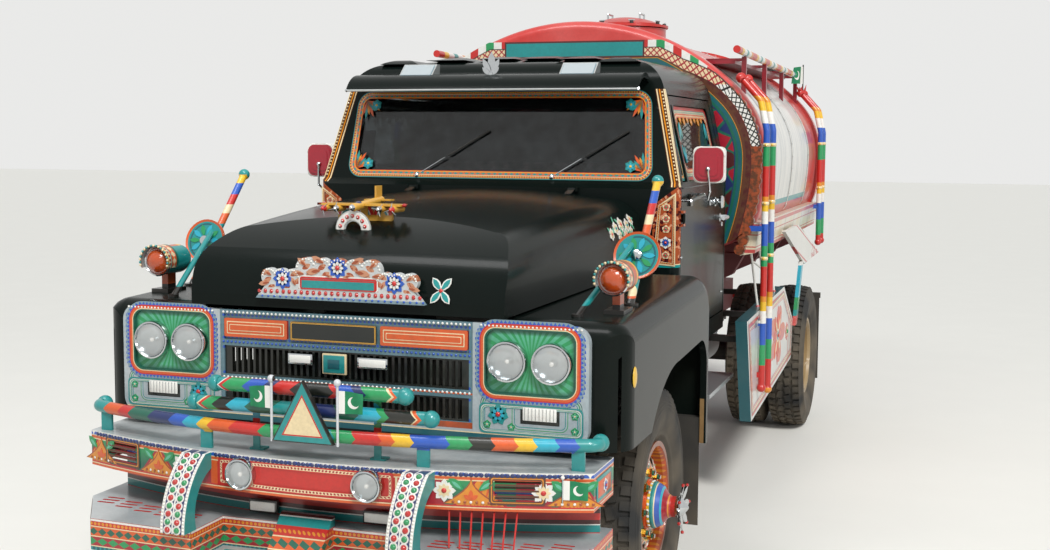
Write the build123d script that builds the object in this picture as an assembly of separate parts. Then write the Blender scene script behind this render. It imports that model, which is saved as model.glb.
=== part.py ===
"""A decorated bonneted water tanker, two axles, right-hand drive, in millimetres.

X points to the truck's left, Y to its rear and Z up. Inside this file y = 0 is the front axle;
every piece is moved at the end so that the origin lies on the ground at the centre of its footprint.
"""

from build123d import *
from math import atan2, cos, degrees, pi, radians, sin, sqrt
import os

os.makedirs("parts", exist_ok=True)

# Overall places along the truck
FRONT_REACH = 1390.0  # front axle to the overriders' noses
WHEELBASE = 4300.0
REAR_OVERHANG = 1265.0  # rear axle to the back of the tow plate
FRONT_AXLE_Y = (FRONT_REACH - WHEELBASE - REAR_OVERHANG) / 2
SEAT_GAP = 0.3  # left between a piece and what it sits in
PANEL_GAP = 7.0  # left around a door or bonnet

# Tyres and wheels
TYRE_RADIUS = 508.0
TYRE_WIDTH = 250.0
BEAD_RADIUS = 255.0
RIM_WIDTH = 190.0
AXLE_Z = TYRE_RADIUS
FRONT_WHEEL_X = 935.0
REAR_INNER_X = 762.0
REAR_OUTER_X = 1052.0
STUD_COUNT = 8

# Chassis frame
FRAME_HALF = 420.0
FRAME_TOP = 940.0
FRAME_DEEP = 230.0
FRAME_FLANGE = 75.0
FRAME_WEB = 12.0
FRAME_FRONT = -765.0
HORN_TOP = 884.7
FRAME_REAR = WHEELBASE + 1080.0
FRAME_BOTTOM = FRAME_TOP - FRAME_DEEP
CROSS_Z = 850.0

# Tow plate
TOW_Z = 760.0
TOW_BORE_R = 20.0

# Front axle and steering
KINGPIN_X = 800.0
KINGPIN_R = 20.0
SPINDLE_R = 34.0
HUB_R = 110.2
STUD_CIRCLE_R = 137.5
STUD_R = 11.0
RUNNING = 0.05  # radial clearance of a shaft in its bore
SPRING_X = 405.0
SPRING_WIDTH = 75.0
FRONT_PAD_Z = 470.0  # where the springs sit on the axles
REAR_PAD_Z = AXLE_Z + 74

# Cab
CAB_FRONT = 760.0
CAB_REAR = 2085.0
CAB_FLOOR = 1010.0
CAB_HALF = 950.0
BELT_Z = 1830.0
EAVES_HALF = 835.0
EAVES_Z = 2320.0
ROOF_Z = 2490.0
ROOF_EDGE_Z = 2405.0
CAB_WALL = 45.0
SCREEN_BASE_Y = 800.0
SCREEN_BASE_Z = 1860.0
SCREEN_TOP_Y = 905.0
SCREEN_TOP_Z = 2330.0
SCREEN_HALF_TOP = 762.0
SCREEN_HALF_BASE = 790.0
SCREEN_SILL = 1885.0
SCREEN_HEAD = 2285.0
GLASS = 6.0
DOOR_FRONT = 812.0
DOOR_REAR = 1972.0
DOOR_REAR_GAP = 14.0  # wider, because the leaning upper frame swings back before it comes out
DOOR_SILL = 1105.0
DOOR_HEAD = 2285.0
DOOR_AXIS_X = CAB_HALF + 12
DOOR_AXIS_Y = DOOR_FRONT + 3.5
WINDOW_SILL = 1860.0
WINDOW_HEAD = 2235.0
VENT_BAR_Y = 1010.0
REAR_PANE = (55.0, 560.0, 1890.0, 2240.0)  # x0, x1, z0, z1
ROOF_RIB_PITCH = 236.0
ROOF_RIB_COUNT = 6
ROOF_RIB_RISE = 17.0

# Bonnet, wings and nose
NOSE_Y = -902.0
NOSE_HALF = 986.0
NOSE_TOP = 1388.0
NOSE_BOTTOM = 950.0
NOSE_DEEP = 36.0
GRILLE_HALF = 536.0
GRILLE_DEEP = 30.0
GRILLE_BOTTOM = 985.0
GRILLE_ROWS = (
    # bottom, top, slotted
    (1270.0, 1372.0, False),
    (1130.0, 1245.0, True),
    (1010.0, 1100.0, True),
)
WING_FRONT = NOSE_Y + NOSE_DEEP + SEAT_GAP
LAMP_XS = (674.0, 846.0)
LAMP_Z = 1250.0
LAMP_R = 78.0
WING_HALF = 1118.0
WING_INNER = 640.0
WING_SKIN = 30.0
WING_TOP_FRONT = 1400.0
WING_TOP_REAR = 1440.0
WING_BOTTOM = 925.0
BONNET_SKIN = 22.0
BONNET_END = CAB_FRONT - PANEL_GAP
HINGE_X = 420.0
HINGE_Y = 748.0
HINGE_Z = 1822.0

# Bumper
BUMPER_HALF = 1048.0
BUMPER_TOP = 893.0
BUMPER_BOTTOM = 752.0
BUMPER_FRONT = -1225.0
BUMPER_END_Y = -1041.0
BUMPER_REAR = -775.0
BUMPER_SKIN = 8.0
VENT_XS = (-860.0, 790.0)
RISER_BACK = 190.0
SHELF_TOP = 622.0
SHELF_THICK = 8.0
BAND_BOTTOM = 500.0
NOTCH_HALF = 404.0
NOTCH_Y = -1117.0
PROW_TOP = 664.0  # the wedge in the middle of the lower tier
PROW_X = (-150.0, 66.0)
SHELF_NOSE_Y = -1340.0
SHELF_CORNER = (857.0, -1315.0)
HOOP_X = 450.0
HOOP_WIDTH = 102.0
HOOP_DEEP = 58.0
TUBE_R = 24.0
TUBE_Z = 985.0
BAR_R = 26.0
POLE_X = 134.0
POLE_R = 5.0

# Tank
TANK_FRONT = 2225.0
TANK_REAR = 5060.0
TANK_DISH = 70.0
TANK_HALF = 1110.0
TANK_MID_Z = 1950.0
TANK_RISE = 792.0  # side point to crown
TANK_DROP = 640.0  # side point to belly
SHOULDER_R = 560.0
FLANK_R = 1500.0
BILGE_R = 260.0
RING_PROUD = 22.0
RING_LONG = 110.0  # the front ring, along the truck
BOARD_Y = 2165.0
BOARD_THICK = 50.0
BOARD_TOP = 2640.0
BOARD_BOTTOM = 1290.0
HATCH_Y = 3400.0
HATCH_TOP = 2800.0
FRONT_ROUND = 50.0  # rolled front edge of the barrel
RAIL_X = 940.0
POST_X = 1146.0
POST_R = 19.0
SUBFRAME_TOP = 1090.0
BOARD_SIDE_X = 1120.0  # outer face of the painted side boards
SIDE_BOARD_THICK = 65.0
SIDE_BOARD = ((1785.0, 1073.0), (3260.0, 1115.0), (3715.0, 845.0), (3660.0, 585.0), (2000.0, 473.0))
PLANK = ((3104.0, 1482.0), (3757.0, 1488.0), (5036.0, 1202.0), (4154.0, 1186.0))  # y, z
STRIP = ((3995.0, 1215.0), (4085.0, 1215.0), (3805.0, 800.0), (3715.0, 800.0))
PLANK_X = 1116.0
PLANK_THICK = 24.0
SHOULDER_X = TANK_HALF - SHOULDER_R
# Radius of the crown that meets both shoulders smoothly
CROWN_R = (SHOULDER_X**2 + TANK_RISE**2 - SHOULDER_R**2) / (2 * (TANK_RISE - SHOULDER_R))


def box(x0, x1, y0, y1, z0, z1):
    """A block between two corners."""
    return Pos((x0 + x1) / 2, (y0 + y1) / 2, (z0 + z1) / 2) * Box(x1 - x0, y1 - y0, z1 - z0)


def side_prism(face, x0, x1):
    """A face drawn in side view, as (y, z), pushed across the truck from x0 to x1."""
    return extrude(Plane.YZ.offset(x0) * face, amount=x1 - x0)


def front_prism(face, y0, y1):
    """A face drawn in front view, as (x, z), pushed along the truck from y0 to y1."""
    return extrude(Plane.XZ.offset(-y1) * face, amount=y1 - y0)


def plan_prism(face, z0, z1):
    """A face drawn in plan, as (x, y), pushed up from z0 to z1."""
    return extrude(Plane.XY.offset(z0) * face, amount=z1 - z0)


def poly(*points):
    """A closed face with straight sides."""
    return make_face(Polyline(*points, close=True))


def panel(x0, x1, z0, z1, radius):
    """A rectangle with round corners, placed by its edges."""
    return Pos((x0 + x1) / 2, (z0 + z1) / 2) * RectangleRounded(x1 - x0, z1 - z0, radius)


def rod(start, end, radius):
    """A round bar between two points."""
    line = Vector(*end) - Vector(*start)
    return Plane(origin=start, z_dir=line) * Cylinder(
        radius, line.length, align=(Align.CENTER, Align.CENTER, Align.MIN)
    )


def across(radius, x0, x1, y, z):
    """A cylinder across the truck."""
    return rod((x0, y, z), (x1, y, z), radius)


def both(shape):
    """A piece and its mirror image on the other side."""
    return [shape, mirror(shape, about=Plane.YZ)]


def bent_bar(points, radius, bend):
    """A round tube along straight runs joined by bends."""
    path = FilletPolyline(*points, radius=bend)
    start = path @ 0
    return sweep(Plane(origin=start, z_dir=path % 0) * Circle(radius), path=path)


def save(name, *shapes):
    """Writes one sub-part, moved so that the origin is under the centre of the truck."""
    solids = []
    for shape in shapes:
        solids += list(shape.solids())
    moved = [Pos(0, FRONT_AXLE_Y, 0) * solid for solid in solids]
    export_step(Compound(children=moved), f"parts/{name}.step")


# Chassis

def chassis_frame():
    """A ladder of two channel rails and their cross members."""
    channel = box(FRAME_HALF - FRAME_FLANGE, FRAME_HALF, FRAME_FRONT, FRAME_REAR, FRAME_BOTTOM, FRAME_TOP)
    channel -= box(
        FRAME_HALF - FRAME_FLANGE - 1,
        FRAME_HALF - FRAME_WEB,
        FRAME_FRONT - 1,
        FRAME_REAR + 1,
        FRAME_BOTTOM + FRAME_WEB,
        FRAME_TOP - FRAME_WEB,
    )
    inside = FRAME_HALF - FRAME_WEB / 2
    solids = both(channel)
    whole = solids[0] + solids[1]
    for x0 in (-FRAME_HALF, FRAME_HALF - FRAME_FLANGE):
        horn_y = bow_y(FRAME_HALF, RISER_BACK + BUMPER_SKIN) + SEAT_GAP
        whole += box(x0, x0 + FRAME_FLANGE, horn_y, FRAME_FRONT, FRAME_BOTTOM, HORN_TOP)
    for y in (FRAME_FRONT + 60, 1500.0, 2400.0, 3300.0, 4950.0, FRAME_REAR - 50):
        whole += box(-inside, inside, y - 45, y + 45, CROSS_Z, FRAME_TOP - FRAME_WEB)
    return whole


def leaf_spring(y_mid, z_under, span, leaves, rise):
    """A pack of curved leaves clamped at its middle, with an eye at each end and its hangers."""
    leaf = 12.0
    pack = None
    for i in range(leaves):
        half = span / 2 * (1 - 0.13 * i)
        low = z_under + (leaves - 1 - i) * leaf
        sag = rise * (half / (span / 2)) ** 2
        outer = ThreePointArc((y_mid - half, low + sag), (y_mid, low), (y_mid + half, low + sag))
        inner = ThreePointArc(
            (y_mid + half, low + leaf + sag), (y_mid, low + leaf), (y_mid - half, low + leaf + sag)
        )
        ends = [Line(outer @ 1, inner @ 0), Line(inner @ 1, outer @ 0)]
        leaf_face = make_face([outer, ends[0], inner, ends[1]])
        solid = side_prism(leaf_face, SPRING_X - SPRING_WIDTH / 2, SPRING_X + SPRING_WIDTH / 2)
        pack = solid if pack is None else pack + solid
    eye_z = z_under + (leaves - 1) * leaf + rise + leaf / 2
    for side in (-1, 1):
        eye_y = y_mid + side * span / 2
        pack += across(24, SPRING_X - SPRING_WIDTH / 2, SPRING_X + SPRING_WIDTH / 2, eye_y, eye_z)
        pack += box(SPRING_X - 30, SPRING_X + 30, eye_y - 26, eye_y + 26, eye_z, FRAME_BOTTOM)
    return pack


def front_axle():
    """A dropped beam whose ends are bored for the kingpins, on pads under the springs."""
    beam = box(-560, 560, -42, 42, 395, 470)
    for side in (-1, 1):
        pad = poly((-42, 395), (42, 395), (42, 470), (-42, 470))
        beam += side_prism(pad, side * 500 - 60, side * 500 + 60)
        drop = ((540, 395), (700, 464), (780, 464), (780, 552), (690, 552), (540, 470))
        ramp = poly(*[(side * x, z) for x, z in drop])
        beam += front_prism(ramp, -42, 42)
        beam += Pos(side * KINGPIN_X, 0, AXLE_Z) * Cylinder(48, 90)
        beam += box(side * SPRING_X - 50, side * SPRING_X + 50, -70, 70, 455, FRONT_PAD_Z)
    for side in (-1, 1):
        beam -= Pos(side * KINGPIN_X, 0, AXLE_Z) * Cylinder(KINGPIN_R + RUNNING, 120)
    return beam


def knuckle():
    """The left steering knuckle: a fork on the kingpin, its spindle and the brake's back plate."""
    slot = 55.0
    body = box(KINGPIN_X - 45, KINGPIN_X + slot + 2, -45, 45, AXLE_Z - 85, AXLE_Z + 85)
    body -= box(KINGPIN_X - 60, KINGPIN_X + slot, -60, 60, AXLE_Z - 50, AXLE_Z + 50)
    body += box(KINGPIN_X + slot, KINGPIN_X + slot + 10, -80, 80, AXLE_Z - 85, AXLE_Z + 85)
    body += Pos(KINGPIN_X, 0, AXLE_Z) * Cylinder(KINGPIN_R, 168)
    body += across(185, KINGPIN_X + slot + 6, KINGPIN_X + slot + 14, 0, AXLE_Z)
    body += across(SPINDLE_R, KINGPIN_X + slot + 6, FRONT_WHEEL_X + 50, 0, AXLE_Z)
    body += rod((KINGPIN_X + 10, 60, AXLE_Z - 75), (KINGPIN_X - 40, 190, AXLE_Z - 75), 16)
    body += box(KINGPIN_X - 10, KINGPIN_X + 30, 30, 75, AXLE_Z - 91, AXLE_Z - 59)
    return body


def rear_axle():
    """The banjo housing with its round middle, nose, spring pads and half shafts."""
    axle = across(70, -640, 640, WHEELBASE, AXLE_Z)
    axle += Pos(0, WHEELBASE, AXLE_Z) * Sphere(190)
    axle += rod((0, WHEELBASE - 170, AXLE_Z), (0, WHEELBASE - 300, AXLE_Z + 10), 75)
    shaft = SPINDLE_R + 6
    axle += across(shaft, -REAR_OUTER_X + 20, REAR_OUTER_X - 20, WHEELBASE, AXLE_Z)
    for side in (-1, 1):
        pad = side * SPRING_X
        axle += box(pad - 50, pad + 50, WHEELBASE - 80, WHEELBASE + 80, AXLE_Z, REAR_PAD_Z)
        axle += across(180, side * 645 - 5, side * 645 + 5, WHEELBASE, AXLE_Z)
    return axle


def gearbox(grow):
    """The gearbox, a round case behind the engine, larger by a margin."""
    return rod((0, 550, 830), (0, 1350 + grow, 800), 150 + grow)


def ring_profile(points, axis_x):
    """A solid turned about the wheel's axle from (radius, across) points."""
    outline = [(axis_x + a, r) for r, a in points]
    face = make_face(Polyline(*outline, close=True))
    turned = revolve(Plane.XY * face, axis=Axis.X)
    return turned


def tyre(x_mid):
    """A tyre with round shoulders, turned about X at the origin's height."""
    half = TYRE_WIDTH / 2
    tread = half - 22
    crown = TYRE_RADIUS
    shoulder = TYRE_RADIUS - 14
    wall_r = (BEAD_RADIUS + TYRE_RADIUS) / 2
    bead = RIM_WIDTH / 2 - 12 - SEAT_GAP
    lip = BEAD_RADIUS + 22
    left = ThreePointArc((x_mid - tread, shoulder), (x_mid - half, wall_r), (x_mid - bead, lip))
    right = ThreePointArc((x_mid + bead, lip), (x_mid + half, wall_r), (x_mid + tread, shoulder))
    seat = [(-bead, lip), (-bead, BEAD_RADIUS), (bead, BEAD_RADIUS), (bead, lip)]
    inner = Polyline(*[(x_mid + x, r) for x, r in seat])
    top = ThreePointArc((x_mid + tread, shoulder), (x_mid, crown), (x_mid - tread, shoulder))
    return revolve(make_face([left, *inner.edges(), right, top]), axis=Axis.X)


def wheel_disc(x_mid, face_x, bore, hole_r):
    """A rim and its dished disc turned as one, with round hand holes."""
    half = RIM_WIDTH / 2
    seat = BEAD_RADIUS - SEAT_GAP
    reach = abs(face_x - x_mid)
    side = 1 if face_x > x_mid else -1
    outline = [
        (seat + 18, -half),
        (seat + 18, -half + 8),
        (seat, -half + 12),
        (seat, half - 12),
        (seat + 18, half - 8),
        (seat + 18, half),
        (seat - 4, half),
        (seat - 12, half - 20),
        (seat - 12, 34),
        (seat - 38, 46),
        (168, reach + 6),
        (bore, reach + 6),
        (bore, reach - 6),
        (164, reach - 6),
        (seat - 44, 30),
        (seat - 12, 8),
        (seat - 12, -half + 20),
        (seat - 4, -half),
    ]
    disc = ring_profile([(r, side * a) for r, a in outline], x_mid)
    for y, z in around(192, STUD_COUNT, 0.5):
        disc -= across(hole_r, x_mid - 160, x_mid + 160, y, z)
    for hole in studs(STUD_R + SEAT_GAP, x_mid - 160, x_mid + 160):
        disc -= hole
    return disc


def around(radius, count, phase=0.0):
    """Points evenly spaced on a circle about the wheel's axle."""
    turns = [2 * pi * (i + phase) / count for i in range(count)]
    return [(radius * cos(turn), radius * sin(turn)) for turn in turns]


def studs(radius, x0, x1):
    """Wheel studs, or the holes for them, on their circle."""
    return [across(radius, x0, x1, y, z) for y, z in around(STUD_CIRCLE_R, STUD_COUNT)]


def cab_profile(inset):
    """The cab's outline in side view."""
    front = CAB_FRONT + inset
    rear = CAB_REAR - inset
    floor = CAB_FLOOR + inset
    roof = ROOF_Z - inset
    lean_y = SCREEN_TOP_Y + inset
    edges = [
        Line((front, floor - 40), (front, SCREEN_BASE_Z - 30)),
        Line((front, SCREEN_BASE_Z - 30), (SCREEN_BASE_Y + inset, SCREEN_BASE_Z)),
        Line((SCREEN_BASE_Y + inset, SCREEN_BASE_Z), (lean_y, SCREEN_TOP_Z)),
        ThreePointArc(
            (lean_y, SCREEN_TOP_Z),
            (lean_y + 48, ROOF_EDGE_Z + 12 - inset * 0.6),
            (SCREEN_TOP_Y + 170, roof - 38),
        ),
        ThreePointArc((SCREEN_TOP_Y + 170, roof - 38), (1480, roof), (rear - 190, roof - 30)),
        ThreePointArc((rear - 190, roof - 30), (rear - 50, roof - 95), (rear, roof - 230)),
        Line((rear, roof - 230), (rear, floor - 40)),
        Line((rear, floor - 40), (front, floor - 40)),
    ]
    return make_face(edges)


def roof_ribs():
    """The roof's pressed ribs: rounded in section and following the roof from its brow to its back."""
    ribs = []
    crown_r = ((EAVES_HALF - 190) ** 2 + 40.0**2) / (2 * 40.0)
    for i in range(ROOF_RIB_COUNT):
        x = (i - (ROOF_RIB_COUNT - 1) / 2) * ROOF_RIB_PITCH
        z = ROOF_Z - crown_r + sqrt(crown_r**2 - x**2)
        half = ROOF_RIB_PITCH / 2 - 12
        arc = ThreePointArc((x - half, z - 9), (x, z + ROOF_RIB_RISE), (x + half, z - 9))
        ribs.append(front_prism(make_face([arc, Line(arc @ 1, arc @ 0)]), SCREEN_TOP_Y + 60, CAB_REAR - 160))
    over = side_prism(cab_profile(-ROOF_RIB_RISE), -900, 900)
    return [rib & over for rib in ribs]


# The cab's outer form, drawn three ways and crossed

def cab_form(inset):
    """The cab's solid shape, or the same shape drawn in by a wall's thickness."""
    half = CAB_HALF - inset
    eaves = EAVES_HALF - inset
    roof = ROOF_Z - inset
    floor = CAB_FLOOR + inset
    brow = ROOF_EDGE_Z - inset + 8
    side = [
        Line((-half, floor), (half, floor)),
        Line((half, floor), (half, BELT_Z)),
        Line((half, BELT_Z), (eaves, ROOF_EDGE_Z - 85)),
        ThreePointArc((eaves, ROOF_EDGE_Z - 85), (eaves - 62, brow), (eaves - 190, roof - 40)),
        ThreePointArc((eaves - 190, roof - 40), (0, roof), (190 - eaves, roof - 40)),
        ThreePointArc((190 - eaves, roof - 40), (62 - eaves, brow), (-eaves, ROOF_EDGE_Z - 85)),
        Line((-eaves, ROOF_EDGE_Z - 85), (-half, BELT_Z)),
        Line((-half, BELT_Z), (-half, floor)),
    ]
    front_view = front_prism(make_face(side), CAB_FRONT - 50, CAB_REAR + 50)
    side_view = side_prism(cab_profile(inset), -CAB_HALF - 20, CAB_HALF + 20)
    front = CAB_FRONT + inset
    rear = CAB_REAR - inset
    corner_front = 52.0 - inset
    corner_rear = 100.0 - inset
    plan = [
        Line((-half, front + corner_front), (-half, rear - corner_rear)),
        RadiusArc((-half, rear - corner_rear), (-half + corner_rear, rear), corner_rear),
        Line((-half + corner_rear, rear), (half - corner_rear, rear)),
        RadiusArc((half - corner_rear, rear), (half, rear - corner_rear), corner_rear),
        Line((half, rear - corner_rear), (half, front + corner_front)),
        RadiusArc((half, front + corner_front), (half - corner_front, front), corner_front),
        Line((half - corner_front, front), (corner_front - half, front)),
        RadiusArc((corner_front - half, front), (-half, front + corner_front), corner_front),
    ]
    plan_view = plan_prism(make_face(plan), CAB_FLOOR - 50, ROOF_Z + 50)
    return front_view & side_view & plan_view


def door_outline(gap):
    """The door's shape in side view, smaller all round by the gap."""
    lean = (SCREEN_TOP_Y - SCREEN_BASE_Y) / (SCREEN_TOP_Z - SCREEN_BASE_Z)
    top_front = DOOR_FRONT + gap + 30 + lean * (DOOR_HEAD - BELT_Z)
    rear = DOOR_REAR_GAP if gap else 0.0
    corners = poly(
        (DOOR_FRONT + gap, DOOR_SILL + gap),
        (DOOR_FRONT + gap, BELT_Z),
        (top_front, DOOR_HEAD - gap),
        (DOOR_REAR - rear, DOOR_HEAD - gap),
        (DOOR_REAR - rear, DOOR_SILL + gap),
    )
    return corners


def door_hinges(on_door):
    """The left door's two hinges: the pin and knuckle on the door, or the ears on the cab."""
    parts = []
    for z in (1260.0, 1690.0):
        if on_door:
            part = box(CAB_HALF - 6, DOOR_AXIS_X + 4, DOOR_AXIS_Y, DOOR_AXIS_Y + 40, z - 20, z + 20)
            part += Pos(DOOR_AXIS_X, DOOR_AXIS_Y, z) * Cylinder(9, 40)
            part += Pos(DOOR_AXIS_X, DOOR_AXIS_Y, z) * Cylinder(5, 76)
            parts.append(part)
        else:
            for dz in (-32, 32):
                low, high = z + dz - 6, z + dz + 6
                part = box(CAB_HALF - 6, DOOR_AXIS_X + 8, DOOR_AXIS_Y - 44, DOOR_AXIS_Y, low, high)
                part += Pos(DOOR_AXIS_X, DOOR_AXIS_Y, z + dz) * Cylinder(9, 12)
                part -= Pos(DOOR_AXIS_X, DOOR_AXIS_Y, z + dz) * Cylinder(5 + RUNNING, 40)
                parts.append(part)
    return parts


def vent_outline(grow):
    """The quarter light, a tall triangle beside the screen pillar."""
    return poly(
        (DOOR_FRONT + 62 - grow, WINDOW_SILL - grow),
        (DOOR_FRONT + 152 - grow, WINDOW_HEAD + grow),
        (VENT_BAR_Y - 22 + grow, WINDOW_HEAD + grow),
        (VENT_BAR_Y - 22 + grow, WINDOW_SILL - grow),
    )


def window_outline(grow):
    """The door's main window."""
    return panel(VENT_BAR_Y - grow, DOOR_REAR - 95 + grow, WINDOW_SILL - grow, WINDOW_HEAD + grow, 40 + grow)


def screen_outline(grow):
    """The windscreen's opening in front view."""
    top = SCREEN_HALF_TOP + grow
    base = SCREEN_HALF_BASE + grow
    corners = poly(
        (-base, SCREEN_SILL - grow),
        (base, SCREEN_SILL - grow),
        (top, SCREEN_HEAD + grow),
        (-top, SCREEN_HEAD + grow),
    )
    return fillet(corners.vertices(), 55 + grow)


def rear_panes(grow):
    """The two back windows' outlines."""
    x0, x1, z0, z1 = REAR_PANE
    right = panel(x0 - grow, x1 + grow, z0 - grow, z1 + grow, 60 + grow)
    left = panel(-x1 - grow, -x0 + grow, z0 - grow, z1 + grow, 60 + grow)
    return [right, left]


# Wings and bonnet

def wing():
    """The left front wing: a deep outer skin with an open wheel arch, its top and its back wall."""
    arch = [
        ThreePointArc((-455, WING_BOTTOM), (-260, 1068), (40, 1132)),
        Line((40, 1132), (500, 1150)),
        ThreePointArc((500, 1150), (612, 1108), (655, 1000)),
        Line((655, 1000), (655, 640)),
        Line((655, 640), (CAB_FRONT, 620)),
        Line((CAB_FRONT, 620), (CAB_FRONT, WING_TOP_REAR - 190)),
        ThreePointArc(
            (CAB_FRONT, WING_TOP_REAR - 190),
            (CAB_FRONT - 56, WING_TOP_REAR - 56),
            (CAB_FRONT - 190, WING_TOP_REAR),
        ),
        Line((CAB_FRONT - 190, WING_TOP_REAR), (WING_FRONT + 95, WING_TOP_FRONT)),
        ThreePointArc(
            (WING_FRONT + 95, WING_TOP_FRONT),
            (WING_FRONT + 27, WING_TOP_FRONT - 28),
            (WING_FRONT, WING_TOP_FRONT - 95),
        ),
        Line((WING_FRONT, WING_TOP_FRONT - 95), (WING_FRONT, WING_BOTTOM)),
        Line((WING_FRONT, WING_BOTTOM), (-455, WING_BOTTOM)),
    ]
    solid = side_prism(make_face(arch), WING_INNER, WING_HALF)
    outer = [
        edge
        for edge in solid.edges()
        if abs(edge.center().X - WING_HALF) < 0.5 and edge.center().Z > 1180
    ]
    solid = fillet(outer, 80)
    corner = 120.0
    nose_cut = box(WING_HALF - corner, WING_HALF + 10, WING_FRONT - 10, WING_FRONT + corner, 600, 1500)
    nose_cut -= Pos(WING_HALF - corner, WING_FRONT + corner, 1050) * Cylinder(corner, 1000)
    solid -= nose_cut
    well = poly(
        (WING_FRONT + WING_SKIN, 500),
        (WING_FRONT + WING_SKIN, WING_TOP_FRONT - 130),
        (WING_FRONT + 120, WING_TOP_FRONT - WING_SKIN - 4),
        (CAB_FRONT - 210, WING_TOP_REAR - WING_SKIN - 6),
        (CAB_FRONT - 45, WING_TOP_REAR - 220),
        (CAB_FRONT - 45, 500),
    )
    well_solid = side_prism(well, WING_INNER - 10, WING_HALF - WING_SKIN)
    return solid - well_solid


BONNET_SECTIONS = (
    # y, half width, bottom, top, shoulder radius, crown rise
    (NOSE_Y - 2, 662.0, 1380.0, 1712.0, 150.0, 30.0),
    ((NOSE_Y - 2 + BONNET_END) / 2, 722.0, 1380.0, 1782.0, 160.0, 36.0),
    (BONNET_END, 780.0, 1380.0, 1820.0, 170.0, 40.0),
)
BONNET_NOSE = ((0.0, 1452.0), (26.0, 1548.0), (95.0, 1628.0), (230.0, 1692.0), (560.0, 1790.0))


def bonnet_section(y, half, bottom, top, shoulder, crown, inset):
    """One upright cut through the bonnet, made of lines and arcs."""
    half -= inset
    top -= inset
    edge = top - crown
    return Plane.XZ.offset(-y) * make_face(
        [
            Line((-half, bottom), (half, bottom)),
            Line((half, bottom), (half, edge - shoulder)),
            ThreePointArc(
                (half, edge - shoulder),
                (half - shoulder * 0.293, edge - shoulder * 0.293),
                (half - shoulder, edge),
            ),
            ThreePointArc((half - shoulder, edge), (0, top), (shoulder - half, edge)),
            ThreePointArc(
                (shoulder - half, edge),
                (shoulder * 0.293 - half, edge - shoulder * 0.293),
                (-half, edge - shoulder),
            ),
            Line((-half, edge - shoulder), (-half, bottom)),
        ]
    )


def bonnet_form(inset):
    """The bonnet's outer form, or the same drawn in by its skin: a lofted crown cut by the nose's fall."""
    crown = loft([bonnet_section(*row, inset) for row in BONNET_SECTIONS])
    nose = [(NOSE_Y - 2 + inset + dy, z - inset) for dy, z in BONNET_NOSE]
    edges = [
        Line((nose[0][0], 1200), nose[0]),
        ThreePointArc(*nose[:3]),
        ThreePointArc(*nose[2:]),
        Line(nose[4], (nose[4][0], 2100)),
        Line((nose[4][0], 2100), (1000, 2100)),
        Line((1000, 2100), (1000, 1200)),
        Line((1000, 1200), (nose[0][0], 1200)),
    ]
    return crown & side_prism(make_face(edges), -900, 900)


def bonnet():
    """The bonnet: a crowned lid that falls steeply to the nose, open below, with its hinge leaves."""
    outer = bonnet_form(0)
    inner = bonnet_form(BONNET_SKIN)
    for side in (-1, 1):
        x0, x1 = sorted((side * (HINGE_X - 18), side * (HINGE_X + 18)))
        front = HINGE_Y - 65
        top = (HINGE_Y - 8, HINGE_Z)
        leaf = poly((front, 1770), (front, 1803), top, (HINGE_Y, HINGE_Z), (HINGE_Y, 1770))
        outer += side_prism(leaf, x0, x1) + across(7, x0, x1, HINGE_Y, HINGE_Z)
        outer += across(5, x0 - 14, x1 + 14, HINGE_Y, HINGE_Z)
    low, high = wing_top(-1000) + PANEL_GAP, wing_top(800) + PANEL_GAP
    under = poly((-1000, 1200), (-1000, low), (800, high), (800, 1200))
    return outer - inner - side_prism(under, -900, 900)


# Tank

def unit(a, b):
    """Direction from one plane point to another."""
    length = sqrt((b[0] - a[0]) ** 2 + (b[1] - a[1]) ** 2)
    return ((b[0] - a[0]) / length, (b[1] - a[1]) / length)


def joint_arc(first, second, radius):
    """The arc of a given radius inside two circles, each (centre, radius), and touching both."""
    (c0, r0), (c1, r1) = first, second
    reach0, reach1 = r0 - radius, r1 - radius
    ux, uz = unit(c0, c1)
    apart = sqrt((c1[0] - c0[0]) ** 2 + (c1[1] - c0[1]) ** 2)
    along = (reach0**2 - reach1**2 + apart**2) / (2 * apart)
    off = sqrt(reach0**2 - along**2)
    choices = [(c0[0] + along * ux + k * off * uz, c0[1] + along * uz - k * off * ux) for k in (-1, 1)]
    centre = max(choices, key=lambda point: point[0])
    s, t = unit(c0, centre), unit(c1, centre)
    m = unit((0, 0), (s[0] + t[0], s[1] + t[1]))
    return [(centre[0] + d[0] * radius, centre[1] + d[1] * radius) for d in (s, m, t)]


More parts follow.
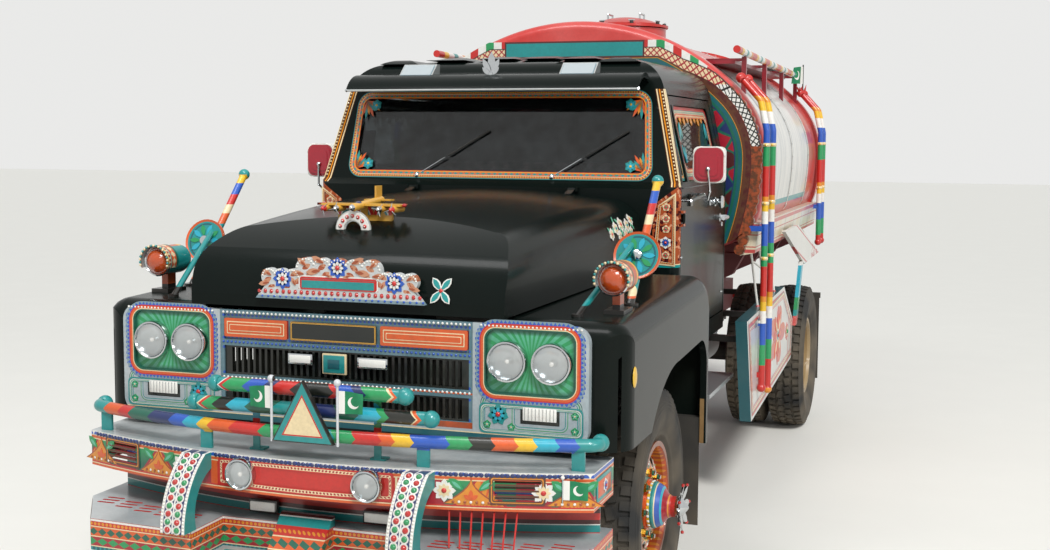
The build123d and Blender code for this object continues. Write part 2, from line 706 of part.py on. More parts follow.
def tank_section(grow):
    """The tank's section, larger all round by a margin: a round top and flatter sides and belly."""
    half, rise, drop = TANK_HALF + grow, TANK_RISE + grow, TANK_DROP + grow
    side = ((half - SHOULDER_R - grow, 0.0), SHOULDER_R + grow)
    crown = ((0.0, rise - CROWN_R - grow), CROWN_R + grow)
    flank = ((half - FLANK_R - grow, 0.0), FLANK_R + grow)
    belly = ((0.0, 2600.0 - drop + grow), 2600.0 + grow)
    # The shoulder arc starts level with the side point and ends where it touches the crown's arc.
    tilt = unit(crown[0], side[0])
    meet = (side[0][0] + tilt[0] * side[1], side[0][1] + tilt[1] * side[1])
    mid_turn = atan2(meet[1], meet[0] - side[0][0]) / 2
    mid = (side[0][0] + side[1] * cos(mid_turn), side[1] * sin(mid_turn))
    low, low_mid, low_end = joint_arc(flank, belly, BILGE_R + grow)
    flank_turn = atan2(low[1], low[0] - flank[0][0]) / 2
    flank_mid = (flank[0][0] + flank[1] * cos(flank_turn), flank[1] * sin(flank_turn))
    right = [(half, 0.0), mid, meet, flank_mid, low, low_mid, low_end]
    left = [(-x, z) for x, z in right]
    tip, mid, meet, flank_mid, low, low_mid, low_end = right
    tip_l, mid_l, meet_l, flank_mid_l, low_l, low_mid_l, low_end_l = left
    face = make_face(
        [
            ThreePointArc(tip, mid, meet),
            ThreePointArc(meet, (0, rise), meet_l),
            ThreePointArc(meet_l, mid_l, tip_l),
            ThreePointArc(tip_l, flank_mid_l, low_l),
            ThreePointArc(low_l, low_mid_l, low_end_l),
            ThreePointArc(low_end_l, (0, -drop), low_end),
            ThreePointArc(low_end, low_mid, low),
            ThreePointArc(low, flank_mid, tip),
        ]
    )
    return Pos(0, TANK_MID_Z) * face


def crown_z(x):
    """Height of the tank's top at a place across it."""
    return TANK_MID_Z + TANK_RISE - CROWN_R + sqrt(CROWN_R**2 - x**2)


def tank():
    """The barrel with a dished back, proud rings at its ends and the neck of the hatch."""
    barrel = front_prism(tank_section(0), TANK_FRONT, TANK_REAR)
    back = Plane.XZ.offset(-TANK_REAR)
    back_end = Plane.XZ.offset(-TANK_REAR - TANK_DISH)
    dish = loft([back * tank_section(0), back_end * tank_section(-150)])
    barrel += dish
    for y0, y1 in ((TANK_FRONT, TANK_FRONT + RING_LONG), (TANK_REAR - 90, TANK_REAR)):
        ring = front_prism(tank_section(RING_PROUD), y0, y1)
        if y0 == TANK_FRONT:
            front_edges = [edge for edge in ring.edges() if abs(edge.center().Y - TANK_FRONT) < 0.5]
            ring = fillet(front_edges, FRONT_ROUND)
            barrel -= box(-1300, 1300, y0 - 5, y1 - 5, 1200, 2800)
        barrel += ring
    up = (Align.CENTER, Align.CENTER, Align.MIN)
    barrel += Pos(0, HATCH_Y, TANK_MID_Z) * Cylinder(270, HATCH_TOP - TANK_MID_Z, align=up)
    for side in (-1, 1):
        barrel += box(side * 48 - 12, side * 48 + 12, HATCH_Y + 250, HATCH_Y + 328, 2680, HATCH_TOP - 8)
        barrel += box(side * 48 - 12, side * 48 + 12, HATCH_Y + 294, HATCH_Y + 328, 2680, HATCH_TOP + 26)
    barrel -= Pos(0, HATCH_Y, TANK_MID_Z + 60) * Cylinder(240, 2000, align=up)
    return barrel - across(10 + RUNNING, -70, 70, HATCH_Y + 310, HATCH_TOP + 14)


def tank_board():
    """The painted board before the tank: the tank's outline, scalloped, cut level at its top."""
    outline = tank_section(8)
    keep = Rectangle(3000, BOARD_TOP - BOARD_BOTTOM)
    outline = outline & (Pos(0, (BOARD_TOP + BOARD_BOTTOM) / 2) * keep)
    for side in (-1, 1):
        for dx, dz in scallop_points():
            outline += Pos(side * dx, dz) * Circle(30)
    board = front_prism(outline, BOARD_Y, BOARD_Y + BOARD_THICK)
    return board


def scallop_points():
    """Centres of the bumps along the board's edge, on the tank's section from its top to its belly."""
    points = []
    centre_x = TANK_HALF - SHOULDER_R
    for i in range(9):
        turn = radians(46 - i * 5.4)
        reach = SHOULDER_R - 14
        points.append((centre_x + reach * cos(turn), TANK_MID_Z + reach * sin(turn)))
    centre_x = TANK_HALF - FLANK_R
    for i in range(10):
        turn = radians(-i * 2.25)
        points.append((centre_x + (FLANK_R - 14) * cos(turn), TANK_MID_Z + (FLANK_R - 14) * sin(turn)))
    return points


def tank_saddles():
    """Two long bearers on the chassis and four cradles that reach out under the tank."""
    bed = box(-418, -338, TANK_FRONT + 20, TANK_REAR, FRAME_TOP + SEAT_GAP, SUBFRAME_TOP)
    bed += box(338, 418, TANK_FRONT + 20, TANK_REAR, FRAME_TOP + SEAT_GAP, SUBFRAME_TOP)
    cradle = poly((-430, 1040), (430, 1040), (930, 1270), (1000, 1397), (-1000, 1397), (-930, 1270))
    for y in (2420.0, 3200.0, 4100.0, 4880.0):
        bed += front_prism(cradle, y - 45, y + 45)
    return bed - front_prism(tank_section(SEAT_GAP), TANK_FRONT - 10, TANK_REAR + 100)


def tank_rail():
    """The painted plank along the tank's left side, over the cradles' ends."""
    plank = poly((1040, 1590), (1112, 1590), (1086, 1415), (1000, 1398))
    rail = front_prism(plank, BOARD_Y + BOARD_THICK + SEAT_GAP, TANK_REAR + 65)
    rail -= front_prism(tank_section(SEAT_GAP), TANK_FRONT - 100, TANK_REAR + 100)
    ring = tank_section(RING_PROUD + SEAT_GAP)
    rail -= front_prism(ring, TANK_FRONT - 100, TANK_FRONT + RING_LONG + SEAT_GAP)
    rail -= front_prism(ring, TANK_REAR - 90 - SEAT_GAP, TANK_REAR + 10)
    outer = PLANK_X + PLANK_THICK
    rail += side_prism(poly(*PLANK), PLANK_X, outer) + side_prism(poly(*STRIP), PLANK_X, outer)
    for y in (3300.0, 3640.0):
        rail += box(1085, PLANK_X + 5, y - 20, y + 20, 1440, 1480)
    for y in (4420.0, 4760.0):
        rail += rod((PLANK_X + 5, y, 1250), (1020, y, 1408), 14)
    return rail


def side_posts():
    """The left side's painted posts: two by the tank's front, two at its rear, bent over its shoulder."""
    posts = []
    for y, low in ((2180.0, 640.0), (2426.0, 590.0), (4900.0, 1290.0), (5100.0, 1290.0)):
        points = [(POST_X, y, low), (POST_X, y, 2120), (1105, y + 25, 2290), (985, y + 45, 2420)]
        post = bent_bar(points, POST_R, 60)
        post += Pos(*points[-1]) * Sphere(30) + Pos(POST_X, y, low) * Sphere(26)
        post += box(1060, POST_X, y - 15, y + 15, 1545, 1575)
        if y < WHEELBASE:
            post += box(BOARD_SIDE_X + SEAT_GAP, POST_X, y - 15, y + 15, 700, 730)
            post += box(BOARD_SIDE_X + SEAT_GAP, POST_X, y - 15, y + 15, 1000, 1030)
        posts.append(post)
    return posts


def side_board():
    """The big painted board low on the left side, with the arms that carry it from the chassis."""
    x0 = BOARD_SIDE_X - SIDE_BOARD_THICK
    board = side_prism(poly(*SIDE_BOARD), x0, BOARD_SIDE_X)
    for y in (2180.0, 3300.0):
        board += box(FRAME_HALF + SEAT_GAP, x0 + 5, y - 25, y + 25, 900, 935)
    return board


def roof_rails():
    """The painted rail and the narrow tray along each shoulder of the tank, on their feet."""
    rails = []
    for side in (-1, 1):
        rail = rod((side * RAIL_X, 2330, 2590), (side * RAIL_X, 5190, 2552), 22)
        for y in (2600.0, 3400.0, 4200.0, 4950.0):
            foot = [(side * (RAIL_X - 14), 2200), (side * (RAIL_X + 14), 2200)]
            foot += [(side * (RAIL_X + 14), 2562), (side * (RAIL_X - 14), 2562)]
            rail += front_prism(poly(*foot), y - 14, y + 14)
            x0, x1 = sorted((side * (RAIL_X - 230), side * RAIL_X))
            rail += box(x0, x1, y - 14, y + 14, 2534, 2552)
        x0, x1 = sorted((side * (RAIL_X - 290), side * (RAIL_X - 36)))
        rail += box(x0, x1, 2480, 4640, 2515, 2536)
        rails.append(rail - front_prism(tank_section(SEAT_GAP), TANK_FRONT - 10, TANK_REAR + 200))
    return rails


def hatch_lid():
    """The domed lid of the hatch with its clamp bar and hinge ears."""
    up = (Align.CENTER, Align.CENTER, Align.MIN)
    z = HATCH_TOP + 6
    lid = Pos(0, HATCH_Y, z) * Cylinder(285, 16, align=up)
    dome_r = 600.0
    cap = Pos(0, HATCH_Y, z + 16 + 60 - dome_r) * Sphere(dome_r)
    cap &= Pos(0, HATCH_Y, z + 10) * Cylinder(240, 200, align=up)
    lid += cap
    lid += box(-30, 30, HATCH_Y + 250, HATCH_Y + 318, z, z + 16)
    lid += across(10, -60, 60, HATCH_Y + 310, z + 8)
    return lid


def bumper_arc_radius():
    """Radius of the bumper's bow, from its half width and how far its ends sweep back."""
    sweep_back = BUMPER_END_Y - BUMPER_FRONT
    return (BUMPER_HALF**2 + sweep_back**2) / (2 * sweep_back)


def bow_y(x, back=0.0):
    """The bumper's front at a place across the truck, or that of a line set back from it."""
    radius = bumper_arc_radius() - back
    return BUMPER_FRONT + bumper_arc_radius() - sqrt(radius**2 - x**2)


def bow_face(half, back, rear):
    """A plan face whose front follows the bumper's bow."""
    side_y = bow_y(half, back)
    return make_face(
        [
            ThreePointArc((-half, side_y), (0, bow_y(0, back)), (half, side_y)),
            Line((half, side_y), (half, rear)),
            Line((half, rear), (-half, rear)),
            Line((-half, rear), (-half, side_y)),
        ]
    )


def bumper():
    """The upper bumper: a bowed deck with a deep face, turned back at its ends and open below."""
    solid = plan_prism(bow_face(BUMPER_HALF, 0, BUMPER_REAR), BUMPER_BOTTOM, BUMPER_TOP)
    hollow = bow_face(BUMPER_HALF - BUMPER_SKIN, BUMPER_SKIN, BUMPER_REAR + 10)
    solid -= plan_prism(hollow, BUMPER_BOTTOM - 10, BUMPER_TOP - BUMPER_SKIN)
    for x in VENT_XS:
        for row in range(4):
            z = BUMPER_BOTTOM + 42 + row * 20
            solid -= box(x - 80, x + 80, bow_y(x) - 60, bow_y(x) + 60, z, z + 9)
    return solid


def shelf_outline(inset):
    """The lower tier's front outline in plan, from the truck's right to its left."""
    cx, cy = SHELF_CORNER
    half = BUMPER_HALF - inset
    return [
        (half, BUMPER_END_Y + inset),
        (cx - inset * 0.6, cy + inset),
        (NOTCH_HALF + inset, SHELF_NOSE_Y + inset),
        (NOTCH_HALF + inset, NOTCH_Y + inset),
        (-NOTCH_HALF - inset, NOTCH_Y + inset),
        (-NOTCH_HALF - inset, SHELF_NOSE_Y + inset),
        (inset * 0.6 - cx, cy + inset),
        (-half, BUMPER_END_Y + inset),
    ]


def shelf():
    """The lower tier: a riser under the deck, an open slotted shelf and the band along its front."""
    rear = BUMPER_REAR
    outer = poly(*shelf_outline(0), (-BUMPER_HALF, rear), (BUMPER_HALF, rear))
    inside = BUMPER_HALF - 10
    inner = poly(*shelf_outline(10), (-inside, rear + 10), (inside, rear + 10))
    tier = plan_prism(outer, BAND_BOTTOM, SHELF_TOP)
    tier -= plan_prism(inner, BAND_BOTTOM - 10, SHELF_TOP - SHELF_THICK)
    riser_half = BUMPER_HALF - 30
    riser_rear = bow_y(riser_half, RISER_BACK) + 60
    riser_top = BUMPER_TOP - BUMPER_SKIN - SEAT_GAP
    riser = plan_prism(bow_face(riser_half, RISER_BACK, riser_rear), SHELF_TOP - 4, riser_top)
    riser -= plan_prism(
        bow_face(riser_half + 20, RISER_BACK + BUMPER_SKIN, 0), SHELF_TOP - 20, BUMPER_TOP
    )
    tier += riser
    slot = panel(-40, 40, -7, 7, 6.9)
    for side in (-1, 1):
        for i in range(5):
            for j in range(3):
                x = side * (520 + i * 105)
                y = bow_y(x, 0) + 40 - j * 34
                tier -= plan_prism(Pos(x, y) * slot, SHELF_TOP - 30, SHELF_TOP + 10)
    step_y = NOTCH_Y - 170
    tier += box(-NOTCH_HALF - 4, NOTCH_HALF + 4, step_y, NOTCH_Y + 4, BAND_BOTTOM, BAND_BOTTOM + SHELF_THICK)
    back = NOTCH_Y + 12
    prow = poly((back, PROW_TOP), (back, BAND_BOTTOM), (step_y + 12, BAND_BOTTOM), (NOTCH_Y - 4, PROW_TOP))
    tier += side_prism(prow, *PROW_X)
    for x in (-330, -230, 150, 250, 350):
        for j in range(3):
            tier -= plan_prism(Pos(x, NOTCH_Y - 50 - j * 40) * slot, BAND_BOTTOM - 10, BAND_BOTTOM + 20)
    return tier


def hoop():
    """The left overrider: a curved bar from the bumper's face down to the lower tier's nose."""
    top_y = bow_y(HOOP_X + HOOP_WIDTH / 2) + 2
    foot_y = SHELF_NOSE_Y
    outer = ThreePointArc((top_y - HOOP_DEEP, BUMPER_TOP - 4), (-1352, 770), (-1390, SHELF_TOP + SEAT_GAP))
    inner = ThreePointArc((foot_y + 30, SHELF_TOP + SEAT_GAP), (-1296, 752), (top_y - 4, BUMPER_TOP - 62))
    edges = [
        outer,
        Line(outer @ 1, inner @ 0),
        inner,
        Line(inner @ 1, (top_y, BUMPER_TOP - 62)),
        Line((top_y, BUMPER_TOP - 62), (top_y, BUMPER_TOP - 4)),
        Line((top_y, BUMPER_TOP - 4), outer @ 0),
    ]
    bar = side_prism(make_face(edges), HOOP_X - HOOP_WIDTH / 2, HOOP_X + HOOP_WIDTH / 2)
    return bar - plan_prism(bow_face(BUMPER_HALF, -SEAT_GAP, 0), SHELF_TOP, BUMPER_TOP + 50)


def front_tube():
    """The tube that follows the bumper's deck, its ends turned back and closed by balls."""
    half = BUMPER_HALF - 30
    back = TUBE_R + 14
    side_y = bow_y(half, back)
    arc = ThreePointArc((-half, side_y, TUBE_Z), (0, bow_y(0, back), TUBE_Z), (half, side_y, TUBE_Z))
    tangent = arc % 1
    normal = Vector(-tangent.Y, tangent.X, 0)
    bend = 42.0
    centre = Vector(half, side_y, TUBE_Z) + normal * bend
    end = centre + Vector(bend, 0, 0)
    turn = ThreePointArc(arc @ 1, centre + (Vector(1, 0, 0) - normal).normalized() * bend, end)
    tail = Line(end, end + Vector(0, 20, 0))
    tube = sweep(Plane(origin=arc @ 0, z_dir=arc % 0) * Circle(TUBE_R), path=arc)
    for shape in (turn, tail):
        half_tube = sweep(Plane(origin=shape @ 0, z_dir=shape % 0) * Circle(TUBE_R), path=shape)
        tube += half_tube
        tube += mirror(half_tube, about=Plane.YZ)
    ball = Pos(*(tail @ 1)) * Sphere(TUBE_R + 8)
    tube += ball
    tube += mirror(ball, about=Plane.YZ)
    for x in (-985, -445, 445, 985):
        y = bow_y(abs(x), back)
        tube += box(x - 24, x + 24, y - 6, y + 6, BUMPER_TOP + SEAT_GAP, TUBE_Z)
    return tube


def nose_panel():
    """The two lamp panels with their recesses, joined by the sill under the grille."""
    outline = panel(-NOSE_HALF, NOSE_HALF, NOSE_BOTTOM, NOSE_TOP, 60)
    sheet = front_prism(outline, NOSE_Y, NOSE_Y + NOSE_DEEP)
    sheet -= box(-GRILLE_HALF, GRILLE_HALF, NOSE_Y - 5, NOSE_Y + 60, GRILLE_BOTTOM, NOSE_TOP + 5)
    recess = panel(-172, 172, -118, 118, 40)
    mid = sum(LAMP_XS) / 2
    for side in (-1, 1):
        sheet -= front_prism(Pos(side * mid, LAMP_Z - 2) * recess, NOSE_Y - 5, NOSE_Y + 12)
        sheet -= box(side * 800 - 76, side * 800 + 76, NOSE_Y - 5, NOSE_Y + 14, 1020, 1096)
    return sheet


def grille():
    """The grille: a flat upper board over two banks of fine upright slots."""
    plate = box(
        SEAT_GAP - GRILLE_HALF,
        GRILLE_HALF - SEAT_GAP,
        NOSE_Y + 4,
        NOSE_Y + 4 + GRILLE_DEEP,
        GRILLE_BOTTOM + SEAT_GAP,
        NOSE_TOP,
    )
    for z0, z1, slotted in GRILLE_ROWS:
        plate -= box(-GRILLE_HALF + 16, GRILLE_HALF - 16, NOSE_Y - 5, NOSE_Y + 12, z0, z1)
        if slotted:
            slots = [loc * Rectangle(16, z1 - z0 - 16) for loc in GridLocations(26, 1, 38, 1)]
            for slot in slots:
                plate -= front_prism(Pos(0, (z0 + z1) / 2) * slot, NOSE_Y, NOSE_Y + 50)
    return plate


def round_lamp(radius, depth):
    """A lamp facing forward, its back at y = 0: a round body with a rolled edge and a domed lens."""
    body = rod((0, 0, 0), (0, -depth, 0), radius)
    body = fillet(body.edges().sort_by(Axis.Y)[0], 6)
    curve = radius * 2.2
    lens = Pos(0, curve - depth - 5, 0) * Sphere(curve)
    return body + (lens & rod((0, -4, 0), (0, -depth - 20, 0), radius - 11))


def wing_lamp():
    """The lamp on the left wing: a hooded drum facing forward on a foot."""
    y, z = -560.0, 1540.0
    lamp = rod((1000, y - 70, z), (1000, y + 70, z), 62)
    lamp += Pos(1000, y + 70, z) * Sphere(62)
    lamp += box(985, 1015, y - 20, y + 40, WING_TOP_FRONT + 4, z)
    lamp += box(960, 1040, y - 60, y + 80, WING_TOP_FRONT + 3, WING_TOP_FRONT + 20)
    return lamp


def wing_stalk():
    """The striped stalk behind the left wing lamp, with its round disc and its brace to the bonnet."""
    foot = (1000.0, -370.0, wing_top(-370) - 3)
    top = (1000.0, 90.0, 1890.0)
    stalk = rod(foot, top, 17) + Pos(*top) * Sphere(26)
    stalk += Pos(*foot) * Cylinder(34, 10, align=(Align.CENTER, Align.CENTER, Align.MIN))
    disc_at = (1000.0, -255.0, 1600.0)
    stalk += Plane(origin=disc_at, z_dir=(0, -0.95, 0.3)) * Cylinder(95, 10)
    brace_foot = (880.0, -700.0, wing_top(-700) - 3)
    stalk += rod(brace_foot, (980, -215, 1655), 12)
    stalk += Pos(*brace_foot) * Cylinder(22, 10, align=(Align.CENTER, Align.CENTER, Align.MIN))
    return stalk


def wing_top(y):
    """Height of the wing's flat top at a place along the truck."""
    run = (y - WING_FRONT) / (CAB_FRONT - WING_FRONT)
    return WING_TOP_FRONT + (WING_TOP_REAR - WING_TOP_FRONT) * run


def scallops(x0, x1, z, radius, count):
    """Round bumps in a row along the top of a board."""
    step = (x1 - x0) / count
    return [Pos(x0 + step * (i + 0.5), z) * Circle(radius) for i in range(count)]


def crest():
    """The board along the bonnet's front, with a scalloped and stepped top."""
    half = 355.0
    base = 1446.0
    steps = [(half - 60, base + 70), (170, base + 118), (-170, base + 118), (60 - half, base + 70)]
    face = poly((-half, base), (half, base), *steps)
    for bump in scallops(-170, 170, base + 120, 44, 5):
        face += bump
    for side in (-1, 1):
        for bump in scallops(*sorted((side * 170, side * 320)), base + 84, 34, 3):
            face += bump
    board = front_prism(face, -935, -907)
    foot = box(-250, -210, -935, -830, base + 10, base + 100)
    foot += box(210, 250, -935, -830, base + 10, base + 100)
    outer = bonnet_form(-SEAT_GAP)
    return (board + foot) - outer


def bonnet_ornament():
    """A small aeroplane on a stand on the bonnet, with pods under its wings."""
    x, y = -60.0, -560.0
    z = 1790.0
    foot = 1712.0
    body = rod((x, y - 110, z), (x, y + 150, z + 20), 16) + Pos(x, y - 110, z) * Sphere(16)
    body += box(x - 175, x + 175, y - 50, y + 20, z + 4, z + 12)
    body += box(x - 60, x + 60, y + 110, y + 150, z + 18, z + 24)
    body += box(x - 4, x + 4, y + 95, y + 150, z + 20, z + 80)
    for dx in (-150, -95, 95, 150):
        body += rod((x + dx, y - 75, z - 8), (x + dx, y + 25, z - 8), 13)
    stand = box(x - 15, x + 15, y - 15, y + 15, foot - 40, z)
    stand += box(x - 120, x + 120, y - 8, y + 8, foot - 40, foot + 46)
    for dx in (-80, 0, 80):
        stand += rod((x + dx, y - 8, foot + 44), (x + dx, y + 8, foot + 44), 40)
    outer = bonnet_form(-SEAT_GAP)
    return (body + stand) - outer


def mirror_arm():
    """The left mirror: a round-cornered head on a bent arm from the door."""
    x, y, z = 1050.0, 985.0, 1945.0
    head = front_prism(panel(x - 78, x + 78, z - 88, z + 88, 26), y - 14, y + 22)
    arm = bent_bar([(x, y + 30, z - 60), (x, y + 30, z - 175), (940, y + 30, z - 175)], 8, 25)
    base = box(936, 960, y + 5, y + 55, z - 205, z - 145)
    return head + arm + box(x - 12, x + 12, y + 22, y + 34, z - 70, z - 40) + base


# Chassis and running gear
save("chassis_frame", chassis_frame())
front_springs = leaf_spring(0, FRONT_PAD_Z + SEAT_GAP, 1150, 6, 110)
rear_springs = leaf_spring(WHEELBASE, REAR_PAD_Z + SEAT_GAP, 1300, 6, 30)
save("springs", *both(front_springs), *both(rear_springs))
save("front_axle", front_axle())
save("rear_axle", rear_axle())
shaft = rod((0, 1340, 800), (0, WHEELBASE - 296, AXLE_Z + 10), 45)
save("drive_shaft", shaft - gearbox(SEAT_GAP) - rear_axle())
left_knuckle = knuckle()
save("knuckle_left", left_knuckle)
save("knuckle_right", mirror(left_knuckle, about=Plane.YZ))

# Wheels
front_tyre = tyre(FRONT_WHEEL_X)
front_face = FRONT_WHEEL_X + 60
front_disc = wheel_disc(FRONT_WHEEL_X, front_face, HUB_R + SEAT_GAP, 22)
flange = front_face - 6 - SEAT_GAP
front_hub = across(HUB_R, KINGPIN_X + 78, front_face + 10, 0, 0) + across(158, flange - 16, flange, 0, 0)
front_hub += across(208, KINGPIN_X + 78, KINGPIN_X + 142, 0, 0)
brake_room = across(193, KINGPIN_X + 70, KINGPIN_X + 130, 0, 0)
front_hub -= brake_room - across(HUB_R, KINGPIN_X + 60, KINGPIN_X + 140, 0, 0)
front_hub -= across(SPINDLE_R + RUNNING, KINGPIN_X + 60, FRONT_WHEEL_X + 52, 0, 0)
for stud in studs(STUD_R, flange - 10, front_face + 30):
    front_hub += stud
cap_x = front_face + 10 + SEAT_GAP
cap_rows = [(100, 0), (100, 30), (84, 60), (52, 84), (44, 100), (44, 120), (0, 128), (0, 0)]
front_cap = ring_profile(cap_rows, cap_x)
front_set = [("tyre", [front_tyre]), ("wheel", [front_disc, front_hub, front_cap])]
for label, shapes in front_set:
    placed = [Pos(0, 0, AXLE_Z) * shape for shape in shapes]
    save(f"front_{label}_left", *placed)
    save(f"front_{label}_right", *[mirror(shape, about=Plane.YZ) for shape in placed])

rear_face = (REAR_INNER_X + REAR_OUTER_X) / 2
rear_tyres = [tyre(REAR_INNER_X), tyre(REAR_OUTER_X)]
inner_disc = wheel_disc(REAR_INNER_X, rear_face - 6.2, HUB_R + SEAT_GAP, 22)
outer_disc = wheel_disc(REAR_OUTER_X, rear_face + 6.2, HUB_R + SEAT_GAP, 22)
flange = rear_face - 12.2 - SEAT_GAP
rear_hub = across(HUB_R, REAR_INNER_X - 90, REAR_OUTER_X + 20, 0, 0) + across(158, flange - 18, flange, 0, 0)
drum = across(205, REAR_INNER_X - 92, REAR_INNER_X + 40, 0, 0)
drum -= across(190, REAR_INNER_X - 95, REAR_INNER_X + 28, 0, 0)
rear_hub += drum
rear_hub -= across(SPINDLE_R + 6 + RUNNING, REAR_INNER_X - 100, REAR_OUTER_X - 18, 0, 0)
for stud in studs(STUD_R, flange - 10, rear_face + 45):
    rear_hub += stud
rear_cap = ring_profile([(95, 0), (95, 14), (60, 30), (0, 34), (0, 0)], REAR_OUTER_X + 20 + SEAT_GAP)
rear_set = [("tyres", rear_tyres), ("wheels", [inner_disc, outer_disc, rear_hub, rear_cap])]
for label, shapes in rear_set:
    placed = [Pos(0, WHEELBASE, AXLE_Z) * shape for shape in shapes]
    save(f"rear_{label}_left", *placed)
    save(f"rear_{label}_right", *[mirror(shape, about=Plane.YZ) for shape in placed])

# Engine, cooling, fuel
engine = box(-250, 250, -560, 560, FRAME_BOTTOM + 60, 1400) + gearbox(0)
engine += box(-412, 412, 60, 140, FRAME_TOP + SEAT_GAP, FRAME_TOP + 30)
radiator = box(-415, 415, -850, -770, 905, 1375)
radiator += box(-412, 412, -775, -700, FRAME_TOP + SEAT_GAP, 980)
save("engine", engine, radiator)
fuel = fillet(box(432, 860, 2250, 3150, 560, 900).edges().filter_by(Axis.Y), 60)
straps = box(FRAME_HALF + SEAT_GAP, 440, 2400, 2450, 700, 905)
straps += box(FRAME_HALF + SEAT_GAP, 440, 2950, 3000, 700, 905)
air = rod((620, 2300, 760), (620, 3050, 760), 120)
air += box(FRAME_HALF + SEAT_GAP, 620, 2450, 2490, 740, 790)
air += box(FRAME_HALF + SEAT_GAP, 620, 2850, 2890, 740, 790)
save("side_tanks", mirror(fuel + straps, about=Plane.YZ), air)
exhaust = rod((-180, 700, 640), (-180, 3200, 640), 32) + rod((-180, 1700, 640), (-180, 2500, 640), 85)
for y in (1500.0, 2400.0):
    exhaust += box(-195, -165, y - 20, y + 20, 640, CROSS_Z - SEAT_GAP)
save("exhaust", exhaust)

# Cab
outer = cab_form(0)
shell = outer - cab_form(CAB_WALL)
door_hole = side_prism(door_outline(0), CAB_HALF - 260, CAB_HALF + 60)
door_cut = side_prism(door_outline(PANEL_GAP), CAB_HALF - 260, CAB_HALF + 60)
window_cut = side_prism(window_outline(0), CAB_HALF - 260, CAB_HALF + 60)
vent_cut = side_prism(vent_outline(0), CAB_HALF - 260, CAB_HALF + 60)
door_left = (shell & door_cut) - window_cut - vent_cut
for part in door_hinges(True):
    door_left += part
cab = shell - door_hole - mirror(door_hole, about=Plane.YZ)
for rib in roof_ribs():
    cab += rib - cab_form(CAB_WALL / 2)
cab -= front_prism(screen_outline(0), CAB_FRONT - 60, SCREEN_TOP_Y + 120)
for outline in rear_panes(0):
    cab -= front_prism(outline, CAB_REAR - 90, CAB_REAR + 40)
for y in (CAB_FRONT + 140, CAB_REAR - 140):
    for side in (-1, 1):
        x = side * 382
        cab += box(x - 40, x + 40, y - 50, y + 50, FRAME_TOP + SEAT_GAP, CAB_FLOOR + 10)
for part in door_hinges(False):
    cab += part
    cab += mirror(part, about=Plane.YZ)
for side in (-1, 1):
    for dx in (-27, 27):
        x = side * HINGE_X + dx
        ear = box(x - 6, x + 6, HINGE_Y - 10, CAB_FRONT + 14, HINGE_Z - 10, HINGE_Z + 10)
        cab += ear - across(5 + RUNNING, x - 10, x + 10, HINGE_Y, HINGE_Z)
save("cab_shell", cab)
glass_skin = cab_form(16) - cab_form(16 + GLASS)
side_pane = glass_skin & side_prism(window_outline(-SEAT_GAP), CAB_HALF - 260, CAB_HALF + 60)
vent_pane = glass_skin & side_prism(vent_outline(-SEAT_GAP), CAB_HALF - 260, CAB_HALF + 60)
handle = rod((940, 1845, 1640), (985, 1845, 1640), 14) + rod((985, 1750, 1640), (985, 1870, 1640), 11)
for label, flip in (("left", False), ("right", True)):
    pieces = {
        "door": [door_left],
        "door_glass": [side_pane, vent_pane],
        "door_fittings": [handle - outer, mirror_arm() - outer],
    }
    for name, shapes in pieces.items():
        if flip:
            shapes = [mirror(shape, about=Plane.YZ) for shape in shapes]
        save(f"{name}_{label}", *shapes)
screen = glass_skin & front_prism(screen_outline(-SEAT_GAP), CAB_FRONT - 60, SCREEN_TOP_Y + 120)
back_panes = [front_prism(pane, CAB_REAR - 25, CAB_REAR - 19) for pane in rear_panes(-SEAT_GAP)]
save("cab_glass", screen, *back_panes)

# Nose, wings, bonnet and what they carry
left_wing = wing()
save("front_wings", *both(left_wing))
save("nose_panel", nose_panel())
save("grille", grille())
lamps = []
for side in (-1, 1):
    for x in LAMP_XS:
        lamps.append(Pos(side * x, NOSE_Y + 12 - SEAT_GAP, LAMP_Z) * round_lamp(LAMP_R, 34))
    lamps.append(box(side * 800 - 75, side * 800 + 75, NOSE_Y - 6, NOSE_Y + 14 - SEAT_GAP, 1021, 1095))
head_lamps = lamps
save("bonnet", bonnet())
save("bonnet_ornaments", crest(), bonnet_ornament())
save("wing_lamps", *both(wing_lamp() - left_wing), *both(wing_stalk() - left_wing))

# Bumper and what stands on it
save("bumper", bumper())
save("bumper_shelf", shelf())
save("bumper_hoops", *both(hoop()))
fogs = [Pos(side * 257, bow_y(257) + 8, 825) * round_lamp(60, 42) for side in (-1, 1)]
fogs = [lamp - plan_prism(bow_face(BUMPER_HALF, -SEAT_GAP, 0), 700, 900) for lamp in fogs]
save("front_lamps", *head_lamps, *fogs)
bars = rod((-404, -1150, 1143), (373, -1150, 1143), BAR_R)
bars += rod((-495, -1150, 1067), (473, -1150, 1067), BAR_R)
for x, z in ((-404, 1143), (373, 1143), (-495, 1067), (473, 1067)):
    bars += Pos(x, -1150, z) * Sphere(BAR_R + 6)
for x in (-250, 250):
    bars += box(x - 14, x + 14, -1124.5, -1118, BUMPER_TOP + SEAT_GAP, 1160)
    bars += box(x - 30, x + 30, -1124.5, -1080, BUMPER_TOP + SEAT_GAP, BUMPER_TOP + 7)
save("front_tubes", front_tube(), bars)
front = bow_y(0, TUBE_R + 14) - TUBE_R - SEAT_GAP
pole_y = bow_y(POLE_X, TUBE_R + 14) - TUBE_R - SEAT_GAP - POLE_R
sign = front_prism(poly((-124, 961), (124, 961), (0, 1190)), front - 20, front)
poles = []
flags = []
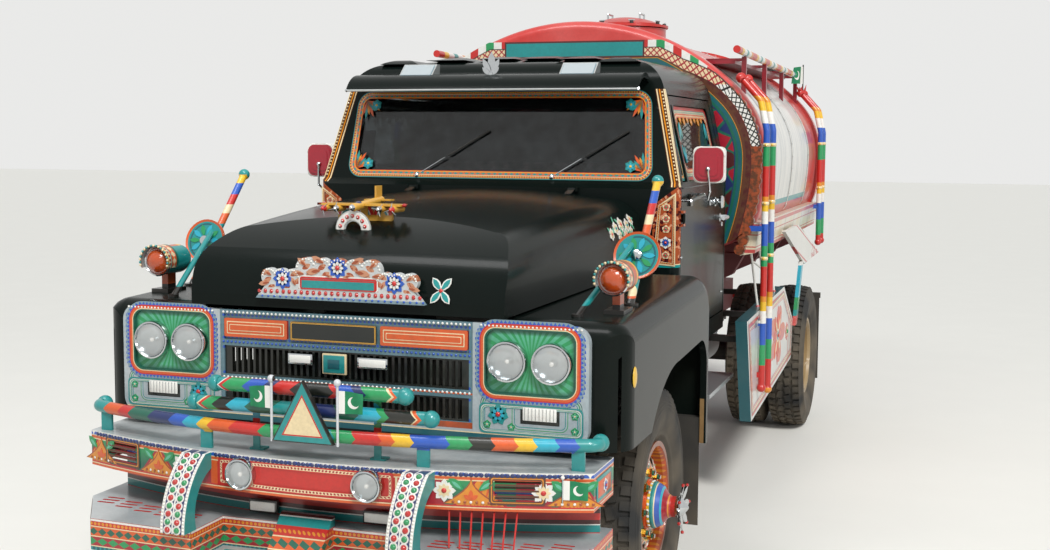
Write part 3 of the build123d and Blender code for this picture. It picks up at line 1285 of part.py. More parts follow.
for side in (-1, 1):
    x = side * POLE_X
    poles.append(rod((x, pole_y, 955), (x, pole_y, 1188), POLE_R) + Pos(x, pole_y, 1188) * Sphere(14))
    x0, x1 = sorted((x + side * (POLE_R + SEAT_GAP), x + side * 100))
    flags.append(box(x0, x1, pole_y - 2, pole_y + 2, 1075, 1160))
save("sign_and_poles", sign, *poles)
save("front_flags", *flags)

# Cab fittings
floor = CAB_FLOOR + CAB_WALL
dash_front = CAB_FRONT + 48
dash_back = [(1010, 1800), (1075, 1740), (1075, 1600), (1000, 1420)]
dash_face = poly((dash_front, 1420), (dash_front, 1815), *dash_back)
dash = side_prism(dash_face, -780, 780)
dash = dash & cab_form(CAB_WALL + SEAT_GAP)
save("dashboard", dash)
wheel_at = (-430.0, 1240.0, 1790.0)
tilt = Vector(0, 0.52, 0.85)
column = rod((-430, 1040, 1500), wheel_at, 22)
ring = Plane(origin=wheel_at, z_dir=tilt) * Torus(215, 14)
spoke_plane = Plane(origin=wheel_at, z_dir=tilt)
ring += spoke_plane * Box(420, 22, 12) + spoke_plane * Cylinder(45, 30)
save("steering_wheel", (ring + column) - dash)
seat_low = floor + SEAT_GAP
seat_back = [(1800, 1430), (1890, 1980), (2000, 1980), (2000, seat_low)]
seat = side_prism(poly((1330, seat_low), (1330, 1400), (1400, 1450), *seat_back), -780, 780)
seat -= box(-20, 20, 1300, 1790, 1300, 1500)
save("seats", seat & cab_form(CAB_WALL + SEAT_GAP))
visor_edges = [
    ThreePointArc((905, 2340), (770, 2352), (700, 2300)),
    Line((700, 2300), (690, 2310)),
    ThreePointArc((690, 2310), (765, 2372), (925, 2362)),
    Line((925, 2362), (905, 2340)),
]
visor = side_prism(make_face(visor_edges), -760, 760) - cab_form(-SEAT_GAP)
ornaments = []
for x in (-620, 620):
    ornaments.append(side_prism(poly((800, 2375), (900, 2376), (900, 2440), (870, 2440)), x - 60, x + 60))
leaf = front_prism(poly((-22, 2380), (22, 2380), (34, 2440), (0, 2500), (-34, 2440)), 800, 822)
ornaments.append(leaf)
save("sun_visor", visor, *[shape - visor - cab_form(-SEAT_GAP) for shape in ornaments])

steps = []
for side in (-1, 1):
    step = box(690, 1000, 1360, 2080, 712, 735)
    for y in (1480, 1960):
        step += box(FRAME_HALF + SEAT_GAP, 700, y - 25, y + 25, 716, 760)
    steps.append(step if side > 0 else mirror(step, about=Plane.YZ))
save("cab_steps", *steps)
front_flap = box(800, 1085, 662, 668, 240, 760)
front_flap += box(800, 1085, 668, CAB_FRONT - 45 - SEAT_GAP, 700, 760)

# Tank and what it carries
barrel = tank()
save("tank", barrel)
board = tank_board()
save("tank_board", board)
save("tank_saddles", tank_saddles())
left_rail = tank_rail()
save("tank_rails", *both(left_rail))
save("roof_rails", *roof_rails())
save("hatch_lid", hatch_lid())
posts = []
for post in side_posts():
    posts += both(post - left_rail - barrel - board)
save("side_posts", *posts)
save("side_boards", *both(side_board()))

# Rear
guard = box(-1000, 1000, FRAME_REAR + SEAT_GAP, FRAME_REAR + 70, 690, 830)
lamps = []
for side in (-1, 1):
    for x in (820, 930):
        turned = mirror(round_lamp(46, 30), about=Plane.XZ)
        lamps.append(Pos(side * x, FRAME_REAR + 70 + SEAT_GAP, 760) * turned)
tow = box(-70, 70, FRAME_REAR + 60, FRAME_REAR + 185, TOW_Z - 15, TOW_Z + 15)
tow -= Pos(0, FRAME_REAR + 125, TOW_Z) * Cylinder(TOW_BORE_R, 60)
guard += tow
save("rear_guard", guard, *lamps)
rear_flap = box(660, 1170, 4884, 4890, 240, 900)
rear_flap += box(FRAME_HALF + SEAT_GAP, 1175, 4890, 4920, 860, 900)
save("mud_flaps", *both(front_flap), *both(rear_flap))
outlet = bent_bar([(0, 5000, 1330), (0, 5000, 1180), (0, 5400, 1180)], 48, 80)
outlet += rod((0, 5400, 1180), (0, 5425, 1180), 70)
outlet += rod((0, 5250, 1180), (0, 5250, 1290), 24) + Pos(0, 5250, 1290) * Cylinder(75, 14)
save("outlet", outlet - barrel)
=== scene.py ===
"""Looks of a decorated bonneted water tanker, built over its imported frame.

Lengths are in metres. AXLE is the row frame's Y of the front axle, from which the CAD's own places are counted.
"""

import logging
import math
from abc import ABC, abstractmethod
from dataclasses import dataclass
from enum import Enum
from typing import Callable, Iterable, Optional, Sequence, Union

import bmesh
import bpy
from mathutils import Matrix, Vector
from mathutils.bvhtree import BVHTree


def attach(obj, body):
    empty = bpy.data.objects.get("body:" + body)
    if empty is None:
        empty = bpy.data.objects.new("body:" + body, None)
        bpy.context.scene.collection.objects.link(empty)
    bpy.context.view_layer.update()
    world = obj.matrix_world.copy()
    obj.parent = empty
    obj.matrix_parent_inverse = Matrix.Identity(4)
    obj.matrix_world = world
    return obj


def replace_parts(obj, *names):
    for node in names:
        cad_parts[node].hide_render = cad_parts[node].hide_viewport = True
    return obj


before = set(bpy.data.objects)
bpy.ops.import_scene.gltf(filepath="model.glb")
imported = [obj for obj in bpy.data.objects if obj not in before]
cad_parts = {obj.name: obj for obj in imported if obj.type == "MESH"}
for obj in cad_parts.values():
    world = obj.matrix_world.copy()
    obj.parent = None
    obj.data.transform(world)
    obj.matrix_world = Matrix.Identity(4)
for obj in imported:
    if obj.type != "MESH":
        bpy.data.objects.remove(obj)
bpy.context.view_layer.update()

LOG = logging.getLogger("tanker")
AXLE = -2.0875
WHEELBASE = 4.3
WHEEL_Z = 0.508

Point = Sequence[float]


class Pigment(Enum):
    """The colours of the truck, as an eye sees them."""

    BLACK = "07100e"
    SOOT = "1b1a18"
    SMOKE = "4b4f4d"
    WHITE = "e9e7df"
    SILVER = "c9ccca"
    GREY = "8d979b"
    STEEL_BLUE = "7c95a0"
    CREAM = "e8d3a6"
    RED = "c4221c"
    CRIMSON = "a3142a"
    ROSE = "cf5550"
    MAROON = "4b1214"
    ORANGE = "d9581c"
    BRICK = "a04a26"
    PEACH = "c98c6a"
    AMBER = "dd8a1d"
    YELLOW = "e9b928"
    GREEN = "1d9455"
    MINT = "5fb795"
    PINE = "0f5f4b"
    TEAL = "128c8a"
    DEEP_TEAL = "0c5a63"
    CYAN = "26a9c0"
    BLUE = "1f55b5"
    NAVY = "17295f"
    BROWN = "5a331d"
    TAN = "a58a5d"
    GOLD = "d8a33a"
    CHROME = "cdd0d2"
    IRON = "3b3c3d"
    RUBBER = "1c1d1d"
    DUST = "8b7d68"

    @property
    def linear(self) -> tuple[float, float, float]:
        """The colour as light values, which the shaders take."""
        parts = [int(self.value[i : i + 2], 16) / 255 for i in (0, 2, 4)]
        return tuple(c / 12.92 if c <= 0.04045 else ((c + 0.055) / 1.055) ** 2.4 for c in parts)


P = Pigment


@dataclass(eq=False)
class Wave:
    """A node's output that plain arithmetic works on: each sign adds the Math node it stands for."""

    sketch: "Sketch"
    socket: bpy.types.NodeSocket

    def __abs__(self) -> "Wave":
        """The value without its sign."""
        return self.sketch.do("ABSOLUTE", self)

    def __add__(self, other: "Signal") -> "Wave":
        """The sum."""
        return self.sketch.do("ADD", self, other)

    def __radd__(self, other: "Signal") -> "Wave":
        """The sum, with the number first."""
        return self.sketch.do("ADD", other, self)

    def __sub__(self, other: "Signal") -> "Wave":
        """The difference."""
        return self.sketch.do("SUBTRACT", self, other)

    def __rsub__(self, other: "Signal") -> "Wave":
        """The difference, with the number first."""
        return self.sketch.do("SUBTRACT", other, self)

    def __mul__(self, other: "Signal") -> "Wave":
        """The product."""
        return self.sketch.do("MULTIPLY", self, other)

    def __rmul__(self, other: "Signal") -> "Wave":
        """The product, with the number first."""
        return self.sketch.do("MULTIPLY", other, self)

    def __truediv__(self, other: "Signal") -> "Wave":
        """The share."""
        return self.sketch.do("DIVIDE", self, other)

    def __lt__(self, other: "Signal") -> "Wave":
        """1 where this value is below the other."""
        return self.sketch.do("LESS_THAN", self, other)

    def __gt__(self, other: "Signal") -> "Wave":
        """1 where this value is above the other."""
        return self.sketch.do("GREATER_THAN", self, other)


Signal = Union[float, tuple, Pigment, Wave]


def spot(x: float, y: float, z: float) -> Vector:
    """A place given from the front axle, as a point of the row frame."""
    return Vector((x, y + AXLE, z))


# Materials


class Sketch:
    """One material's node tree, drawn a step at a time; y is counted from the front axle."""

    def __init__(self, name: str) -> None:
        """Starts an empty material.

        Args:
            name: The material's name.
        """
        self.material = bpy.data.materials.new(name)
        self.material.use_nodes = True
        self.tree = self.material.node_tree
        self.tree.nodes.clear()
        coords = self.tree.nodes.new("ShaderNodeTexCoord")
        self.object, self.normal, self.uv = (Wave(self, coords.outputs[key]) for key in ("Object", "Normal", "UV"))
        self.x, raw_y, self.z = self.split(self.object)
        self.y = raw_y - AXLE

    def node(self, kind: str, inputs: dict, output: Union[int, str] = 0, **settings: object) -> Wave:
        """Adds one node.

        Args:
            kind: The node's type, without its ShaderNode prefix.
            inputs: What goes into each input, a number, a colour or another node's output.
            output: Which output to hand back.
            **settings: The node's own settings.

        Returns:
            The node's output.
        """
        made = self.tree.nodes.new("ShaderNode" + kind)
        for key, value in settings.items():
            setattr(made, key, value)
        for key, value in inputs.items():
            self.feed(made.inputs[key], value)
        return Wave(self, made.outputs[output])

    def feed(self, socket: bpy.types.NodeSocket, value: Signal) -> None:
        """Puts a number or colour in an input, or links another node's output to it.

        Args:
            socket: The input.
            value: What goes in.
        """
        if isinstance(value, Wave):
            self.tree.links.new(value.socket, socket)
        elif isinstance(value, Pigment):
            socket.default_value = (*value.linear, 1.0)
        elif isinstance(value, tuple) and socket.type == "RGBA" and len(value) == 3:
            socket.default_value = (*value, 1.0)
        else:
            socket.default_value = value

    def do(self, operation: str, *values: Signal) -> Wave:
        """Adds a Math node and returns its output."""
        return self.node("Math", dict(enumerate(values)), operation=operation)

    def split(self, vector: Signal) -> tuple:
        """The three parts of a vector.

        Args:
            vector: The vector.

        Returns:
            Its x, y and z.
        """
        made = self.tree.nodes.new("ShaderNodeSeparateXYZ")
        self.feed(made.inputs[0], vector)
        return tuple(Wave(self, output) for output in made.outputs)

    def join(self, x: Signal, y: Signal, z: Signal = 0.0) -> Wave:
        """A vector of three parts."""
        return self.node("CombineXYZ", {0: x, 1: y, 2: z})

    def noise(self, scale: float, detail: float = 3.0, rough: float = 0.55, at: Optional[Signal] = None) -> Wave:
        """Soft random values from 0 to 1, at so many lumps a metre.

        Args:
            scale: How many lumps a metre.
            detail: How many finer layers.
            rough: How strong the finer layers are.
            at: The place read, if not the point itself.

        Returns:
            The values.
        """
        place = self.object if at is None else at
        inputs = {"Vector": place, "Scale": scale, "Detail": detail, "Roughness": rough}
        return self.node("TexNoise", inputs, "Fac")

    def cells(self, scale: float, at: Optional[Signal] = None, feature: str = "F1", output: str = "Distance") -> Wave:
        """Distances or colours of random cells."""
        place = self.object if at is None else at
        return self.node("TexVoronoi", {"Vector": place, "Scale": scale}, output, feature=feature)

    def span(self, value: Signal, low: Signal, high: Signal) -> Wave:
        """A value carried from the range low to high on to 0 to 1, and held there."""
        return self.node("MapRange", {"Value": value, "From Min": low, "From Max": high}, "Result")

    def within(self, value: Signal, low: float, high: float) -> Wave:
        """1 where the value lies between the two limits."""
        return self.do("COMPARE", value, (low + high) / 2, (high - low) / 2)

    def both(self, *masks: Signal) -> Signal:
        """1 where every mask is 1.

        Args:
            *masks: The masks.

        Returns:
            Their product.
        """
        result = masks[0]
        for mask in masks[1:]:
            result = result * mask
        return result

    def blend(self, amount: Signal, first: Signal, second: Signal, kind: str = "MIX") -> Wave:
        """Two colours mixed, the second by the given amount.

        Args:
            amount: How much of the second.
            first: A colour.
            second: A colour.
            kind: How they mix.

        Returns:
            The colour.
        """
        made = self.tree.nodes.new("ShaderNodeMix")
        made.data_type = "RGBA"
        made.blend_type = kind
        self.feed(made.inputs[0], amount)
        self.feed(made.inputs[6], first)
        self.feed(made.inputs[7], second)
        return Wave(self, made.outputs[2])

    def over(self, ground: Signal, *layers: tuple) -> Signal:
        """Paints layers, each a mask and a colour, over a ground.

        Args:
            ground: The colour beneath.
            *layers: Each a mask and a colour.

        Returns:
            The colour.
        """
        for mask, colour in layers:
            ground = self.blend(mask, ground, colour)
        return ground

    def steps(self, value: Signal, stops: Sequence[tuple], hard: bool = True) -> Wave:
        """A colour ramp.

        Args:
            value: What chooses the colour, from 0 to 1.
            stops: Where each colour starts, and the colour.
            hard: Whether the colours change at once.

        Returns:
            The colour.
        """
        made = self.tree.nodes.new("ShaderNodeValToRGB")
        ramp = made.color_ramp
        ramp.interpolation = "CONSTANT" if hard else "LINEAR"
        while len(ramp.elements) < len(stops):
            ramp.elements.new(1.0)
        for element, (place, colour) in zip(ramp.elements, stops):
            element.position = place
            element.color = (*(colour.linear if isinstance(colour, Pigment) else colour), 1.0)
        self.feed(made.inputs[0], value)
        return Wave(self, made.outputs[0])

    def cycle(self, value: Signal, pitch: float, colours: Sequence[tuple]) -> Wave:
        """Colours that repeat along a value, each with its own length; the lengths add up to the pitch.

        Args:
            value: What the colours follow.
            pitch: How long a round is.
            colours: Each colour's length and the colour.

        Returns:
            The colour.
        """
        turn = self.do("FRACT", value / pitch)
        stops, reach = [], 0.0
        for length, colour in colours:
            stops.append((reach / pitch, colour))
            reach += length
        return self.steps(turn, stops)

    def wrap(self, value: Signal, pitch: float) -> Wave:
        """The distance along a row to its nearest mark, negative before it."""
        return self.do("WRAP", value, pitch / 2, -pitch / 2)

    def far(self, u: Signal, v: Signal) -> Wave:
        """The distance from a middle, given the two sides."""
        return self.do("SQRT", self.do("MULTIPLY_ADD", u, u, v * v))

    def dots(self, u: Signal, v: Signal, pitch: float, radius: float) -> Wave:
        """A row of round dots along u, at v = 0."""
        return self.far(self.wrap(u, pitch), v) < radius

    def diamonds(self, u: Signal, v: Signal, pitch: float, high: float) -> Wave:
        """A row of diamonds along u, at v = 0.

        Args:
            u: The place along.
            v: The place up.
            pitch: The distance between them.
            high: How high they are.

        Returns:
            The mask.
        """
        across = abs(self.wrap(u, pitch)) * 2 / pitch
        up = abs(v) * 2 / high
        return across + up < 1.0

    def teeth(self, u: Signal, v: Signal, pitch: float, high: float) -> Wave:
        """A row of pointed teeth that stand on v = 0.

        Args:
            u: The place along.
            v: The place up.
            pitch: The distance between them.
            high: How high they are.

        Returns:
            The mask.
        """
        across = abs(self.wrap(u, pitch)) * 2 * high / pitch
        under = v + across < high
        return self.both(under, v > 0.0)

    def bloom(self, u: Signal, v: Signal, radius: float, petals: int, depth: float = 0.4) -> Wave:
        """A flower's outline about a middle.

        Args:
            u: The place along.
            v: The place up.
            radius: The flower's radius.
            petals: How many petals.
            depth: How deeply they are cut.

        Returns:
            The mask.
        """
        turn = self.do("ARCTAN2", v, u)
        wave = abs(self.do("COSINE", turn * petals / 2))
        edge = self.do("MULTIPLY_ADD", wave, radius * depth, radius * (1 - depth))
        return self.far(u, v) < edge

    def pad(self, u: Signal, v: Signal, half_u: float, half_v: float, corner: float) -> Wave:
        """The distance outside a rectangle with round corners, negative inside it.

        Args:
            u: The place along.
            v: The place up.
            half_u: Half its width.
            half_v: Half its height.
            corner: The corners' radius.

        Returns:
            The distance.
        """
        du = abs(u) - (half_u - corner)
        dv = abs(v) - (half_v - corner)
        out = self.far(self.do("MAXIMUM", du, 0.0), self.do("MAXIMUM", dv, 0.0))
        inside = self.do("MINIMUM", self.do("MAXIMUM", du, dv), 0.0)
        return out + inside - corner


class Pattern(ABC):
    """A painted design that gives a surface its colour."""

    @abstractmethod
    def draw(self, s: Sketch) -> Signal:
        """Draws the design and returns its colour."""


@dataclass(frozen=True)
class Finish:
    """How one surface looks: its colour or design, its shine, its grain and its wear."""

    name: str
    pigment: Pigment = Pigment.GREY
    pattern: Optional[Pattern] = None
    rough: float = 0.35
    metal: float = 0.0
    coat: float = 0.0
    wear: float = 0.25
    dust: float = 0.12
    grain: float = 60.0
    relief: float = 0.12
    glow: float = 0.0
    clear: float = 0.0
    shine: float = 0.5

    def material(self) -> bpy.types.Material:
        """Makes the material, or finds the one already made."""
        known = bpy.data.materials.get(self.name)
        return known if known is not None else self._draw()

    def _draw(self) -> bpy.types.Material:
        """Draws the material's nodes.

        Returns:
            The new material.
        """
        s = Sketch(self.name)
        colour = self.pattern.draw(s) if self.pattern else self.pigment
        fine = s.noise(self.grain, 4.0)
        broad = s.noise(2.3, 3.0, 0.6)
        shade = s.span(fine * broad, 0.1, 0.42)
        colour = s.blend(s.do("MULTIPLY_ADD", shade, -self.wear, self.wear), colour, P.SOOT)
        low = s.span(s.z, 1.5, 0.1)
        settled = s.do("MULTIPLY_ADD", low, 0.8, 0.2) * s.span(broad, 0.35, 0.7)
        colour = s.blend(settled * self.dust, colour, P.DUST)
        rough = self.rough + broad * fine * (self.wear * 0.6 + 0.04)
        bump = s.node("Bump", {"Strength": self.relief, "Distance": 0.002, "Height": fine}, "Normal")
        made = s.tree.nodes.new("ShaderNodeBsdfPrincipled")
        for key, value in {"Base Color": colour, "Roughness": rough, "Normal": bump}.items():
            s.feed(made.inputs[key], value)
        made.inputs["Metallic"].default_value = self.metal
        made.inputs["Coat Weight"].default_value = self.coat
        made.inputs["Coat Roughness"].default_value = 0.06
        made.inputs["Transmission Weight"].default_value = self.clear
        made.inputs["Specular IOR Level"].default_value = self.shine
        if self.glow:
            s.feed(made.inputs["Emission Color"], colour)
            made.inputs["Emission Strength"].default_value = self.glow
        out = s.tree.nodes.new("ShaderNodeOutputMaterial")
        s.tree.links.new(made.outputs[0], out.inputs[0])
        return s.material


def enamel(name: str, pigment: Pigment, **changes: float) -> Finish:
    """A glossy sign-painter's enamel."""
    return Finish(name, pigment, **{"rough": 0.28, "coat": 0.35, "wear": 0.22, **changes})


class Stock:
    """The plain finishes that many pieces share."""

    RED = enamel("red_enamel", P.RED)
    CRIMSON = enamel("crimson_enamel", P.CRIMSON)
    ORANGE = enamel("orange_enamel", P.ORANGE)
    AMBER = enamel("amber_enamel", P.AMBER)
    YELLOW = enamel("yellow_enamel", P.YELLOW)
    CREAM = enamel("cream_enamel", P.CREAM)
    WHITE = enamel("white_enamel", P.WHITE)
    GREEN = enamel("green_enamel", P.GREEN)
    PINE = enamel("pine_enamel", P.PINE)
    TEAL = enamel("teal_enamel", P.TEAL)
    CYAN = enamel("cyan_enamel", P.CYAN)
    BLUE = enamel("blue_enamel", P.BLUE)
    MINT = enamel("mint_enamel", P.MINT)
    DEEP = enamel("deep_teal_enamel", P.DEEP_TEAL)
    BROWN_STEEL = Finish("brown_steel", P.BROWN, rough=0.45, wear=0.3, dust=0.3, grain=60)
    ROSE = enamel("rose_enamel", P.ROSE)
    BRICK = enamel("brick_enamel", P.BRICK)
    PEACH = enamel("peach_enamel", P.PEACH)
    STEEL = enamel("steel_enamel", P.STEEL_BLUE)
    REFLECTOR = Finish("lamp_reflector", P.GREY, rough=0.18, metal=1.0, wear=0.05, dust=0.0, grain=30, relief=0.02)
    NAVY = enamel("navy_enamel", P.NAVY)
    BLACK = enamel("black_enamel", P.BLACK)
    SILVER = Finish("silver_sheet", P.SILVER, rough=0.3, metal=0.65, wear=0.2, grain=45)
    CHROME = Finish("chrome_plate", P.CHROME, rough=0.09, metal=1.0, wear=0.12, dust=0.04, grain=90, relief=0.03)
    GOLD = Finish("gilt_brass", P.GOLD, rough=0.18, metal=1.0, wear=0.2, dust=0.05, grain=80, relief=0.05)
    IRON = Finish("oiled_iron", P.IRON, rough=0.55, metal=0.6, wear=0.5, dust=0.45, grain=25, relief=0.3)
    RUBBER = Finish("moulded_rubber", P.RUBBER, rough=0.75, wear=0.3, dust=0.35, grain=120, relief=0.25)
    RUBY = Finish("ruby_glass", P.RED, rough=0.08, coat=0.8, wear=0.05, dust=0.0, relief=0.0, clear=0.25)
    EMERALD = Finish("emerald_glass", P.GREEN, rough=0.08, coat=0.8, wear=0.05, dust=0.0, relief=0.0, clear=0.25)
    AMBER_GLASS = Finish(
        "amber_glass", P.ORANGE, rough=0.1, coat=0.8, wear=0.1, dust=0.05, grain=200, relief=0.4, clear=0.35
    )
    LENS = Finish("lamp_glass", P.SILVER, rough=0.03, wear=0.02, dust=0.0, grain=150, relief=0.15, clear=0.95)
    RIBBED = Finish(
        "ribbed_lamp", P.WHITE, rough=0.12, coat=0.6, wear=0.12, dust=0.02, grain=220, relief=0.5, glow=0.12
    )


# Shapes


def turned_to(axis: Point) -> Matrix:
    """A turn that carries up on to an axis."""
    return Vector((0, 0, 1)).rotation_difference(Vector(axis)).to_matrix().to_4x4()


FRONT = Matrix(((1, 0, 0, 0), (0, 0, -1, 0), (0, 1, 0, 0), (0, 0, 0, 1)))  # flat x, y, out to world x, z, -y


class Shape:
    """A mesh that grows by simple parts, each with its own finish."""

    def __init__(self, name: str, body: str = "truck", slot: str = "bright_paint") -> None:
        """Starts an empty mesh.

        Args:
            name: The piece's name.
            body: The CAD body that it rides on.
            slot: Not used; only kept on the piece.
        """
        self.name, self.body, self.slot = name, body, slot
        self.mesh = bmesh.new()
        self.uv = self.mesh.loops.layers.uv.new("flat")
        self.finishes: list[Finish] = []

    def _tone(self, finish: Finish) -> int:
        """The place of a finish among the piece's own.

        Args:
            finish: The finish.

        Returns:
            Its place.
        """
        if finish not in self.finishes:
            self.finishes.append(finish)
        return self.finishes.index(finish)

    def _keep(self, verts: Iterable, finish: Finish) -> list:
        """Gives the faces round some points a finish and hands the points back.

        Args:
            verts: The points.
            finish: Their finish.

        Returns:
            The points.
        """
        verts, index = list(verts), self._tone(finish)
        for vert in verts:
            for face in vert.link_faces:
                face.material_index = index
                face.smooth = True
        return verts

    def move(self, verts: Iterable, matrix: Matrix) -> list:
        """Moves some points by a matrix.

        Args:
            verts: The points.
            matrix: Where they go.

        Returns:
            The points.
        """
        verts = list(verts)
        bmesh.ops.transform(self.mesh, matrix=matrix, verts=verts)
        if matrix.determinant() < 0:
            bmesh.ops.reverse_faces(self.mesh, faces=list({face for vert in verts for face in vert.link_faces}))
        return verts

    def block(
        self, centre: Point, size: Point, finish: Finish, round_by: float = 0.0, turn: Optional[Matrix] = None
    ) -> list:
        """Adds a block with softened edges.

        Args:
            centre: Its middle.
            size: Its three lengths.
            finish: Its finish.
            round_by: How round its edges are.
            turn: How it is turned.

        Returns:
            The new points.
        """
        made = bmesh.ops.create_cube(self.mesh, size=1.0, matrix=Matrix.Diagonal((*size, 1)))["verts"]
        faces = {face for vert in made for face in vert.link_faces}
        if round_by:
            edges = {edge for face in faces for edge in face.edges}
            made = bmesh.ops.bevel(
                self.mesh, geom=list(edges), offset=round_by, segments=2, affect="EDGES", profile=0.5, material=-1
            )["verts"]
            made = {vert for face in made[0].link_faces for vert in face.verts} | set(made)
            made = self._linked(made)
        return self._keep(self.move(made, Matrix.Translation(centre) @ (turn or Matrix.Identity(4))), finish)

    def _linked(self, verts: Iterable) -> set:
        """All points joined to some points by edges.

        Args:
            verts: The points.

        Returns:
            Every point reached.
        """
        found, edge_of = set(verts), list(verts)
        while edge_of:
            for link in edge_of.pop().link_edges:
                for vert in link.verts:
                    if vert not in found:
                        found.add(vert)
                        edge_of.append(vert)
        return found

    def rod(
        self, start: Point, end: Point, radius: float, finish: Finish, sides: int = 12, tip: Optional[float] = None
    ) -> list:
        """Adds a round bar, or a cone where its tip has another radius.

        Args:
            start: Its one end.
            end: Its other end.
            radius: Its radius.
            finish: Its finish.
            sides: How many sides it has.
            tip: The other end's radius.

        Returns:
            The new points.
        """
        start, end = Vector(start), Vector(end)
        place = Matrix.Translation((start + end) / 2) @ turned_to(end - start)
        made = bmesh.ops.create_cone(
            self.mesh, cap_ends=True, segments=sides, radius1=radius,
            radius2=radius if tip is None else tip, depth=(end - start).length, matrix=place,
        )["verts"]
        return self._keep(made, finish)

    def ball(self, centre: Point, radius: float, finish: Finish, sides: int = 12, squash: Point = (1, 1, 1)) -> list:
        """Adds a ball, flattened if need be.

        Args:
            centre: Its middle.
            radius: Its radius.
            finish: Its finish.
            sides: How many sides it has.
            squash: How much of each length is kept.

        Returns:
            The new points.
        """
        place = Matrix.Translation(centre) @ Matrix.Diagonal((*squash, 1))
        made = bmesh.ops.create_uvsphere(
            self.mesh, u_segments=sides, v_segments=max(4, sides // 2), radius=radius, matrix=place
        )
        return self._keep(made["verts"], finish)

    def stud(self, centre: Point, out: Point, radius: float, high: float, finish: Finish, sides: int = 8) -> list:
        """Adds a half ball that stands on a surface.

        Args:
            centre: Its foot.
            out: Which way it stands.
            radius: Its radius.
            high: How far it stands out.
            finish: Its finish.
            sides: How many sides it has.

        Returns:
            The new points.
        """
        place = Matrix.Translation(centre) @ turned_to(out) @ Matrix.Diagonal((1, 1, high / radius, 1))
        made = bmesh.ops.create_uvsphere(self.mesh, u_segments=sides, v_segments=6, radius=radius)["verts"]
        edges = list({edge for vert in made for edge in vert.link_edges})
        faces = list({face for vert in made for face in vert.link_faces})
        cut = bmesh.ops.bisect_plane(
            self.mesh, geom=made + edges + faces, plane_co=(0, 0, 0), plane_no=(0, 0, 1), clear_inner=True
        )
        kept = {item for item in cut["geom"] if isinstance(item, bmesh.types.BMVert) and item.is_valid}
        rim = [e for e in cut["geom_cut"] if isinstance(e, bmesh.types.BMEdge)]
        bmesh.ops.holes_fill(self.mesh, edges=rim, sides=0)
        return self._keep(self.move(kept, place), finish)

    def turned(self, rows: Sequence[Point], centre: Point, axis: Point, finish: Finish, sides: int = 24) -> list:
        """Adds a shape turned about an axis.

        Args:
            rows: Its outline as (radius, along) from the middle.
            centre: Where the outline starts.
            axis: The axis it is turned about.
            finish: Its finish.
            sides: How many steps round.

        Returns:
            The new points.
        """
        verts = [self.mesh.verts.new((max(r, 0.0), 0, a)) for r, a in rows]
        edges = [self.mesh.edges.new(pair) for pair in zip(verts, verts[1:])]
        bmesh.ops.spin(
            self.mesh, geom=verts + edges, cent=(0, 0, 0), axis=(0, 0, 1), angle=math.tau, steps=sides, use_merge=True
        )
        made = self._linked(verts)
        bmesh.ops.remove_doubles(self.mesh, verts=list(made), dist=1e-6)
        made = {v for v in made if v.is_valid}
        faces = {f for v in made for f in v.link_faces}
        bmesh.ops.recalc_face_normals(self.mesh, faces=list(faces))
        return self._keep(self.move(made, Matrix.Translation(centre) @ turned_to(axis)), finish)

    def sheet(self, outline: Sequence[Point], place: Matrix, thick: float, finish: Finish) -> list:
        """Adds a flat cut-out.

        Args:
            outline: Its corners, flat.
            place: What carries the flat on to the truck; its third direction is outwards.
            thick: How far it stands out.
            finish: Its finish.

        Returns:
            The new points.
        """
        verts = [self.mesh.verts.new((p[0], p[1], 0)) for p in outline]
        face = self.mesh.faces.new(verts)
        face.normal_update()
        if face.normal.z < 0:
            face.normal_flip()
        pushed = bmesh.ops.extrude_face_region(self.mesh, geom=[face], use_keep_orig=True)["geom"]
        top = [item for item in pushed if isinstance(item, bmesh.types.BMVert)]
        bmesh.ops.translate(self.mesh, vec=(0, 0, thick), verts=top)
        made = verts + top
        faces = list({f for v in made for f in v.link_faces})
        bmesh.ops.recalc_face_normals(self.mesh, faces=faces)
        kept = self._keep(self.move(made, place), finish)
        for one in faces:
            one.smooth = False
        return kept

    def ribbon(
        self, inner: Sequence[Point], outer: Sequence[Point], place: Matrix, lift: float, finish: Finish,
        closed: bool = True
    ) -> list:
        """Adds a band between two lines, laid out flat in its UV map: along it in u and across it in v, in metres.

        Args:
            inner: One edge, flat.
            outer: The other edge, point for point.
            place: What carries the flat on to the truck.
            lift: How far it lies above the flat.
            finish: Its finish.
            closed: Whether its ends meet.

        Returns:
            The new points.
        """
        lines = []
        for side in (inner, outer):
            verts = [self.mesh.verts.new((*p, lift) if len(p) == 2 else (p[0], p[1], p[2] + lift)) for p in side]
            ends = verts[1:] + (verts[:1] if closed else [])
            lines.append((verts, [self.mesh.edges.new(pair) for pair in zip(verts, ends)]))
        faces = bmesh.ops.bridge_loops(self.mesh, edges=lines[0][1] + lines[1][1])["faces"]
        order = {vert: i for verts, _ in lines for i, vert in enumerate(verts)}
        low = set(lines[0][0])
        count = len(lines[0][0])
        middle = [(a.co + b.co) / 2 for a, b in zip(lines[0][0], lines[1][0])]
        along = [0.0]
        for i in range(count if closed else count - 1):
            along.append(along[-1] + (middle[(i + 1) % count] - middle[i]).length)
        for face in faces:
            steps = {order[vert] for vert in face.verts}
            seam = closed and steps == {0, count - 1}
            for loop in face.loops:
                i = order[loop.vert]
                reach = along[count] if seam and i == 0 else along[i]
                other = lines[1][0][i] if loop.vert in low else lines[0][0][i]
                across = 0.0 if loop.vert in low else (loop.vert.co - other.co).length
                loop[self.uv].uv = (reach, across)
        made = lines[0][0] + lines[1][0]
        flat = sum((face.normal.z for face in faces if not face.normal_update()), 0.0)
        if flat < 0:
            bmesh.ops.reverse_faces(self.mesh, faces=faces)
        return self._keep(self.move(made, place), finish)

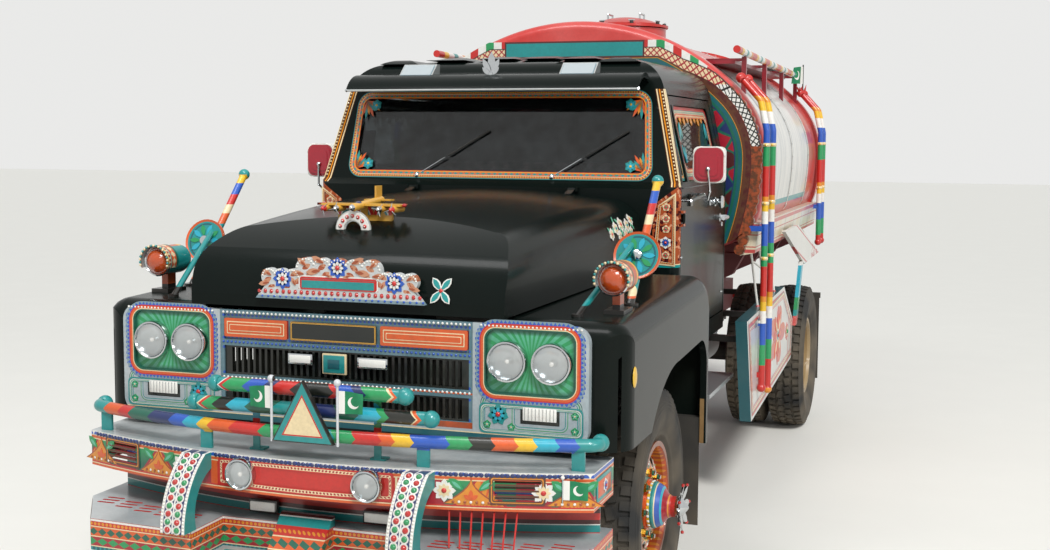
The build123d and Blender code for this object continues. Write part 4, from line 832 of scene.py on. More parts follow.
    def copies(self, verts: Iterable, centre: Point, axis: Point, count: int) -> None:
        """Repeats some points' faces evenly round an axis.

        Args:
            verts: The points of what is repeated.
            centre: A place on the axis.
            axis: The axis.
            count: How many there are in the end.
        """
        verts = list(verts)
        edges = {edge for vert in verts for edge in vert.link_edges}
        faces = {face for vert in verts for face in vert.link_faces}
        bmesh.ops.spin(
            self.mesh, geom=[*verts, *edges, *faces], cent=centre, axis=axis,
            angle=math.tau * (count - 1) / count, steps=count - 1, use_duplicate=True,
        )

    def warp(self, verts: Iterable, rule: Callable[[Vector], Point]) -> None:
        """Carries points on to a curved surface by a rule."""
        for vert in verts:
            vert.co = Vector(rule(vert.co))

    def done(self) -> bpy.types.Object:
        """Makes the mesh an object that rides on its body.

        Returns:
            The object.
        """
        data = bpy.data.meshes.new(self.name)
        self.mesh.to_mesh(data)
        self.mesh.free()
        for finish in self.finishes:
            data.materials.append(finish.material())
        piece = bpy.data.objects.new(self.name, data)
        bpy.context.scene.collection.objects.link(piece)
        data.set_sharp_from_angle(angle=math.radians(35))
        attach(piece, self.body)
        LOG.info("piece %s: %d faces on %s", self.name, len(data.polygons), self.body)
        return piece


class Ground:
    """A CAD node's surface, for laying ornament on it."""

    def __init__(self, *nodes: str) -> None:
        """Reads the nodes' meshes.

        Args:
            *nodes: The nodes' names.
        """
        mesh = bmesh.new()
        for node in nodes:
            mesh.from_mesh(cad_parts[node].data)
        self.tree = BVHTree.FromBMesh(mesh)
        mesh.free()

    def touch(self, start: Point, way: Point) -> tuple[Vector, Vector]:
        """Where a line from a place first meets the surface.

        Args:
            start: Where it starts.
            way: Which way it goes.

        Returns:
            The place met and the direction outwards there.
        """
        hit, normal, _, _ = self.tree.ray_cast(Vector(start), Vector(way).normalized())
        if hit is None:
            return Vector(start), -Vector(way).normalized()
        return hit, (-normal if normal.dot(Vector(way)) > 0 else normal)


def ring_line(half_u: float, half_v: float, corner: float, u: float = 0.0, v: float = 0.0, steps: int = 6) -> list:
    """The line of a rectangle with round corners, flat.

    Args:
        half_u: Half its width.
        half_v: Half its height.
        corner: The corners' radius.
        u: Its middle, flat.
        v: Its middle, flat.
        steps: How many steps a corner has.

    Returns:
        Its points, in order.
    """
    points = []
    for i, (su, sv) in enumerate(((1, 1), (-1, 1), (-1, -1), (1, -1))):
        for step in range(steps + 1):
            turn = math.pi / 2 * (i + step / steps)
            reach_u, reach_v = su * (half_u - corner), sv * (half_v - corner)
            points.append((u + reach_u + corner * math.cos(turn), v + reach_v + corner * math.sin(turn)))
    return points


def petal_line(length: float, width: float, turn: float, u: float = 0.0, v: float = 0.0, start: float = 0.0) -> list:
    """A pointed petal from a middle outwards, flat.

    Args:
        length: How long it is.
        width: How wide it is.
        turn: Which way it points.
        u: The flower's middle, flat.
        v: The flower's middle, flat.
        start: How far from the middle it begins.

    Returns:
        Its points, in order.
    """
    rows = [
        (0, 0.12), (0.25, 0.36), (0.5, 0.5), (0.75, 0.4), (1, 0), (0.75, -0.4), (0.5, -0.5), (0.25, -0.36), (0, -0.12)
    ]
    points = []
    for along, across in rows:
        a, b = start + along * length, across * width
        points.append((u + a * math.cos(turn) - b * math.sin(turn), v + a * math.sin(turn) + b * math.cos(turn)))
    return points


class Mark(Enum):
    """What a painted band carries."""

    PLAIN = "plain"
    DOTS = "dots"
    DIAMONDS = "diamonds"
    TEETH = "teeth"
    DASHES = "dashes"


@dataclass(frozen=True)
class Band:
    """One band of a painted border, from low to high across it."""

    low: float
    high: float
    ground: Pigment
    mark: Mark = Mark.PLAIN
    ink: Pigment = Pigment.WHITE
    pitch: float = 0.016

    def draw(self, s: Sketch, u: Signal, v: Signal) -> tuple:
        """Draws the band.

        Args:
            s: The material's sketch.
            u: The way along the border.
            v: The way across it.

        Returns:
            Its mask and its colour.
        """
        mid, high = (self.low + self.high) / 2, self.high - self.low
        across = v - mid
        marks = {
            Mark.DOTS: lambda: s.dots(u, across, self.pitch, min(high, self.pitch) * 0.36),
            Mark.DIAMONDS: lambda: s.diamonds(u, across, self.pitch, high * 0.85),
            Mark.TEETH: lambda: s.teeth(u, v - self.low, self.pitch, high * 0.9),
            Mark.DASHES: lambda: abs(s.wrap(u, self.pitch)) < self.pitch * 0.3
        }
        colour: Signal = self.ground
        if self.mark is not Mark.PLAIN:
            colour = s.blend(marks[self.mark](), self.ground, self.ink)
        return s.within(v, self.low, self.high), colour


@dataclass(frozen=True)
class Border(Pattern):
    """A painted border that follows a ribbon's own length."""

    bands: tuple[Band, ...]

    def draw(self, s: Sketch) -> Signal:
        """Draws the bands along the ribbon's UV map."""
        u, v, _ = s.split(s.uv)
        return s.over(self.bands[0].ground, *[band.draw(s, u, v) for band in self.bands])


def border(name: str, *bands: tuple) -> Finish:
    """A painted border's finish, from its bands."""
    return Finish(name, pattern=Border(tuple(Band(*band) for band in bands)), rough=0.3, coat=0.3, grain=150)


# Painted designs of the CAD's own surfaces


@dataclass(frozen=True)
class FasciaPaint(Pattern):
    """The bumper: a bright deck and a face of fans between lines, with a plain red field in its middle."""

    low: float = 0.752
    deck: float = 0.887
    field_half: float = 0.372

    def draw(self, s: Sketch) -> Signal:
        """Draws the deck, the lines and the fans.

        Args:
            s: The material's node tree.

        Returns:
            The colour.
        """
        v = s.z - self.low
        side = abs(s.x)
        colour: Signal = P.CRIMSON
        for middle, half in ((0.66, 0.1), (1.0, 0.075)):
            u = side - middle
            slope = abs(u) * 1 / half + v * 1 / 0.118
            fan = slope < 1.0
            leaf = s.both(abs(u) < half * 1.25, slope > 1.12)
            turn = s.do("ARCTAN2", v - -0.02, u)
            rays = s.do("SINE", turn * 26.0) > 0.55
            colour = s.over(colour, (leaf, s.blend(s.span(v, 0.05, 0.11), P.PINE, P.GREEN)), (fan, P.AMBER))
            colour = s.over(colour, (s.both(fan, rays), P.ORANGE))
            seeds = s.dots(u, v - 0.036, 0.036, 0.010)
            eyes = s.dots(u, v - 0.036, 0.036, 0.004)
            colour = s.over(colour, (s.both(fan, seeds), P.BROWN), (s.both(fan, eyes), P.CREAM))
        inside = side < self.field_half
        field_edge = s.within(side, self.field_half - 0.016, self.field_half - 0.008)
        colour = s.over(colour, (inside, P.RED), (field_edge, P.CREAM))
        colour = s.over(colour, (s.within(side, self.field_half, self.field_half + 0.03), P.ORANGE))
        for low, high, ink in (
            (0.0, 0.009, P.ORANGE), (0.009, 0.013, P.CREAM), (0.013, 0.019, P.RED),
            (0.107, 0.111, P.CREAM), (0.111, 0.121, P.ORANGE), (0.121, 0.124, P.CREAM), (0.124, 0.16, P.WHITE),
        ):
            colour = s.over(colour, (s.within(v, low, high), ink))
        bite = s.dots(s.x, v - 0.1245, 0.03, 0.0125)
        colour = s.over(colour, (s.both(bite, v > 0.124), P.BLUE))
        up = s.split(s.normal)[2] > 0.6
        deck = s.both(up, s.z > self.deck)
        inner = s.split(s.normal)[2] < -0.6
        return s.over(colour, (deck, s.blend(s.noise(9.0), P.SILVER, P.GREY)), (inner, P.BROWN))


@dataclass(frozen=True)
class ShelfPaint(Pattern):
    """The lower tier: a bright slotted top, a band of painted diamonds and a striped riser."""

    low: float = 0.5
    top: float = 0.622

    def draw(self, s: Sketch) -> Signal:
        """Draws the band, the riser and the top.

        Args:
            s: The material's node tree.

        Returns:
            The colour.
        """
        v = s.z - self.low
        run = s.x + s.y
        colour: Signal = P.ORANGE
        for low, high, ink in (
            (0.0, 0.012, P.TEAL), (0.012, 0.016, P.CREAM), (0.016, 0.05, P.CRIMSON), (0.05, 0.054, P.CREAM),
            (0.054, 0.09, P.ORANGE), (0.09, 0.094, P.CREAM), (0.094, 0.14, P.RED),
        ):
            colour = s.over(colour, (s.within(v, low, high), ink))
        lower = s.diamonds(run, v - 0.033, 0.06, 0.028)
        upper = s.diamonds(run, v - 0.072, 0.045, 0.03)
        beads = s.dots(run, v - 0.108, 0.02, 0.006)
        colour = s.over(colour, (lower, P.GREEN), (upper, P.PINE), (beads, P.AMBER))
        rise = s.z - self.top
        riser: Signal = P.MAROON
        for low, high, ink in (
            (0.0, 0.03, P.TEAL), (0.03, 0.034, P.WHITE), (0.05, 0.075, P.RED), (0.09, 0.12, P.TEAL),
            (0.12, 0.124, P.WHITE), (0.13, 0.15, P.BLUE), (0.16, 0.2, P.BROWN)
        ):
            riser = s.over(riser, (s.within(rise, low, high), ink))
        normal_z = s.split(s.normal)[2]
        flat = normal_z > 0.7
        above = s.z > self.top + 0.003
        grey = s.blend(s.noise(7.0), P.SILVER, P.GREY)
        return s.over(colour, (above, riser), (flat, grey), (normal_z < -0.6, P.IRON))


@dataclass(frozen=True)
class HoopPaint(Pattern):
    """An overrider: teal at its sides and a dark face between white edges."""

    middle: float = 0.45
    half: float = 0.051

    def draw(self, s: Sketch) -> Signal:
        """Draws the face and its edges by the distance across the bar.

        Args:
            s: The material's node tree.

        Returns:
            The colour.
        """
        across = abs(abs(s.x) - self.middle)
        colour: Signal = P.NAVY
        side = abs(s.split(s.normal)[0]) > 0.7
        edge = across > self.half - 0.012
        return s.over(colour, (edge, P.WHITE), (across < 0.003, P.WHITE), (side, P.TEAL))


@dataclass(frozen=True)
class TubePaint(Pattern):
    """The tubes over the bumper, in chevrons of many colours."""

    long_z: float = 0.985
    upper_z: float = 1.143
    lower_z: float = 1.067
    right: tuple = (
        (-1.1, P.TEAL), (-0.985, P.ORANGE), (-0.9, P.RED), (-0.84, P.PINE), (-0.73, P.NAVY), (-0.62, P.BLUE),
        (-0.55, P.CYAN), (-0.48, P.YELLOW), (-0.43, P.ORANGE), (-0.33, P.RED), (-0.2, P.GREEN), (-0.06, P.TEAL),
    )
    left: tuple = (
        (0.12, P.GREEN), (0.2, P.RED), (0.3, P.ORANGE), (0.35, P.YELLOW), (0.42, P.BLUE), (0.55, P.GREEN),
        (0.63, P.BLACK), (0.71, P.ORANGE), (0.79, P.YELLOW), (0.855, P.CYAN), (0.93, P.BLUE), (0.998, P.TEAL),
    )
    upper: tuple = (
        (-1.1, P.TEAL), (-0.385, P.WHITE), (-0.38, P.RED), (-0.365, P.GREEN), (-0.28, P.BLUE), (-0.2, P.NAVY),
        (-0.16, P.RED), (-0.08, P.BLACK), (0.1, P.RED), (0.125, P.BLUE), (0.19, P.NAVY), (0.23, P.GREEN),
        (0.33, P.CREAM), (0.34, P.ORANGE), (0.352, P.TEAL),
    )
    lower: tuple = (
        (-1.1, P.TEAL), (-0.475, P.CREAM), (-0.468, P.RED), (-0.455, P.GREEN), (-0.41, P.BLACK), (-0.35, P.CYAN),
        (-0.27, P.PINE), (-0.16, P.TEAL), (-0.04, P.NAVY), (0.12, P.PINE), (0.2, P.CYAN), (0.29, P.GREEN),
        (0.32, P.BLACK), (0.425, P.CREAM), (0.432, P.ORANGE), (0.447, P.TEAL),
    )

    def draw(self, s: Sketch) -> Signal:
        """Draws each tube's own row of colours, pointed by the distance from its middle line.

        Args:
            s: The material's node tree.

        Returns:
            The colour.
        """
        rows = []
        for height, stops, lean in (
            (self.long_z, self.right + self.left, 1.0), (self.upper_z, self.upper, 1.2),
            (self.lower_z, self.lower, 1.2)
        ):
            off = abs(s.z - height) * lean
            place = s.x + off * s.do("SIGN", s.x)
            rows.append(self._row(s, s.span(place, -1.1, 1.1), stops))
        colour = s.over(rows[0], (s.z > 1.015, rows[2]), (s.z > 1.105, rows[1]))
        post = s.both(s.z < 0.955, s.z > 0.0)
        return s.over(colour, (post, P.TEAL))

    @staticmethod
    def _row(s: Sketch, turn: Signal, stops: Sequence[tuple]) -> Signal:
        """A row of colours by their places in metres."""
        return s.over(stops[0][1], *[(turn > (place + 1.1) / 2.2, ink) for place, ink in stops[1:]])


@dataclass(frozen=True)
class NosePaint(Pattern):
    """The lamp panels: a painted frame round a green recess of rays, with painted shade darkening the recess near its
    rim, over a silver lower panel.
    """

    middle_x: float = 0.76
    middle_z: float = 1.248
    lamp: float = 0.8

    def draw(self, s: Sketch) -> Signal:
        """Draws the frame, the recess with painted shade along its rim, the lower panel's lines and its flower.

        Args:
            s: The material's node tree.

        Returns:
            The colour.
        """
        side = abs(s.x)
        u, v = side - self.middle_x, s.z - self.middle_z
        gap = s.pad(u, v, 0.172, 0.118, 0.04)
        colour: Signal = s.blend(s.noise(5.0), P.STEEL_BLUE, P.SILVER)
        run = u + v
        beads = s.dots(run, gap - 0.034, 0.022, 0.0085)
        for low, high, ink in (
            (-0.5, 0.006, P.PINE), (0.006, 0.010, P.CREAM), (0.010, 0.021, P.ORANGE), (0.021, 0.027, P.RED)
        ):
            colour = s.over(colour, (s.within(gap, low, high), ink))
        colour = s.over(colour, (beads, P.BLUE))
        turn = s.do("ARCTAN2", v, u)
        rays = s.do("SINE", turn * 34.0) > -0.1
        near = s.span(abs(v), 0.02, 0.11)
        green = s.over(P.GREEN, (s.both(rays, near), P.MINT))
        # Painted shade: inside the recess the green darkens to pine over the last 2 cm before its rim.
        colour = s.over(colour, (gap < 0.002, s.blend(s.span(gap, -0.02, 0.0), green, P.PINE)))
        low_u = side - 0.765
        low_v = s.z - 1.048
        ring = s.pad(low_u, low_v, 0.188, 0.066, 0.025)
        for at_ring, wide, ink in ((0.0, 0.0022, P.GREEN), (-0.008, 0.0015, P.TEAL), (0.008, 0.0015, P.PINE)):
            colour = s.over(colour, (s.within(ring, at_ring - wide, at_ring + wide), ink))
        lamp_ring = s.pad(side - self.lamp, s.z - 1.058, 0.1, 0.052, 0.02)
        colour = s.over(
            colour, (s.within(lamp_ring, -0.003, 0.0), P.TEAL), (s.within(lamp_ring, 0.006, 0.009), P.GREEN)
        )
        fu, fv = side - 0.638, s.z - 1.052
        colour = s.over(
            colour, (s.bloom(fu, fv, 0.036, 7), P.TEAL), (s.bloom(fu, fv, 0.02, 7), P.CYAN),
            (s.far(fu, fv) < 0.009, P.RED)
        )
        foot = s.z < 0.972
        return s.over(colour, (foot, P.DEEP_TEAL), (s.within(s.z, 0.972, 0.976), P.CREAM))


@dataclass(frozen=True)
class GrillePaint(Pattern):
    """The grille: black banks between blue-grey bars with dotted edges, under a painted upper board."""

    plate: tuple = (-0.222, 0.144)

    def draw(self, s: Sketch) -> Signal:
        """Draws the bars, the banks and the upper board.

        Args:
            s: The material's node tree.

        Returns:
            The colour.
        """
        bars = s.blend(s.noise(8.0), P.DEEP_TEAL, P.STEEL_BLUE)
        colour: Signal = bars
        left, right = self.plate
        for u0, u1 in ((-0.516, left - 0.016), (right + 0.016, 0.516)):
            u = s.x - (u0 + u1) / 2
            board = s.pad(u, s.z - 1.318, (u1 - u0) / 2, 0.036, 0.004)
            colour = s.over(
                colour, (board < 0.0, P.CRIMSON), (board < -0.005, P.ORANGE), (board < -0.014, P.CREAM),
                (board < -0.023, P.GREY)
            )
        for z in (1.366, 1.276, 1.238, 1.137, 1.094, 1.016):
            colour = s.over(colour, (s.dots(s.x, s.z - z, 0.018, 0.0055), P.BLUE))
        colour = s.over(colour, (s.within(s.z, 1.113, 1.119), P.ORANGE))
        colour = s.over(colour, (s.within(s.z, 0.985, 1.008), s.blend(s.noise(20.0), P.ORANGE, P.BROWN)))
        deep = s.y > -0.8905
        low = s.z < 1.25
        return s.over(colour, (s.both(deep, low), P.BLACK))


@dataclass(frozen=True)
class CabPaint(Pattern):
    """The cab: black, with striped pillars and a flowered cowl at its front corners."""

    belt: float = 1.84
    lean: float = 0.2347

    def draw(self, s: Sketch) -> Signal:
        """Draws the black, the pillars' stripes and the cowl's flowers.

        Args:
            s: The material's node tree.

        Returns:
            The colour.
        """
        side = abs(s.x)
        rise = s.z - 1.83
        from_edge = 0.95 - rise * self.lean - side
        stripes = s.over(
            P.BROWN, (s.within(from_edge, -0.02, 0.004), P.CREAM), (s.within(from_edge, 0.02, 0.026), P.AMBER),
            (s.within(from_edge, 0.034, 0.04), P.CREAM),
        )
        pillar = s.both(s.within(s.z, self.belt, 2.31), s.y < 0.935, from_edge < 0.044, from_edge > -0.02)
        lumps = s.cells(70.0, output="Color")
        petals = s.split(lumps)[0]
        cowl = s.over(
            P.BRICK, (petals > 0.6, P.MAROON), (petals > 0.84, P.PEACH),
            (s.within(s.cells(70.0), 0.0, 0.003), P.YELLOW)
        )
        for low, high, ink in ((1.455, 1.468, P.TEAL), (1.468, 1.472, P.CREAM)):
            cowl = s.over(cowl, (s.within(s.z, low, high), ink))
        slope = s.z - (side - 0.823) * 0.75
        corner = s.both(s.z > 1.455, slope < 1.752, side > 0.823, s.y < 0.815)
        return s.over(P.BLACK, (corner, cowl), (pillar, stripes))


@dataclass(frozen=True)
class TankPaint(Pattern):
    """The tank: streaked silver between red ends, with a red crown, a red foot and a teal line over it."""

    front: float = 2.335
    rear: float = 4.5

    def draw(self, s: Sketch) -> Signal:
        """Draws the sheet, its streaks and the red parts.

        Args:
            s: The material's node tree.

        Returns:
            The colour.
        """
        streak = s.noise(1.0, 4.0, 0.7, s.join(s.x * 2.0, s.y * 14.0, s.z * 1.1))
        sheet = s.blend(s.span(streak, 0.4, 0.95), P.WHITE, P.GREY)
        rust = s.noise(1.0, 5.0, 0.7, s.join(0.0, s.y * 22.0, s.z * 2.5))
        sheet = s.blend(s.span(rust, 0.62, 0.8) * 0.45, sheet, P.TAN)
        seam = abs(s.wrap(s.y - 0.1, 0.86)) < 0.004
        sheet = s.over(sheet, (seam, P.GREY))
        red = s.blend(s.span(s.noise(3.0), 0.3, 0.7), P.RED, P.ROSE)
        for low, high, ink in ((-1.0, 1.655, red), (1.655, 1.69, P.TEAL)):
            sheet = s.over(sheet, (s.within(s.z, low, high), ink))
        return s.over(sheet, (s.z > 2.5, red), (s.y < self.front, red), (s.y > self.rear, red))


@dataclass(frozen=True)
class BoardPaint(Pattern):
    """The board before the tank: rings of lattice, brown, line and teal round a dark flowered field."""

    top: float = 2.64
    shoulder_x: float = 0.55
    shoulder_r: float = 0.568
    flank_x: float = -0.39
    flank_r: float = 1.508
    middle_z: float = 1.95
    crown_z: float = 1.414
    crown_r: float = 1.336
    crown_share: float = 1.026

    def draw(self, s: Sketch) -> Signal:
        """Draws the rings by their distance in from the board's outline, and the flowers inside them.

        Args:
            s: The material's node tree.

        Returns:
            The colour.
        """
        side = abs(s.x)
        up = s.z - self.middle_z
        over = side - self.shoulder_x
        shoulder = self.shoulder_r - s.far(over, up)
        flank = self.flank_r - s.far(side - self.flank_x, up)
        high = up > 0.0
        deep = shoulder * high + flank * (1.0 - high)
        rise = s.z - self.crown_z
        crown = self.crown_r - s.far(side, rise)
        above = rise * self.crown_share > side
        below = 1.0 - above
        deep = crown * above + deep * below
        top_deep = self.top - s.z
        deep = s.do("MINIMUM", deep, top_deep)
        turned = s.do("ARCTAN2", up, over) * 0.54
        along = side * above + turned * below
        warp = (s.noise(5.0, 2.0) - 0.5) * 0.06
        lumps = s.join(side + warp, 0.0, s.z + warp)
        petals = s.split(s.cells(9.0, lumps, output="Color"))[0]
        vein = s.cells(9.0, lumps, "DISTANCE_TO_EDGE") < 0.05
        field = s.over(
            P.NAVY, (petals > 0.35, P.MAROON), (petals > 0.68, P.CRIMSON), (petals > 0.88, P.BRICK), (vein, P.PINE)
        )
        colour = s.over(
            field, (deep < 0.152, P.NAVY), (deep < 0.146, P.PINE), (deep < 0.13, P.DEEP_TEAL), (deep < 0.112, P.PINE),
            (deep < 0.105, P.AMBER), (deep < 0.102, P.BROWN),
            (deep < 0.085, s.blend(s.span(s.noise(30.0), 0.4, 0.6), P.BROWN, P.MAROON)), (deep < 0.06, P.MAROON),
            (deep < 0.055, s.blend(s.span(s.noise(45.0), 0.4, 0.6), P.BROWN, P.BRICK))
        )
        shift = (1.0 - s.span(side, 0.66, 0.84)) * 0.04
        inner_deep = deep - shift
        lines = s.do("MINIMUM", abs(s.wrap(along + inner_deep, 0.036)), abs(s.wrap(along - inner_deep, 0.036)))
        knots = lines < 0.0048
        lattice = s.over(P.WHITE, (knots, P.BLACK))
        lattice = s.over(lattice, (s.z > 2.38, s.over(P.CREAM, (knots, P.CRIMSON))), (inner_deep < 0.005, P.BLACK))
        strip = s.both(s.within(inner_deep, 0.0, 0.052), s.z > 2.03)
        colour = s.over(colour, (strip, lattice))
        checks = s.cycle(side, 0.2, ((0.05, P.RED), (0.05, P.WHITE), (0.05, P.GREEN), (0.05, P.WHITE)))
        top = s.both(inner_deep < 0.0, s.z > 2.4)
        colour = s.over(colour, (top, checks))
        banner = s.both(top_deep < 0.1, side < 0.43)
        inner = s.both(s.within(top_deep, 0.01, 0.09), side < 0.42)
        return s.over(colour, (banner, P.MAROON), (inner, P.TEAL))


@dataclass(frozen=True)
class PostPaint(Pattern):
    """The side posts: a row of colours that repeats down their length."""

    start: float = 1.344

    def draw(self, s: Sketch) -> Signal:
        """Draws the colours by height.

        Args:
            s: The material's node tree.

        Returns:
            The colour.
        """
        up = s.z - self.start
        colours = (
            (0.118, P.GREEN), (0.124, P.BLUE), (0.071, P.WHITE), (0.055, P.YELLOW), (0.03, P.AMBER), (0.174, P.RED)
        )
        return s.cycle(up, 0.572, colours)


@dataclass(frozen=True)
class RailPaint(Pattern):
    """The roof rails and their trays: short stripes along the rail over brown-red trays."""

    def draw(self, s: Sketch) -> Signal:
        """Draws the stripes along the truck.

        Args:
            s: The material's node tree.

        Returns:
            The colour.
        """
        colours = ((0.16, P.RED), (0.07, P.YELLOW), (0.09, P.WHITE), (0.07, P.TEAL), (0.09, P.WHITE), (0.06, P.AMBER))
        stripes = s.cycle(s.y - 0.1, 0.54, colours)
        line = s.do("MULTIPLY_ADD", s.y - 2.33, -0.0133, 2.59)
        off = s.far(abs(s.x) - 0.94, s.z - line)
        rest = s.blend(s.noise(6.0), P.CRIMSON, P.MAROON)
        return s.over(stripes, (off > 0.024, rest))


@dataclass(frozen=True)
class PlankPaint(Pattern):
    """The planks along the tank's foot: cream with thin red lines, and the teal strip before the rear wheel."""

    def draw(self, s: Sketch) -> Signal:
        """Draws the lines by height and the strip by its place.

        Args:
            s: The material's node tree.

        Returns:
            The colour.
        """
        colour: Signal = s.blend(s.span(s.noise(4.0), 0.3, 0.8), P.WHITE, P.CREAM)
        for z, wide, ink in (
            (1.57, 0.012, P.ROSE), (1.52, 0.003, P.RED), (1.45, 0.003, P.RED), (1.425, 0.01, P.ROSE)
        ):
            colour = s.over(colour, (s.within(s.z, z - wide, z + wide), ink))
        end = abs(s.wrap(s.y, 0.42)) < 0.006
        colour = s.over(colour, (end, P.GREY))
        out = abs(s.x) > 1.1155
        line = s.z + s.y * 0.2196
        plank = s.over(P.WHITE, (s.within(line, 2.12, 2.135), P.ROSE), (s.within(line, 2.29, 2.3), P.ROSE))
        tip = s.both(s.y > 4.55, s.z < 1.3)
        plank = s.over(plank, (s.both(tip, s.noise(18.0) > 0.5), P.RED))
        low = s.z < 1.19
        strip = s.over(
            P.TEAL, (s.within(s.z, 0.98, 1.19), P.CYAN), (s.within(s.z, 0.9, 0.98), P.GREEN), (s.z < 0.86, P.ROSE)
        )
        return s.over(colour, (out, plank), (s.both(out, low), strip))


@dataclass(frozen=True)
class SideBoardPaint(Pattern):
    """The big low side boards: white with red lines, a red and cream sunburst and a dark front edge."""

    def draw(self, s: Sketch) -> Signal:
        """Draws the lines, the burst, and the dark front edge.

        Args:
            s: The material's node tree.

        Returns:
            The colour.
        """
        base = s.blend(s.span(s.noise(5.0), 0.3, 0.7), P.WHITE, P.SILVER)
        u, v = s.y - 3.0, s.z - 0.83
        turn = s.do("ARCTAN2", v, u)
        reach = s.far(u, v * 1.8)
        burst = s.bloom(u, v * 1.8, 0.34, 5, 0.55)
        rays = s.do("SINE", turn * 10.0) > 0.2
        colour = s.over(
            base, (burst, P.ROSE), (s.both(burst, rays), P.ORANGE), (s.bloom(u, v * 1.8, 0.19, 4, 0.6), P.CREAM),
            (reach < 0.05, P.GREEN)
        )
        for y0, wide in ((2.55, 0.012), (3.5, 0.01)):
            colour = s.over(colour, (abs(s.y - y0) < wide, P.ROSE))
        low = s.z - s.do("MULTIPLY_ADD", s.y - 2.0, 0.0675, 0.473)
        colour = s.over(colour, (s.within(low, 0.02, 0.035), P.RED), (s.within(low, 0.05, 0.055), P.ROSE))
        front_line = s.y + s.z * 0.358
        colour = s.over(colour, (front_line < 2.215, P.GREY), (front_line < 2.2, P.WHITE))
        sideways = abs(s.split(s.normal)[0])
        thin = sideways < 0.5
        arm = abs(s.x) < 1.05
        return s.over(colour, (thin, P.DEEP_TEAL), (arm, P.SOOT))


@dataclass(frozen=True)
class WheelPaint(Pattern):
    """A road wheel: rings of colour round its own axle, with petals between the hand holes."""

    axle_y: float
    bright: bool

    def draw(self, s: Sketch) -> Signal:
        """Draws the rings by the distance from the axle.

        Args:
            s: The material's node tree.

        Returns:
            The colour.
        """
        u, v = s.y - self.axle_y, s.z - WHEEL_Z
        reach, turn = s.far(u, v), s.do("ARCTAN2", v, u)
        if not self.bright:
            return s.over(P.TAN, (reach < 0.235, s.blend(s.noise(12.0), P.BROWN, P.TAN)), (reach < 0.11, P.ORANGE))
        out = abs(s.x)
        step = math.tau / 8
        hole_turn = s.do("WRAP", turn, step, 0.0)
        hu = reach * s.do("SINE", hole_turn - step / 2)
        hole = s.far(hu, reach - 0.192)
        flower_turn = s.wrap(turn, step)
        fu = reach * s.do("SINE", flower_turn)
        ring = s.far(fu, reach - 0.194)
        beads = s.dots(turn * 0.24, reach - 0.24, 0.0314, 0.008)
        grime = s.blend(s.span(s.noise(9.0), 0.35, 0.7), P.ORANGE, P.BRICK)
        disc = s.over(
            grime, (s.within(ring, 0.03, 0.034), P.GREEN), (ring < 0.03, P.MAROON),
            (s.within(hole, 0.033, 0.037), P.CREAM), (hole < 0.033, P.SOOT), (beads, P.AMBER),
            (reach > 0.25, s.blend(s.noise(14.0), P.BROWN, P.BRICK)), (s.within(reach, 0.15, 0.156), P.YELLOW),
            (s.within(reach, 0.112, 0.15), P.PINE)
        )
        hub = s.steps(
            s.span(out, 1.0, 1.14),
            (
                (0.0, P.ORANGE), (0.1, P.YELLOW), (0.18, P.TEAL), (0.3, P.CREAM), (0.33, P.BLUE), (0.47, P.CYAN),
                (0.52, P.CRIMSON), (0.66, P.AMBER), (0.7, P.RED), (0.9, P.CHROME)
            )
        )
        return s.over(disc, (s.both(reach < 0.112, out > 1.0), hub))


@dataclass(frozen=True)
class CrestPaint(Pattern):
    """The bonnet's crest: silver-white with orange leaves round a teal board, and gilt for what stands behind it."""

    base: float = 1.446

    def draw(self, s: Sketch) -> Signal:
        """Draws the crest's face by its height, and the gilding behind it.

        Args:
            s: The material's node tree.

        Returns:
            The colour.
        """
        v = s.z - self.base
        leaf = s.do("SINE", s.do("MULTIPLY_ADD", abs(s.x), 95.0, v * 60.0))
        curl = leaf * s.do("SINE", v * 110.0) > 0.25
        colour = s.over(P.SILVER, (curl, P.PEACH), (s.both(curl, s.noise(70.0) > 0.5), P.BRICK))
        board = s.pad(s.x, v - 0.066, 0.155, 0.017, 0.003)
        colour = s.over(colour, (board < 0.012, P.WHITE), (board < 0.007, P.RED), (board < 0.0, P.TEAL))
        beads = s.dots(s.x, v - 0.03, 0.026, 0.007)
        colour = s.over(colour, (v < 0.042, P.SILVER), (beads, P.RED), (v < 0.012, P.STEEL_BLUE))
        behind = s.y > -0.9
        return s.over(colour, (behind, P.GOLD))


@dataclass(frozen=True)
class StalkPaint(Pattern):
    """The wing lamps and their stalks: orange lamps in flowered hoods, striped stalks and teal discs."""

    def draw(self, s: Sketch) -> Signal:
        """Draws each part by its place along the wing.

        Args:
            s: The material's node tree.

        Returns:
            The colour.
        """
        side = abs(s.x)
        hood = s.blend(s.noise(25.0), P.ORANGE, P.BRICK)
        hood = s.over(hood, (s.within(s.y, -0.505, -0.49), P.YELLOW), (s.y < -0.622, P.ORANGE))
        colours = (
            (0.05, P.TEAL), (0.045, P.ORANGE), (0.04, P.CREAM), (0.045, P.RED), (0.05, P.BLUE), (0.04, P.YELLOW)
        )
        stalk = s.cycle(s.z, 0.27, colours)
        u, v = side - 1.0, s.z - 1.6
        disc = s.both(s.within(s.far(u, v), 0.019, 0.2), s.within(s.y, -0.32, -0.19))
        brace = side < 0.978
        colour = s.over(
            stalk, (disc, P.TEAL), (s.both(disc, s.within(s.far(u, v), 0.07, 0.078)), P.DEEP_TEAL), (brace, P.TEAL)
        )
        foot = s.both(s.z < 1.437, s.z > 0.0)
        return s.over(colour, (s.y < -0.46, s.over(hood, (brace, P.TEAL))), (foot, P.SOOT))


